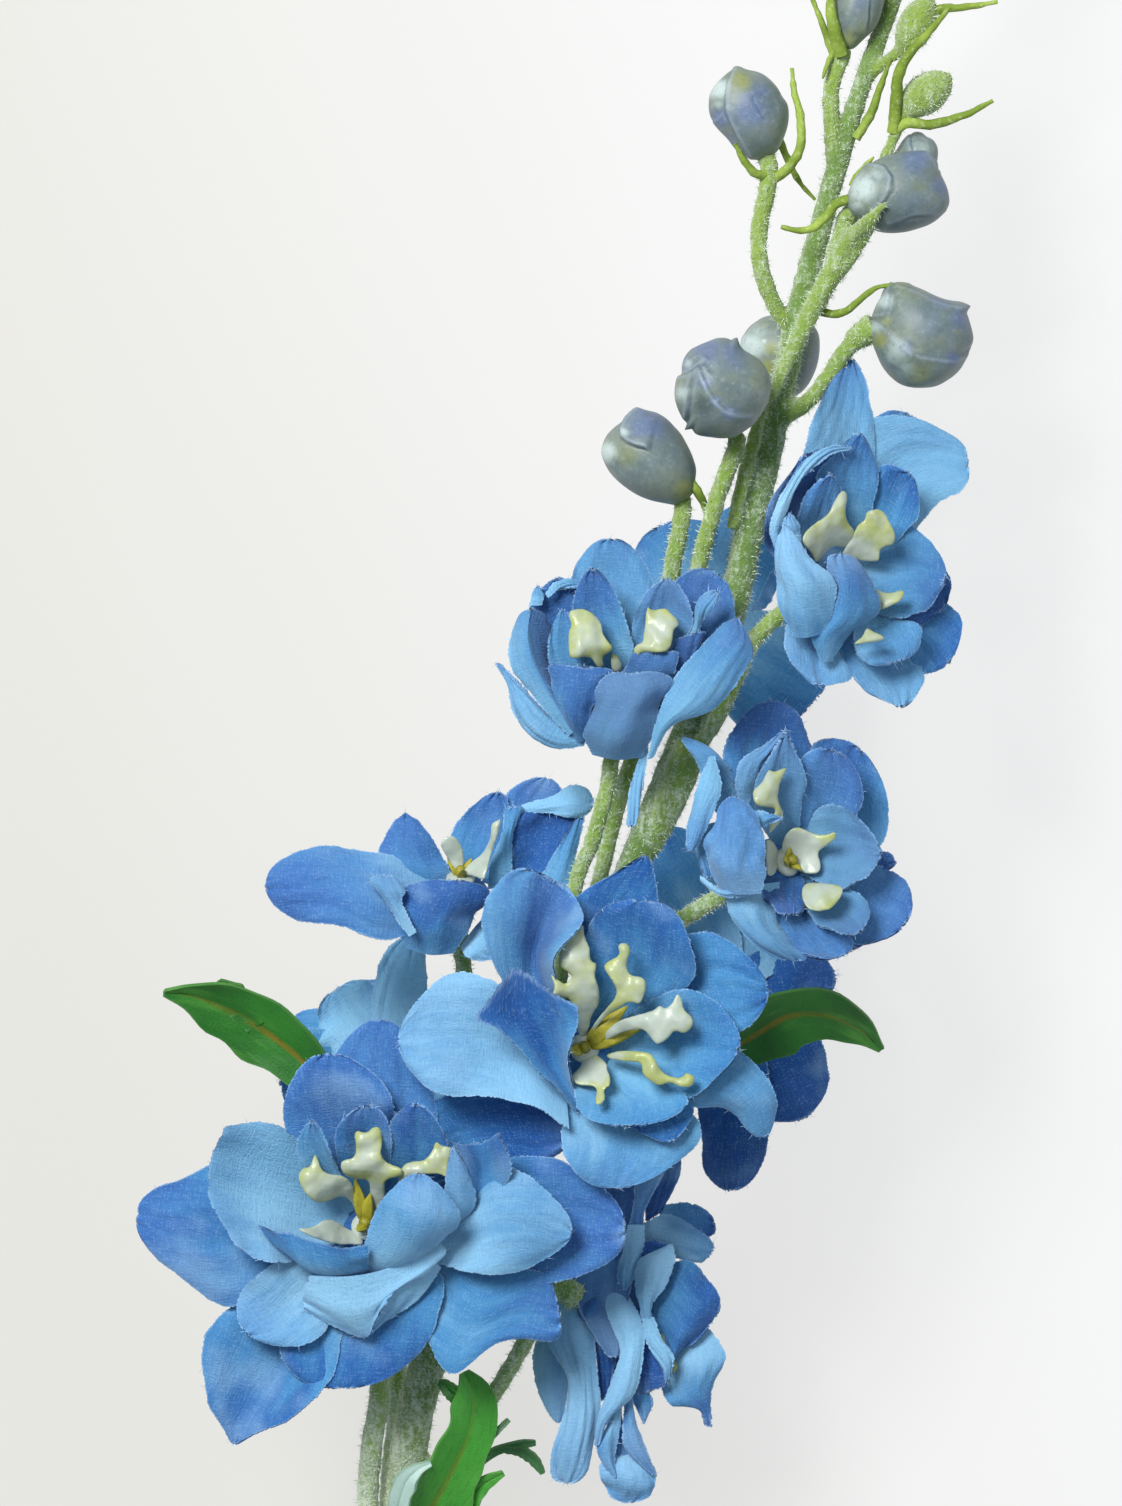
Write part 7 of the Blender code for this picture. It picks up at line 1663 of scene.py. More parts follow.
# Buds as the photograph shows them: the outline seen from above; seams with the height of the
# step, the side of the line that lies on top (1 left, -1 right, 0 none) and the line; patches of
# violet and olive colour, painted highlight (pale) and darker colour (dark), with middle, radius, strength
BUD_FORMS = {
    "bud_high_left": {
        "outline":
            ((12.4, 53), (11.2, 52.6), (10.2, 51.8), (9.2, 50.9), (8, 50), (7, 48.9), (6.4, 47.4), (6.3,
             46.2), (6.8, 44.8), (7.7, 43.2), (8.8, 41.9), (10.2, 40.7), (12, 39.6), (14, 38.9), (16,
             38.6), (17.4, 38.5), (18.6, 39), (19.8, 39.6), (20.6, 40.6), (20.7, 41.6), (20.8, 43.6),
             (20.4, 45.2), (19.9, 46.6), (19.2, 48), (18.4, 49.2), (17.4, 50.2), (16.2, 51.4), (14.8,
             52.3), (13.6, 52.7)),
        "seams":
            ((0.8, 1, ((11.4, 53), (9.9, 51.2), (9.15, 49.6), (9.4, 48.2), (10.3, 47.5), (11.6, 46.9),
             (13, 46.6))),),
        "violet": ((13.5, 50.6, 3.2, 0.9), (11, 51, 1.5, 0.5)),
        "pale": ((7, 46.2, 1.6, 0.9), (9.9, 49, 0.7, 0.7), (8, 42.4, 1.4, 0.35)),
        "olive": ((10.2, 45.4, 2.2, 0.5), (19, 40.4, 1.8, 0.9), (13.6, 48.2, 1, 0.4)),
        "dark": ((14.4, 46.8, 2.6, 0.4), (12, 41.6, 2.4, 0.3)),
    },
    "bud_high_middle": {
        "outline":
            ((26.9, 63.9), (26.3, 63.3), (25.2, 63.6), (23.9, 63.6), (22.8, 63.2), (21.6, 62.7), (20.4,
             62), (19.3, 60.8), (18.7, 59.4), (18.6, 58), (18.1, 57), (17.7, 55.8), (17.6, 54.4), (18,
             52.8), (18.7, 51.6), (19.4, 50.8), (19.2, 49.6), (20.1, 49.7), (20.5, 49.1), (21.4, 48.7),
             (23, 48.5), (24.6, 48.4), (26.4, 48.6), (27.6, 49.2), (28.6, 49.8), (29.8, 50.7), (31,
             52.4), (31.8, 54), (32.3, 56), (32.2, 57.5), (31.6, 58.8), (30.6, 60), (29.6, 60.8), (28.4,
             61.5), (27.5, 62.4)),
        "seams":
            ((0.6, 1, ((19.4, 49.6), (19.6, 52), (19.8, 54), (20.2, 56), (20.8, 57.9), (21.5, 58.9),
             (22.2, 59.7))), (0.45, -1, ((18.4, 57.8), (19.6, 57.7), (20.6, 58.2), (21.3, 58.9))), (0.35,
             -1, ((21.4, 58.6), (22, 57), (22.8, 55.2), (23.9, 53.5), (25.3, 52.4), (27.2, 51.9), (29,
             52)))),
        "violet":
            ((22, 62, 2.5, 0.9), (26.5, 61, 2.6, 0.7), (19.6, 59.4, 1.6, 0.6), (22.2, 56.4, 0.8, 0.9),
             (23.6, 53.6, 0.8, 0.9), (25.6, 51.9, 1.1, 0.9)),
        "pale": ((18.9, 55, 1.3, 0.6), (19.6, 59.4, 0.8, 0.6), (22.2, 56.4, 0.6, 0.4), (23.6, 53.6, 0.6, 0.4),
         (25.8, 52, 0.8, 0.4), (30, 55, 2.2, 0.3)),
        "olive": ((30, 56.4, 2.6, 0.3), (25.8, 57, 1.2, 0.35)),
        "dark": ((21.8, 53, 2, 0.9), (25.6, 56, 2.4, 0.6), (23, 49.6, 2.4, 0.5)),
    },
    "bud_behind": {
        "outline": ((28.1, 63.6), (28.2, 64.8), (28.8, 65.8), (29.6, 66.8), (30.6, 67.6), (31.6, 68.3), (33.2,
         68.7), (35.4, 68.7), (37.6, 68.1), (39.4, 67), (40.4, 65.6), (40.6, 63.6), (40.3, 61.4), (39.6,
         59.4), (38.5, 57.4), (37, 56), (35.2, 55.2), (33.4, 55.4), (31.8, 56.8), (30.4, 58.8), (29.2,
         60.6), (28.4, 62.2)),
        "seams": (),
        "violet": ((39.4, 60, 2.4, 0.4),),
        "pale": ((29.4, 63.4, 2.4, 1), (30.6, 65.6, 1.8, 0.5), (31.6, 64.2, 0.5, 0.8)),
        "olive": ((32.6, 63, 1.4, 0.8), (32.2, 60, 1.4, 1), (31.6, 67.2, 1.2, 0.4)),
        "dark": (),
    },
    "bud_upper_left": {
        "outline":
            ((27.6, 106.1), (26.5, 105.7), (25.2, 104.6), (23.9, 103.4), (23.1, 102), (22.9, 100.6), (23,
             99), (23.6, 97.6), (24.6, 96.2), (25.8, 95), (27, 93.6), (28, 92.7), (29.2, 92.3), (30.6,
             92), (31.8, 92.3), (33.2, 92.8), (34, 94), (34.6, 95.6), (35, 97), (35.2, 98.6), (35,
             100.4), (34.2, 101.6), (33.6, 102.8), (32.6, 104), (31.4, 105), (30.2, 105.5), (29, 105.7),
             (28.2, 105.9)),
        "seams": ((0.45, 1, ((26.7, 106), (25.7, 103.2), (25.25, 101), (25.4, 99.2), (26, 97.4), (26.9, 95.5),
         (27.9, 93.7), (29, 92.2))), (0.3, -1, ((23, 97.6), (24.2, 98.4), (25.3, 99.5))), (0, 0, ((29.6,
         100.6), (30.6, 98.8), (31.4, 97.6)))),
        "violet": ((29.5, 99, 3.2, 0.9), (24.2, 98, 1.8, 0.9), (31, 102, 2.4, 0.6), (26, 94.8, 1.2, 0.5)),
        "pale": ((24.2, 102.6, 1.7, 1), (24.2, 100.2, 0.9, 0.5)),
        "olive": ((27.8, 103.4, 1.8, 0.9),),
        "dark": ((30, 94, 2.2, 0.5),),
    },
    "bud_right": {
        "outline":
            ((48.4, 67.6), (48.9, 69), (49.6, 70.2), (49.9, 71.2), (50.6, 72.2), (51.8, 72.8), (53.8,
             72.7), (54.4, 72.3), (56, 71.7), (58, 70.8), (60, 70.1), (61.6, 69.8), (62.5, 69.5), (63.2,
             69.1), (62.6, 68.1), (62.9, 67.2), (63.5, 65.6), (63.9, 64.2), (63.7, 63), (63, 61.9),
             (62.4, 60.8), (61.6, 59.4), (60.4, 58.2), (59, 57.3), (57.4, 56.7), (55.4, 56.4), (53.8,
             56.6), (52.4, 57.2), (51, 58.4), (49.8, 59.8), (48.9, 61.4), (48.3, 62.9), (48, 64.4),
             (48.1, 66.2)),
        "seams": ((0.3, -1, ((52.2, 72.2), (54.6, 71.4), (57.2, 70), (59.6, 69.2), (61.8, 69), (63, 69.1))),
         (0.45, 1, ((48.4, 67), (49.9, 67), (50.5, 68.6), (50.9, 70.4), (51.4, 72.4))), (0.5, -1, ((48.8,
         66.8), (50.4, 65.4), (52, 63.4), (53.6, 62.2), (55.6, 61.4), (58, 61), (60.4, 61), (62.6, 61.8),
         (63.6, 62.8)))),
        "violet":
            ((58.6, 69.4, 2.4, 0.5), (61.4, 66.8, 2, 0.8), (60.2, 60.9, 1.3, 0.7), (53.2, 62.6, 1.1,
             0.6), (57, 66, 3, 0.35)),
        "pale": ((50.2, 69.6, 1.2, 0.9), (51.8, 62, 2, 0.6), (53.2, 59.4, 1.6, 0.4), (48.6, 65.6, 0.9, 0.7)),
        "olive": ((49.4, 63.6, 1.3, 0.9), (50, 66.6, 0.9, 0.6), (55.4, 58.4, 2.4, 0.5), (61, 64.8, 0.8, 0.5),
         (58.4, 63.4, 1.6, 0.35), (52.6, 72.2, 1.4, 0.5)),
        "dark": ((55, 68, 2.6, 0.45), (58, 57.6, 2, 0.4)),
    },
    "bud_upper_right": {
        "outline":
            ((44, 85.4), (44.4, 86.9), (45.4, 88.8), (46.8, 90.2), (48.4, 91.2), (49.8, 92), (51.6,
             92.6), (53.4, 92.9), (55, 92.9), (56.2, 92.6), (57.2, 92), (58, 91.2), (58.3, 89.8), (59,
             88.4), (59.6, 86.9), (59.8, 85.2), (59.4, 84), (58.4, 82.8), (57, 81.7), (55.2, 80.9),
             (53.2, 80.3), (51.2, 80.1), (49.6, 80.2), (48.2, 80.6), (47.4, 81.4), (46.2, 82), (45, 83),
             (44.2, 84.2)),
        "seams":
            ((0.45, -1, ((47.2, 91), (49.8, 90.2), (50.9, 88.4), (50.8, 86.4), (49.8, 84.6), (48.2,
             83.2))), (0.3, -1, ((56.4, 92.8), (57.3, 91.2), (58.2, 89.8))), (0.25, 1, ((50.6, 80.9),
             (54, 82.2), (57, 82.6), (58.8, 83.2)))),
        "violet": ((54.5, 91.2, 2.5, 0.9), (58.4, 87, 1.8, 0.8), (55, 84, 3, 0.35)),
        "pale": ((46.4, 86.8, 2.2, 1), (48.6, 88.8, 1.4, 0.5), (45.6, 84.4, 1.2, 0.6)),
        "olive": ((55, 86.6, 0.9, 0.4),),
        "dark": ((50.5, 82.4, 2.4, 0.6), (53, 87.6, 2.8, 0.35)),
    },
    "bud_top_left": {
        "outline":
            ((44.4, 109.6), (45.4, 109.5), (46.4, 110.2), (47.6, 111.4), (48.8, 112.9), (49.8, 114.8),
             (50.3, 117), (50.2, 119), (49.4, 121), (47.9, 122.4), (46.2, 122.8), (44.4, 122), (43,
             120.2), (42.3, 118), (42, 116), (42.1, 114), (42.6, 112), (43.4, 110.4)),
        "seams": ((0.25, -1, ((48.2, 121), (47.95, 116.8), (47.9, 114), (47.4, 111.6))),),
        "violet": ((46.6, 116.4, 2.2, 0.5), (46, 121, 2.4, 0.8)),
        "pale": (),
        "olive": ((44.6, 111, 1.8, 0.7), (46.6, 112.2, 1.4, 0.45)),
        "dark": ((44.6, 115, 2, 0.4),),
    },
    "bud_small_right": {
        "outline":
            ((51, 92.6), (52.2, 94), (53.2, 95.4), (54.3, 96.4), (55.2, 96.9), (56.2, 96.7), (56.9, 96),
             (57.9, 95.4), (58.6, 94.3), (58.75, 92.8), (58.3, 91.2), (57.2, 90), (55.4, 89.2), (53.4,
             89.3), (51.8, 90.2), (50.8, 91.4)),
        "seams": ((0.25, -1, ((54.5, 96.8), (54.4, 94.6), (55, 92.4))),),
        "violet": (),
        "pale": ((56, 94, 2.4, 0.45),),
        "olive": ((52.4, 92.4, 1.4, 0.5),),
        "dark": (),
    },
}


def seam_steps(flat, seams):
    """For places seen from above: the lift by the seams, and the distance to the nearest."""
    lift = np.zeros(len(flat))
    nearest = np.full(len(flat), FAR_OFF)
    for height, side, line in seams:
        line = np.array(line)
        best = np.full(len(flat), np.inf)
        hand = np.zeros(len(flat))
        beyond = np.zeros(len(flat))
        for start, end in zip(line[:-1], line[1:]):
            way = end - start
            part = np.clip(((flat - start) @ way) / (way @ way), 0.0, 1.0)
            gap = flat - start - part[:, None] * way
            distance = np.hypot(gap[:, 0], gap[:, 1])
            closer = distance < best
            turned = way[0] * gap[:, 1] - way[1] * gap[:, 0]
            hand = np.where(closer, np.sign(turned), hand)
            best = np.minimum(best, distance)
        for end, toward in ((line[0], line[0] - line[1]), (line[-1], line[-1] - line[-2])):
            past = ((flat - end) @ toward) / np.hypot(*toward)
            beyond = np.maximum(beyond, past)
        near_line = 1.0 - ease(beyond, 0.0, 1.0)
        over = 0.5 + 0.5 * np.clip(hand * side * best / SEAM_EDGE, -1.0, 1.0)
        lift = lift + near_line * height * over * np.exp(-best / SEAM_REACH) * abs(side)
        lift = lift - near_line * SEAM_GROOVE * np.exp(-(best / GROOVE_HALF) ** 2)
        nearest = np.minimum(nearest, best + 4.0 * (1.0 - near_line))
    return lift, nearest


def moulded_bud(name, way, direction, length, thick):
    """A closed bud of overlapping moulded petals, with the outline that it has from above."""
    form = BUD_FORMS[name]
    axis = Vector(direction).normalized()
    middle_height = way[-1][2] + axis.z * (BUD_NECK + BUD_SEAT + length / 2)
    ring = np.array(rounded(form["outline"]))
    middle = ring.mean(axis=0)
    spokes = ring - middle
    bearings = np.arctan2(spokes[:, 1], spokes[:, 0])
    order = np.argsort(bearings)
    bearings = bearings[order]
    reach = np.hypot(spokes[:, 0], spokes[:, 1])[order]
    around_it = np.linspace(-math.pi, math.pi, TURN_STEPS)
    exact = np.interp(around_it, bearings, reach, period=math.tau)
    side = CALM // 2
    wide = np.concatenate([exact[-side - 1:-1], exact, exact[1:side + 1]])
    calm = np.convolve(wide, np.ones(CALM) / CALM, mode="valid")
    piece = ball(segments=BUD_SEGMENTS, rings=BUD_RINGS)
    round_form = points_of(piece)
    turn = np.arctan2(round_form[:, 1], round_form[:, 0])
    out = np.hypot(round_form[:, 0], round_form[:, 1])
    rim = ease(out, HORN_START, 0.995)
    far = np.interp(turn, around_it, calm) * (1.0 - rim)
    far = far + np.interp(turn, bearings, reach, period=math.tau) * rim
    flat = middle + np.stack([np.cos(turn), np.sin(turn)], axis=1) * (out * far)[:, None]
    lift, nearest = seam_steps(flat, form["seams"])
    upper = ease(round_form[:, 2], -0.1, 0.2)
    up = round_form[:, 2:] * thick / 2
    dents = BUD_DENTS * ripples(len(name), count=6, pitch=7.0)(np.hstack([flat, up]))
    places = (np.hstack([flat, middle_height + up])
              + round_form * (lift * upper + dents)[:, None])
    set_points(piece, places)
    foot = np.array(way[-1][:2])
    high = np.hypot(flat[:, 0] - foot[0], flat[:, 1] - foot[1]) / length
    give(piece, PLACE, np.stack([high, nearest + FAR_OFF * (1.0 - upper), lift], axis=-1))
    dye = []
    for kind in BUD_PATCH_KINDS:
        strength = np.zeros(len(flat))
        for x, y, size, much in form[kind]:
            strength = np.maximum(strength, much * np.exp(-((flat[:, 0] - x) ** 2 + (flat[:, 1] - y) ** 2)
                                                          / size ** 2))
        dye.append(strength)
    give(piece, DYE_AND_LIGHT, np.stack(dye[:3], axis=-1))
    give(piece, DULL, np.stack([dye[3]] * 3, axis=-1))
    piece.name = "moulded_" + name
    piece.data.name = piece.name
    bpy.ops.object.shade_smooth()
    return piece


LEAF_ROWS = 40
LEAF_COLUMNS = 14
LEAF_THICK = 0.55
LEAF_FOLD = 0.22
LEAF_SMOOTH = 50       # degrees up to which a leaf is shaded smooth
LEAF_NARROWEST = 0.12  # half width
FULL_HALF = 4.5        # half width at which waves and veins have their whole height
LEAF_TEETH = 0.10      # share of the half width
LEAF_WAVES = 0.55
RIB_DEPTH, RIB_WIDTH = 0.18, 0.14
VEIN_LIFT = 0.07
VEIN_COUNT = 9.0
VEIN_SLANT = 1.4


def printed_leaf(name, lobes, seed):
    """A leaf of printed cloth with lobes, a raised midrib and wavy edges."""
    pieces = []
    for index, (way, facing, lobe_light_and_print) in enumerate(lobes):
        dense = smooth_way(way, 0.25)
        places = np.stack([np.interp(np.linspace(0, 1, LEAF_ROWS + 1),
                                     np.linspace(0, 1, len(dense)), dense[:, k])
                           for k in range(4)], axis=1)
        piece = plain_grid(LEAF_COLUMNS, LEAF_ROWS)
        grid = points_of(piece)
        row = np.rint((grid[:, 1] + 1.0) / 2 * LEAF_ROWS).astype(int)
        column = np.rint((grid[:, 0] + 1.0) / 2 * LEAF_COLUMNS).astype(int)
        across = np.arange(LEAF_COLUMNS + 1) / LEAF_COLUMNS * 2.0 - 1.0
        shares = np.arange(LEAF_ROWS + 1) / LEAF_ROWS
        heading = unit(np.gradient(places[:, :3], axis=0))
        side = unit(np.cross(np.array(Vector(facing).normalized()), heading))
        up = np.cross(heading, side)
        half = np.maximum(places[:, 3], LEAF_NARROWEST)
        out = np.abs(across)
        tooth = waves(seed + index, count=5, low=3.0, high=7.0)
        edge = np.where(across[None, :] < 0, tooth(shares)[:, None], tooth(shares + 0.43)[:, None])
        reach = across[None, :] * half[:, None] * (1.0 + LEAF_TEETH * edge * out[None, :] ** 3)
        wavy = waves(seed + index + 9, count=4, low=1.0, high=3.0)
        rise = half[:, None] * LEAF_FOLD * out[None, :] ** 1.3
        broad = half[:, None] / FULL_HALF
        rise = rise + LEAF_WAVES * wavy(shares)[:, None] * out[None, :] ** 2 * broad
        rise = rise - RIB_DEPTH * np.exp(-(across[None, :] / RIB_WIDTH) ** 2)
        veins = np.sin(math.tau * (shares[:, None] * VEIN_COUNT - out[None, :] * VEIN_SLANT))
        rise = rise + VEIN_LIFT * veins * (1.0 - out[None, :]) * broad
        form = (places[:, None, :3] + side[:, None, :] * reach[:, :, None]
                + up[:, None, :] * rise[:, :, None])
        set_points(piece, form[row, column])
        rim = np.broadcast_to((1.0 - out)[None, :] * half[:, None], reach.shape)
        place = np.stack([np.broadcast_to(shares[:, None], reach.shape),
                          np.broadcast_to(out[None, :], reach.shape), rim], axis=-1)
        give(piece, PLACE, place[row, column])
        give(piece, DYE_AND_LIGHT, np.tile(lobe_light_and_print, (len(grid), 1)))
        steps = np.linalg.norm(np.diff(places[:, :3], axis=0), axis=1)
        along = np.concatenate(([0.0], np.cumsum(steps)))
        flat = np.stack([reach, np.broadcast_to(along[:, None], reach.shape)], axis=-1)
        give_map(piece, (flat[row, column] + 50.0) / 100.0)
        apply_modifier(piece, "SOLIDIFY", thickness=LEAF_THICK, offset=0.0)
        pieces.append(piece)
    whole = join("printed_" + name, pieces)
    bpy.ops.object.shade_smooth_by_angle(angle=math.radians(LEAF_SMOOTH))
    return whole


EDGE_REACH = 0.12      # how near the cut edge threads grow
ROOT_SHARE = 0.35      # share of the length that has none


def cloth_threads(name, cloth, count, seed):
    """Loose thread ends along the cut edges of a flower's cloth."""
    draw = np.random.default_rng(seed)
    place = np.empty(len(cloth.data.vertices) * 3, dtype=np.float32)
    cloth.data.attributes[PLACE].data.foreach_get("vector", place)
    place = place.reshape(-1, 3)
    rim = np.flatnonzero((place[:, 2] < EDGE_REACH) & (place[:, 0] > ROOT_SHARE))
    chosen = draw.choice(rim, min(count, len(rim)), replace=False)
    places = points_of(cloth)
    normals = normals_of(cloth)
    return fibres("threads_" + name, places[chosen], normals[chosen], seed, THREAD_FORM)


class Wire:
    """A node's output that takes part in arithmetic."""

    def __init__(self, board, socket):
        self.board = board
        self.socket = socket

    def __add__(self, other):
        return self.board.sum("ADD", self, other)

    def __sub__(self, other):
        return self.board.sum("SUBTRACT", self, other)

    def __rsub__(self, other):
        return self.board.sum("SUBTRACT", other, self)

    def __mul__(self, other):
        return self.board.sum("MULTIPLY", self, other)

    def __truediv__(self, other):
        return self.board.sum("DIVIDE", self, other)

    def __pow__(self, other):
        return self.board.sum("POWER", self, other)

    __radd__ = __add__
    __rmul__ = __mul__


class Board:
    """The nodes of one material."""

    def __init__(self, name):
        self.material = bpy.data.materials.new(name)
        self.material.use_nodes = True
        self.nodes = self.material.node_tree.nodes
        self.links = self.material.node_tree.links
        self.shader = self.nodes["Principled BSDF"]
        self.end = self.nodes["Material Output"]

    def feed(self, socket, value):
        """Links a wire to a socket, or sets the socket's value."""
        if isinstance(value, Wire):
            self.links.new(value.socket, socket)
        elif value is not None:
            socket.default_value = value

    def make(self, kind, settings=(), inputs=(), output=0):
        """Any node: its settings, then the values or links of its sockets."""
        node = self.nodes.new(kind)
        for key, value in dict(settings).items():
            if key == "stops":
                ramp = node.color_ramp
                while len(ramp.elements) < len(value):
                    ramp.elements.new(0.5)
                for element, (at, color) in zip(ramp.elements, value):
                    element.position = at
                    element.color = (*color, 1.0)
            else:
                setattr(node, key, value)
        for key, value in dict(inputs).items():
            self.feed(node.inputs[key], value)
        return Wire(self, node.outputs[output])

    def sum(self, operation, first, second):
        """One step of arithmetic."""
        return self.make("ShaderNodeMath", {"operation": operation}, {0: first, 1: second})

    def ease(self, value, low, high):
        """0 below low, 1 above high and smooth between."""
        return self.make("ShaderNodeMapRange", {"interpolation_type": "SMOOTHSTEP"},
                         {0: value, 1: low, 2: high, 3: 0.0, 4: 1.0})

    def blend(self, part, first, second, kind="MIX"):
        """A colour between two colours."""
        first = (*first, 1.0) if isinstance(first, tuple) else first
        second = (*second, 1.0) if isinstance(second, tuple) else second
        return self.make("ShaderNodeMix", {"data_type": "RGBA", "blend_type": kind},
                         {0: part, 6: first, 7: second}, 2)

    def stored(self, name):
        """Three stored numbers of a point, as wires."""
        vector = self.make("ShaderNodeAttribute", {"attribute_name": name}, {}, 1)
        node = self.make("ShaderNodeSeparateXYZ", {}, {0: vector}).socket.node
        return [Wire(self, node.outputs[k]) for k in range(3)]

    def noise(self, vector, scale, detail=2.0, rough=0.5):
        """Cloudy noise from 0 to 1."""
        return self.make("ShaderNodeTexNoise", {}, {"Vector": vector, "Scale": scale,
                                                    "Detail": detail, "Roughness": rough})

    def stretched(self, vector, scale, turn=0.0):
        """Coordinates with their own scale each way, turned about the last axis."""
        return self.make("ShaderNodeMapping", {}, {"Vector": vector, "Scale": scale,
                                                   "Rotation": (0.0, 0.0, turn)})

    def drawing(self):
        """Object coordinates: metres in the shared frame."""
        return self.make("ShaderNodeTexCoord", {}, {}, 3)

    def cloth_map(self):
        """The places on the flat cloth, in tenths of a metre."""
        return self.make("ShaderNodeUVMap", {"uv_map": "UVMap"})

    def bump(self, height, strength, distance):
        """Relief on the surface."""
        normal = self.make("ShaderNodeBump", {}, {"Strength": strength, "Distance": distance,
                                                  "Height": height})
        self.feed(self.shader.inputs["Normal"], normal)

    def finish(self, color, roughness, **constants):
        """Colour and roughness may vary; the other values are the same all over."""
        self.feed(self.shader.inputs["Base Color"], color)
        self.feed(self.shader.inputs["Roughness"], roughness)
        for key, value in constants.items():
            self.shader.inputs[key.replace("_", " ")].default_value = value
        return self.material

    def let_light_through(self, share, color):
        """Part of the light goes through the sheet."""
        thin = self.make("ShaderNodeBsdfTranslucent", {}, {"Color": color})
        mixed = self.make("ShaderNodeMixShader", {}, {0: share})
        self.links.new(self.shader.outputs[0], mixed.socket.node.inputs[1])
        self.links.new(thin.socket, mixed.socket.node.inputs[2])
        self.links.new(mixed.socket, self.end.inputs["Surface"])


# Colours as on a screen, from 0 to 255
PAINTS = {
    "petal_root": (104, 166, 206),
    "petal_root_pale": (134, 184, 216),
    "petal_light": (66, 132, 184),
    "petal_blue": (26, 86, 156),
    "petal_deep": (16, 54, 126),
    "petal_violet": (74, 116, 184),
    "petal_pale_and_highlight": (146, 198, 232),
    "petal_blotch": (158, 202, 232),
    "weave_light": (170, 206, 238),
    "weave_dark": (30, 80, 156),
    "petal_dull": (104, 140, 168),
    "petal_cut": (168, 202, 234),
    "thread_blue": (130, 176, 224),
    "thread_pale": (196, 218, 240),
    "stamen_milk": (196, 208, 196),
    "stamen_lime": (186, 196, 122),
    "stamen_speck": (216, 222, 200),
    "olive_deep": (112, 112, 24),
    "olive": (160, 152, 40),
    "olive_light": (176, 170, 64),
    "bud_slate": (104, 120, 124),
    "bud_green": (120, 132, 118),
    "bud_dark": (72, 88, 90),
    "bud_olive": (142, 148, 74),
    "bud_violet": (92, 110, 150),
    "bud_painted_highlight": (190, 206, 204),
    "bud_seam_shade": (62, 76, 112),
    "bud_seam_highlight": (160, 178, 206),
    "bud_fleck_light": (158, 172, 172),
    "bud_fleck_dark": (62, 76, 80),
    "leaf_deep": (18, 76, 24),
    "leaf_green": (40, 112, 36),
    "leaf_painted_light": (70, 158, 54),
    "leaf_streak": (92, 160, 62),
    "leaf_rib": (118, 112, 26),
    "leaf_furrow": (34, 92, 34),
    "leaf_painted_highlight": (186, 214, 206),
    "leaf_cut": (90, 140, 70),
    "stalk_green": (116, 152, 66),
    "stalk_light": (140, 172, 76),
    "stalk_young": (142, 168, 72),
    "stem_wood": (86, 120, 58),
    "stem_wood_young": (108, 142, 68),
    "stem_low_flock_and_light": (196, 216, 130),
    "flock_white": (228, 240, 224),
    "stem_dark": (66, 98, 44),
    "fibre_green": (176, 200, 156),
    "fibre_white": (236, 243, 232),
    "bract_deep": (112, 136, 46),
    "bract_light": (148, 172, 74),
    "bract_flock": (206, 218, 166),
    "floor_left": (233, 232, 227),
    "floor_right": (249, 249, 249),
}


def paint(name):
    """A named colour as the shader takes it (the screen's curve undone)."""
    return tuple((value / 255 / 12.92) if value <= 10 else ((value / 255 + 0.055) / 1.055) ** 2.4
                 for value in PAINTS[name])


WEAVE_TURN = 0.6       # the weave lies slanting on a petal, in radians
WARP_SCALE = (330.0, 60.0, 1.0)
WEFT_SCALE = (60.0, 330.0, 1.0)


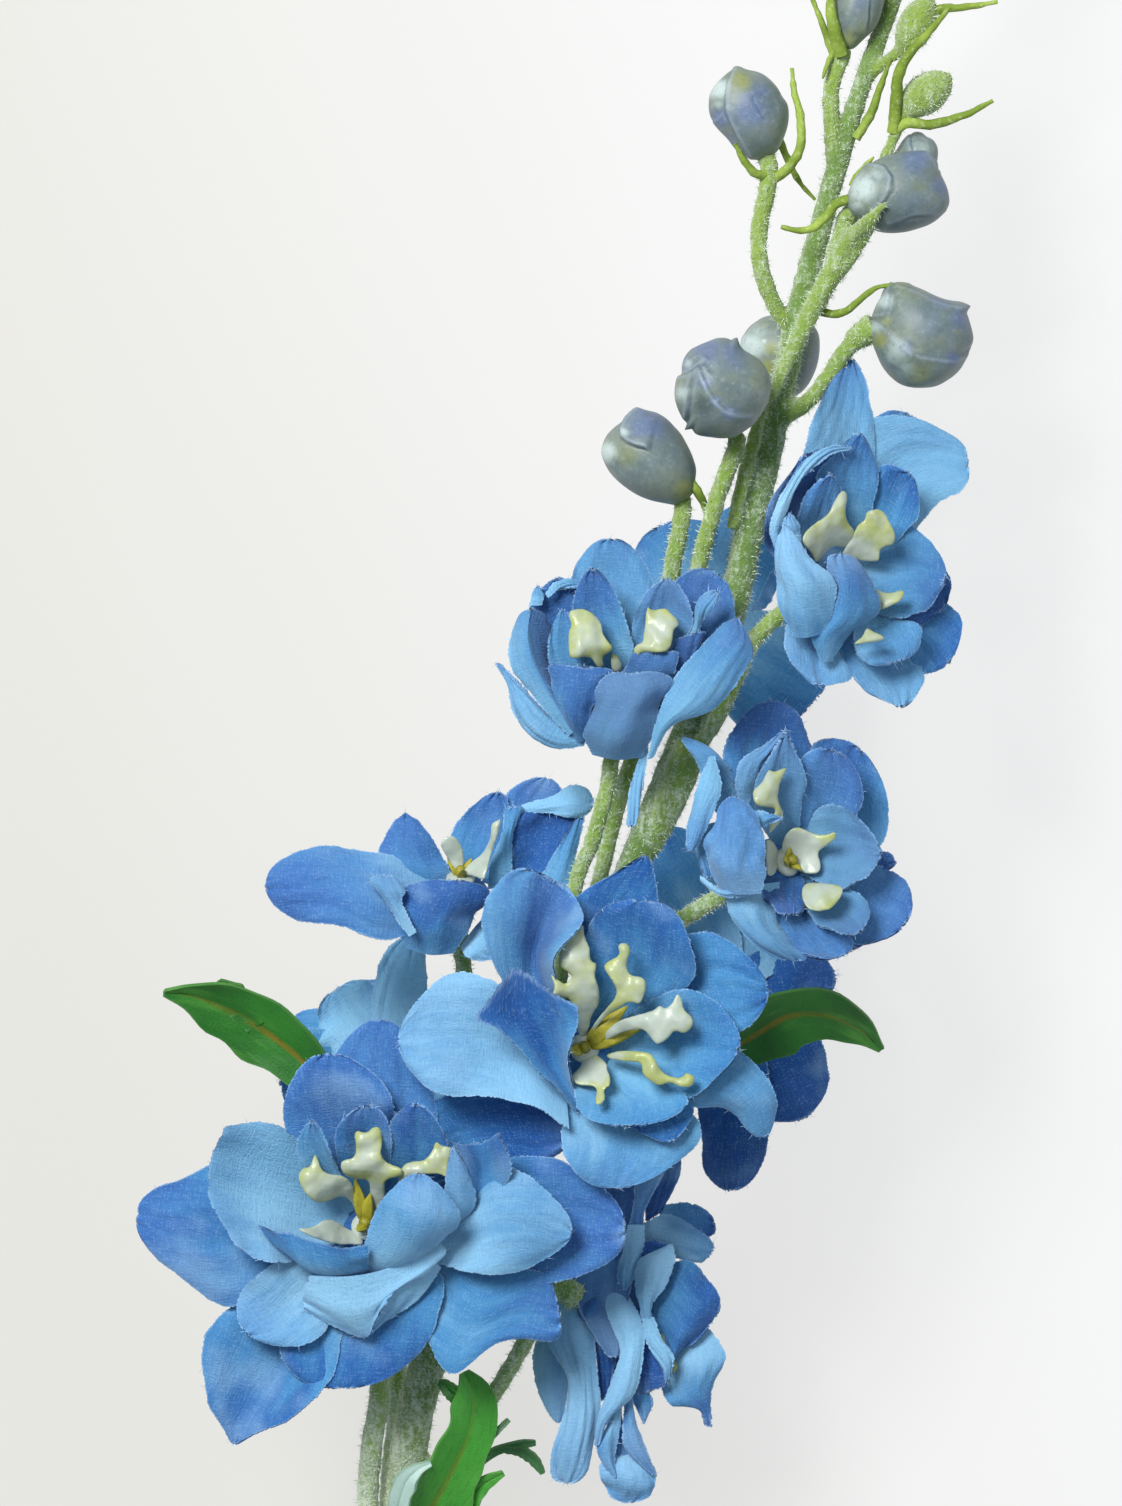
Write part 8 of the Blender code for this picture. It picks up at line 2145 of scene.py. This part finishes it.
def petal_cloth():
    """Woven cloth, dyed unevenly from pale at the root to deep blue, with pale cut edges; each petal's own
    paleness and depth are partly painted highlight and painted shade.
    """
    board = Board("petal_cloth")
    share, _, rim = board.stored(PLACE)
    pale, tone, violet = board.stored(DYE_AND_LIGHT)
    dull = board.stored(DULL)[0]
    flat = board.cloth_map()
    space = board.drawing()
    streak = board.noise(board.stretched(flat, scale=(34.0, 5.5, 1.0)), scale=1.0, detail=3.0, rough=0.6)
    blotch = board.noise(space, scale=75.0, detail=2.0, rough=0.55)
    cloud = board.noise(space, scale=26.0, detail=1.0, rough=0.5)
    # Each petal's own depth is partly painted shade, and its paleness partly painted highlight.
    depth = share * 0.8 + (streak - 0.5) * 0.9 + (blotch - 0.5) * 0.9 + tone
    depth = depth - pale * 0.6
    root = board.blend(board.ease(cloud, 0.35, 0.65), paint("petal_root"), paint("petal_root_pale"))
    body = board.blend(board.ease(depth, -0.1, 0.6), root, paint("petal_light"))
    body = board.blend(board.ease(depth, 0.5, 1.15), body, paint("petal_blue"))
    body = board.blend(board.ease(depth, 1.0, 1.9) * 0.6, body, paint("petal_deep"))
    violet_part = board.ease(share * 0.7 + (cloud - 0.5) * 1.2 + violet + (streak - 0.5) * 0.5, 0.5, 1.1)
    body = board.blend(violet_part * 0.42, body, paint("petal_violet"))
    # The pale overlay is partly pale colour and partly painted highlight.
    body = board.blend(pale * 0.6, body, paint("petal_pale_and_highlight"))
    body = board.blend(board.ease(blotch + (cloud - 0.5) * 0.5, 0.56, 0.74) * 0.3, body,
                       paint("petal_blotch"))
    warp_way = board.stretched(flat, scale=WARP_SCALE, turn=WEAVE_TURN)
    weft_way = board.stretched(flat, scale=WEFT_SCALE, turn=WEAVE_TURN)
    warp = board.noise(warp_way, scale=1.0, detail=2.0, rough=0.6)
    weft = board.noise(weft_way, scale=1.0, detail=2.0, rough=0.6)
    grain = board.noise(flat, scale=420.0, detail=2.0, rough=0.6)
    weave = warp * 0.5 + weft * 0.5
    light = board.ease(weave + (grain - 0.5) * 0.8, 0.5, 0.72)
    dark = 1.0 - board.ease(weave + (grain - 0.5) * 0.8, 0.3, 0.5)
    body = board.blend(light * 0.2, body, paint("weave_light"))
    body = board.blend(dark * 0.2, body, paint("weave_dark"))
    body = board.blend(dull * 0.5, body, paint("petal_dull"))
    frayed = board.noise(flat, scale=230.0, detail=2.0, rough=0.7)
    cut = 1.0 - board.ease(rim + (frayed - 0.5) * 0.5, 0.08, 0.36)
    body = board.blend(cut * 0.34, body, paint("petal_cut"))
    ragged = board.noise(flat, scale=70.0, detail=1.0, rough=0.5)
    bite = board.ease(frayed, 0.42, 0.62) * 0.14 + board.ease(ragged, 0.45, 0.7) * 0.08
    alpha = board.ease(rim - bite, -0.02, 0.04)
    board.feed(board.shader.inputs["Alpha"], alpha)
    height = weave * 1.2 + grain * 0.5 + streak * 1.2 + blotch * 0.6
    board.bump(height, strength=0.45, distance=0.0006)
    return board.finish(body, board.ease(grain, 0.2, 0.9) * 0.2 + 0.66, Sheen_Weight=0.15,
                        Sheen_Roughness=0.45, Specular_IOR_Level=0.2)


def thread_ends():
    """Loose pale thread ends."""
    board = Board("thread_ends")
    space = board.drawing()
    color = board.blend(board.noise(space, scale=300.0), paint("thread_blue"), paint("thread_pale"))
    return board.finish(color, 0.8, Specular_IOR_Level=0.2)


def stamen_plastic():
    """Milky moulded plastic: whitish at the foot, lime yellow at the lobes."""
    board = Board("stamen_plastic")
    _, edge, head = board.stored(PLACE)
    pick = board.stored(DYE_AND_LIGHT)[0]
    space = board.drawing()
    patch = board.noise(space, scale=260.0, detail=2.0, rough=0.5)
    fine = board.noise(space, scale=1200.0, detail=2.0, rough=0.6)
    yellow = board.ease(head * 0.42 + edge * 0.2 + (patch - 0.5) * 1.3 + pick * 0.3, 0.2, 0.9)
    color = board.blend(yellow, paint("stamen_milk"), paint("stamen_lime"))
    color = board.blend(board.ease(fine, 0.45, 0.8) * 0.3, color, paint("stamen_speck"))
    board.bump(patch * 1.0 + fine * 0.3, strength=0.4, distance=0.0006)
    board.finish(color, board.ease(fine, 0.3, 0.8) * 0.2 + 0.3, Specular_IOR_Level=0.5,
                 Coat_Weight=0.15)
    board.let_light_through(0.25, color)
    return board.material


def pistil_olive():
    """Olive plastic, darker in its grain, lighter towards the tips and at the side edges of the flat lobes.
    """
    board = Board("pistil_olive")
    up, wide, _ = board.stored(PLACE)
    space = board.drawing()
    grain = board.noise(space, scale=900.0, detail=3.0, rough=0.6)
    color = board.blend(board.ease(grain + up * 0.3, 0.3, 0.8), paint("olive_deep"),
                        paint("olive"))
    color = board.blend(board.ease(wide, 0.55, 1.0) * 0.4, color, paint("olive_light"))
    board.bump(grain, strength=0.3, distance=0.0004)
    return board.finish(color, 0.5)


def bud_plastic():
    """Satin moulded plastic: grey-green and slate, with violet, olive and darker patches, painted highlights,
    and seams painted as a shade line with a highlight beside it.
    """
    board = Board("bud_plastic")
    _, seam, raised = board.stored(PLACE)
    violet, pale, olive = board.stored(DYE_AND_LIGHT)
    dark = board.stored(DULL)[0]
    space = board.drawing()
    cloud = board.noise(space, scale=150.0, detail=2.0, rough=0.5)
    mottle = board.noise(space, scale=900.0, detail=4.0, rough=0.75)
    drift = board.noise(space, scale=320.0, detail=3.0, rough=0.6)
    wander = (cloud - 0.5) * 0.5 + (drift - 0.5) * 0.7 + (mottle - 0.5) * 0.4
    color = board.blend(board.ease(cloud, 0.3, 0.7), paint("bud_slate"), paint("bud_green"))
    color = board.blend(board.ease(dark + wander * 0.8, 0.05, 0.9) * 0.75, color, paint("bud_dark"))
    color = board.blend(board.ease(olive + wander * 0.7, 0.05, 0.9) * 0.75, color, paint("bud_olive"))
    color = board.blend(board.ease(violet + wander * 1.1, 0.0, 0.9) * 0.8, color, paint("bud_violet"))
    # Pale patches: painted highlight.
    color = board.blend(board.ease(pale + wander * 0.6, 0.05, 0.9) * 0.85, color, paint("bud_painted_highlight"))
    # The seam is painted as a dark line of shade in its groove, with a painted highlight on the raised side
    # beside it.
    line = 1.0 - board.ease(seam, 0.03, 0.26)
    color = board.blend(line * 0.4, color, paint("bud_seam_shade"))
    edge = board.ease(seam, 0.2, 0.4) * (1.0 - board.ease(seam, 0.45, 0.9)) * board.ease(raised, 0.1, 0.3)
    color = board.blend(edge * 0.25, color, paint("bud_seam_highlight"))
    color = board.blend(board.ease(mottle, 0.52, 0.7) * 0.32, color, paint("bud_fleck_light"))
    color = board.blend((1.0 - board.ease(mottle, 0.32, 0.48)) * 0.32, color, paint("bud_fleck_dark"))
    board.bump(mottle * 0.7 + cloud, strength=0.3, distance=0.0004)
    return board.finish(color, board.ease(mottle, 0.3, 0.8) * 0.2 + 0.42, Specular_IOR_Level=0.4,
                        Coat_Weight=0.1, Coat_Roughness=0.4)


def leaf_print():
    """Printed leaf: deep green with lighter veins and a yellow-brown midrib, and painted light and painted
    highlight on the lobes that catch the light.
    """
    board = Board("leaf_print")
    share, out, rim = board.stored(PLACE)
    painted_light, pale, ribbed = board.stored(DYE_AND_LIGHT)
    flat = board.cloth_map()
    space = board.drawing()
    cloud = board.noise(space, scale=110.0, detail=2.0, rough=0.5)
    grain = board.noise(flat, scale=260.0, detail=3.0, rough=0.6)
    color = board.blend(board.ease(cloud + (grain - 0.5) * 0.3, 0.3, 0.7), paint("leaf_deep"),
                        paint("leaf_green"))
    # Painted light: brighter green where a lobe lies in the light.
    color = board.blend(painted_light * 0.8, color, paint("leaf_painted_light"))
    slanted = board.stretched(flat, scale=(60.0, 9.0, 1.0), turn=0.35)
    streak = board.noise(slanted, scale=1.0, detail=2.0, rough=0.5)
    color = board.blend(board.ease(streak, 0.5, 0.75) * 0.5, color, paint("leaf_streak"))
    rib = 1.0 - board.ease(out + (grain - 0.5) * 0.08, 0.04, 0.16)
    shown = board.ease(share, 0.06, 0.16) * (1.0 - board.ease(share, 0.62, 0.74))
    color = board.blend(rib * ribbed * (0.45 + shown * 0.5), color, paint("leaf_rib"))
    furrow = board.noise(board.stretched(flat, scale=(9.0, 1.6, 1.0)), scale=28.0, detail=3.0, rough=0.6)
    color = board.blend(board.ease(furrow, 0.52, 0.68) * 0.35, color, paint("leaf_furrow"))
    # Painted highlight: a whitish pale on a lobe that catches the light.
    color = board.blend(pale * 0.9, color, paint("leaf_painted_highlight"))
    cut = 1.0 - board.ease(rim + (grain - 0.5) * 0.3, 0.05, 0.3)
    color = board.blend(cut * 0.4, color, paint("leaf_cut"))
    board.bump(streak * 0.8 + grain * 0.5, strength=0.35, distance=0.0006)
    board.finish(color, board.ease(grain, 0.3, 0.8) * 0.2 + 0.42, Specular_IOR_Level=0.4)
    board.let_light_through(0.12, color)
    return board.material


def stem_flocking():
    """Fuzzy flocking: fresh green underneath with a whitish bloom of fibres."""
    board = Board("stem_flocking")
    space = board.drawing()
    cloud = board.noise(space, scale=70.0, detail=2.0, rough=0.5)
    fuzz = board.noise(space, scale=2000.0, detail=3.0, rough=0.75)
    fleck = board.noise(space, scale=800.0, detail=3.0, rough=0.7)
    height = board.make("ShaderNodeSeparateXYZ", {}, {0: space}, 1)
    young = board.ease(height, -0.05, 0.16)
    low = 1.0 - board.ease(height, -0.12, -0.07)
    wood = board.stored(PLACE)[0]
    color = board.blend(board.ease(cloud, 0.35, 0.65), paint("stalk_green"), paint("stalk_light"))
    color = board.blend(young * 0.8, color, paint("stalk_young"))
    thick = board.blend(young, paint("stem_wood"), paint("stem_wood_young"))
    color = board.blend(wood * 0.8, color, thick)
    # Towards the cut end the stem turns paler: partly its whiter flock, partly painted light on a part that
    # lies in shade.
    color = board.blend(low * 0.7, color, paint("stem_low_flock_and_light"))
    patch = board.noise(space, scale=190.0, detail=2.0, rough=0.55)
    lengthwise = board.stretched(space, scale=(1200.0, 110.0, 1200.0))
    strand = board.noise(lengthwise, scale=1.0, detail=2.0, rough=0.5)
    # The extra white towards the cut end is likewise partly flock and partly painted light.
    white = fuzz * 0.5 + fleck * 0.4 + patch * 0.25 + strand * 0.3 - young * 0.04 + low * 0.16
    color = board.blend(board.ease(white, 0.66, 0.92) * (0.72 + low * 0.24), color, paint("flock_white"))
    dark = board.ease(fleck, 0.58, 0.75)
    color = board.blend(dark * 0.35 * (1.0 - low), color, paint("stem_dark"))
    board.bump(fuzz * 1.2 + fleck, strength=0.8, distance=0.0006)
    return board.finish(color, 0.95, Sheen_Weight=0.5, Sheen_Roughness=0.5,
                        Specular_IOR_Level=0.1)


def flock_fibre():
    """Single flock fibres, whitish green."""
    board = Board("flock_fibre")
    space = board.drawing()
    color = board.blend(board.noise(space, scale=500.0, detail=2.0), paint("fibre_green"),
                        paint("fibre_white"))
    return board.finish(color, 0.9, Specular_IOR_Level=0.15)


def bract_green():
    """Soft yellow-green plastic with a little flock."""
    board = Board("bract_green")
    space = board.drawing()
    cloud = board.noise(space, scale=160.0, detail=2.0, rough=0.5)
    fuzz = board.noise(space, scale=1300.0, detail=3.0, rough=0.7)
    color = board.blend(board.ease(cloud, 0.35, 0.65), paint("bract_deep"), paint("bract_light"))
    color = board.blend(board.ease(fuzz, 0.5, 0.75) * 0.4, color, paint("bract_flock"))
    board.bump(fuzz, strength=0.5, distance=0.0004)
    return board.finish(color, 0.7, Specular_IOR_Level=0.25)


FLOCK_FIBRES = 26000
THREADS_PER_FLOWER = 150
# Seeds: of the flock, and the first of the flowers, threads and leaves with the step to the next
FLOCK_SEED = 4
FLOWER_SEEDS = (1000, 400)
THREAD_SEEDS = (50, 1)
LEAF_SEEDS = (60, 20)


def seed_of(seeds, number):
    """The seed of one piece in a row of them."""
    return seeds[0] + seeds[1] * number


def build_object():
    """Every visible piece of the object, in the place of its solids."""
    petals = petal_cloth()
    threads = thread_ends()
    plastic = stamen_plastic()
    olive = pistil_olive()
    buds = bud_plastic()
    leaves = leaf_print()
    flocking = stem_flocking()
    stem = flocked_stem()
    fibre = stem_flock(stem, FLOCK_FIBRES, FLOCK_SEED)
    settle(fibre, flock_fibre(), "stem", "stem")
    settle(stem, flocking, "stem", "stem")
    settle(bract_tongues(), bract_green(), "stem", "stem")
    antlers = [moulded_antler(outline) for outline in ANTLERS]
    for number, (name, flower) in enumerate(FLOWERS.items()):
        cloth = flower_cloth(name, flower, seed_of(FLOWER_SEEDS, number))
        ends = cloth_threads(name, cloth, THREADS_PER_FLOWER, seed_of(THREAD_SEEDS, number))
        settle(ends, threads, "petals", "petals_" + name)
        settle(cloth, petals, "petals", "petals_" + name)
        settle(flower_stamens(name, flower, antlers, number), plastic, "stamens",
               "stamens_" + name)
        settle(flower_pistil(name, flower), olive, "pistil", "pistil_" + name)
    for antler in antlers:
        bpy.data.objects.remove(antler)
    for name, (way, direction, length, thick) in BUDS.items():
        bud = moulded_bud(name, way, direction, length, thick)
        settle(bud, buds, "bud", name)
    for number, (name, lobes) in enumerate(LEAVES.items()):
        settle(printed_leaf(name, lobes, seed_of(LEAF_SEEDS, number)), leaves, "leaf", name)


# Camera: the photograph looks straight at the middle of its own frame
PHOTO_MIDDLE = (-DRAWING_MIDDLE.x * MM, -DRAWING_MIDDLE.y * MM)
CAMERA_HEIGHT = 1.197
CAMERA_DISTANCE = 1.15
FRAME_HEIGHT = 0.23343
SENSOR = 36.0
CLIP = (0.05, 20.0)


def photo_camera():
    """The camera over the spike, at the photograph's viewing angle."""
    bpy.ops.object.camera_add(location=(*PHOTO_MIDDLE, CAMERA_HEIGHT), rotation=(0.0, 0.0, 0.0))
    camera = bpy.context.object
    camera.data.sensor_width = SENSOR
    camera.data.lens = SENSOR * CAMERA_DISTANCE / FRAME_HEIGHT
    camera.data.clip_start, camera.data.clip_end = CLIP
    bpy.context.scene.camera = camera


# Lamps: place, size, power and colour. All point at the middle of the spike.
LAMPS = {
    "key": ((-0.45, 0.55, 1.05), 0.45, 19.0, (1.0, 0.99, 0.97)),
    "fill": ((1.0, -0.2, 0.8), 0.9, 2.6, (0.97, 0.98, 1.0)),
    "top": ((0.0, 0.2, 1.6), 0.9, 2.4, (1.0, 1.0, 1.0)),
}
AIM_AT = Vector((0.0, 0.0, 0.04))
WORLD_TINT = (0.74, 0.88, 1.0, 1.0)
WORLD_LIGHT = 0.27
FLOOR_SIZE = 6.0
FLOOR_DIM = (0.16, 0.16, 0.16)      # what the floor gives back of the lamps' light
FLOOR_GLOW = 0.79                   # and what it gives of its own


def studio_light(name, place, size, power, color):
    """A large soft lamp."""
    bpy.ops.object.light_add(type="AREA", location=place)
    lamp = bpy.context.object
    lamp.name = name
    lamp.data.shape = "RECTANGLE"
    lamp.data.size = size
    lamp.data.size_y = size
    lamp.data.energy = power
    lamp.data.color = color
    lamp.rotation_euler = (AIM_AT - Vector(place)).to_track_quat("-Z", "Y").to_euler()


def pale_floor():
    """The plain pale surface that the spike lies on."""
    bpy.ops.mesh.primitive_plane_add(size=FLOOR_SIZE, location=(0.0, 0.0, 0.0))
    floor = bpy.context.object
    floor.name = "pale_floor"
    board = Board("pale_floor")
    space = board.drawing()
    node = board.make("ShaderNodeSeparateXYZ", {}, {0: space}).socket.node
    # The floor glows with its own light, and its colour and glow grade from darker at the left to lighter at
    # the right: painted light falloff on the backdrop.
    part = board.ease(Wire(board, node.outputs[0]) + Wire(board, node.outputs[1]) * 0.25, -0.11, 0.09)
    tint = board.blend(part, paint("floor_left"), paint("floor_right"))
    board.finish(tint, 0.9, Specular_IOR_Level=0.0)
    board.feed(board.shader.inputs["Base Color"], board.blend(1.0, tint, FLOOR_DIM, "MULTIPLY"))
    board.feed(board.shader.inputs["Emission Color"], tint)
    board.shader.inputs["Emission Strength"].default_value = FLOOR_GLOW
    floor.data.materials.append(board.material)


def studio():
    """Soft light from the upper left, with fill from the right, over a pale floor."""
    pale_floor()
    for name, (place, size, power, color) in LAMPS.items():
        studio_light(name, place, size, power, color)
    world = bpy.data.worlds.new("studio")
    bpy.context.scene.world = world
    world.use_nodes = True
    sky = world.node_tree.nodes["Background"]
    sky.inputs["Color"].default_value = WORLD_TINT
    sky.inputs["Strength"].default_value = WORLD_LIGHT
    bpy.context.scene.view_settings.view_transform = "Standard"


def corners(box):
    """The two corners of a box as plain lists."""
    return [list(box[0]), list(box[1])]


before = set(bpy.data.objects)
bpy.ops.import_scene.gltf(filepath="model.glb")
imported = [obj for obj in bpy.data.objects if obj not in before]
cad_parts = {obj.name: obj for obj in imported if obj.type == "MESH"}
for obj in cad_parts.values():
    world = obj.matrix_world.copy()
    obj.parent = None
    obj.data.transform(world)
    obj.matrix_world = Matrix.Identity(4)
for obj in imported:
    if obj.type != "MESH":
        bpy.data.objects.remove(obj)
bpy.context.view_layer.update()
bpy.ops.object.select_all(action="DESELECT")
photo_camera()
studio()
build_object()
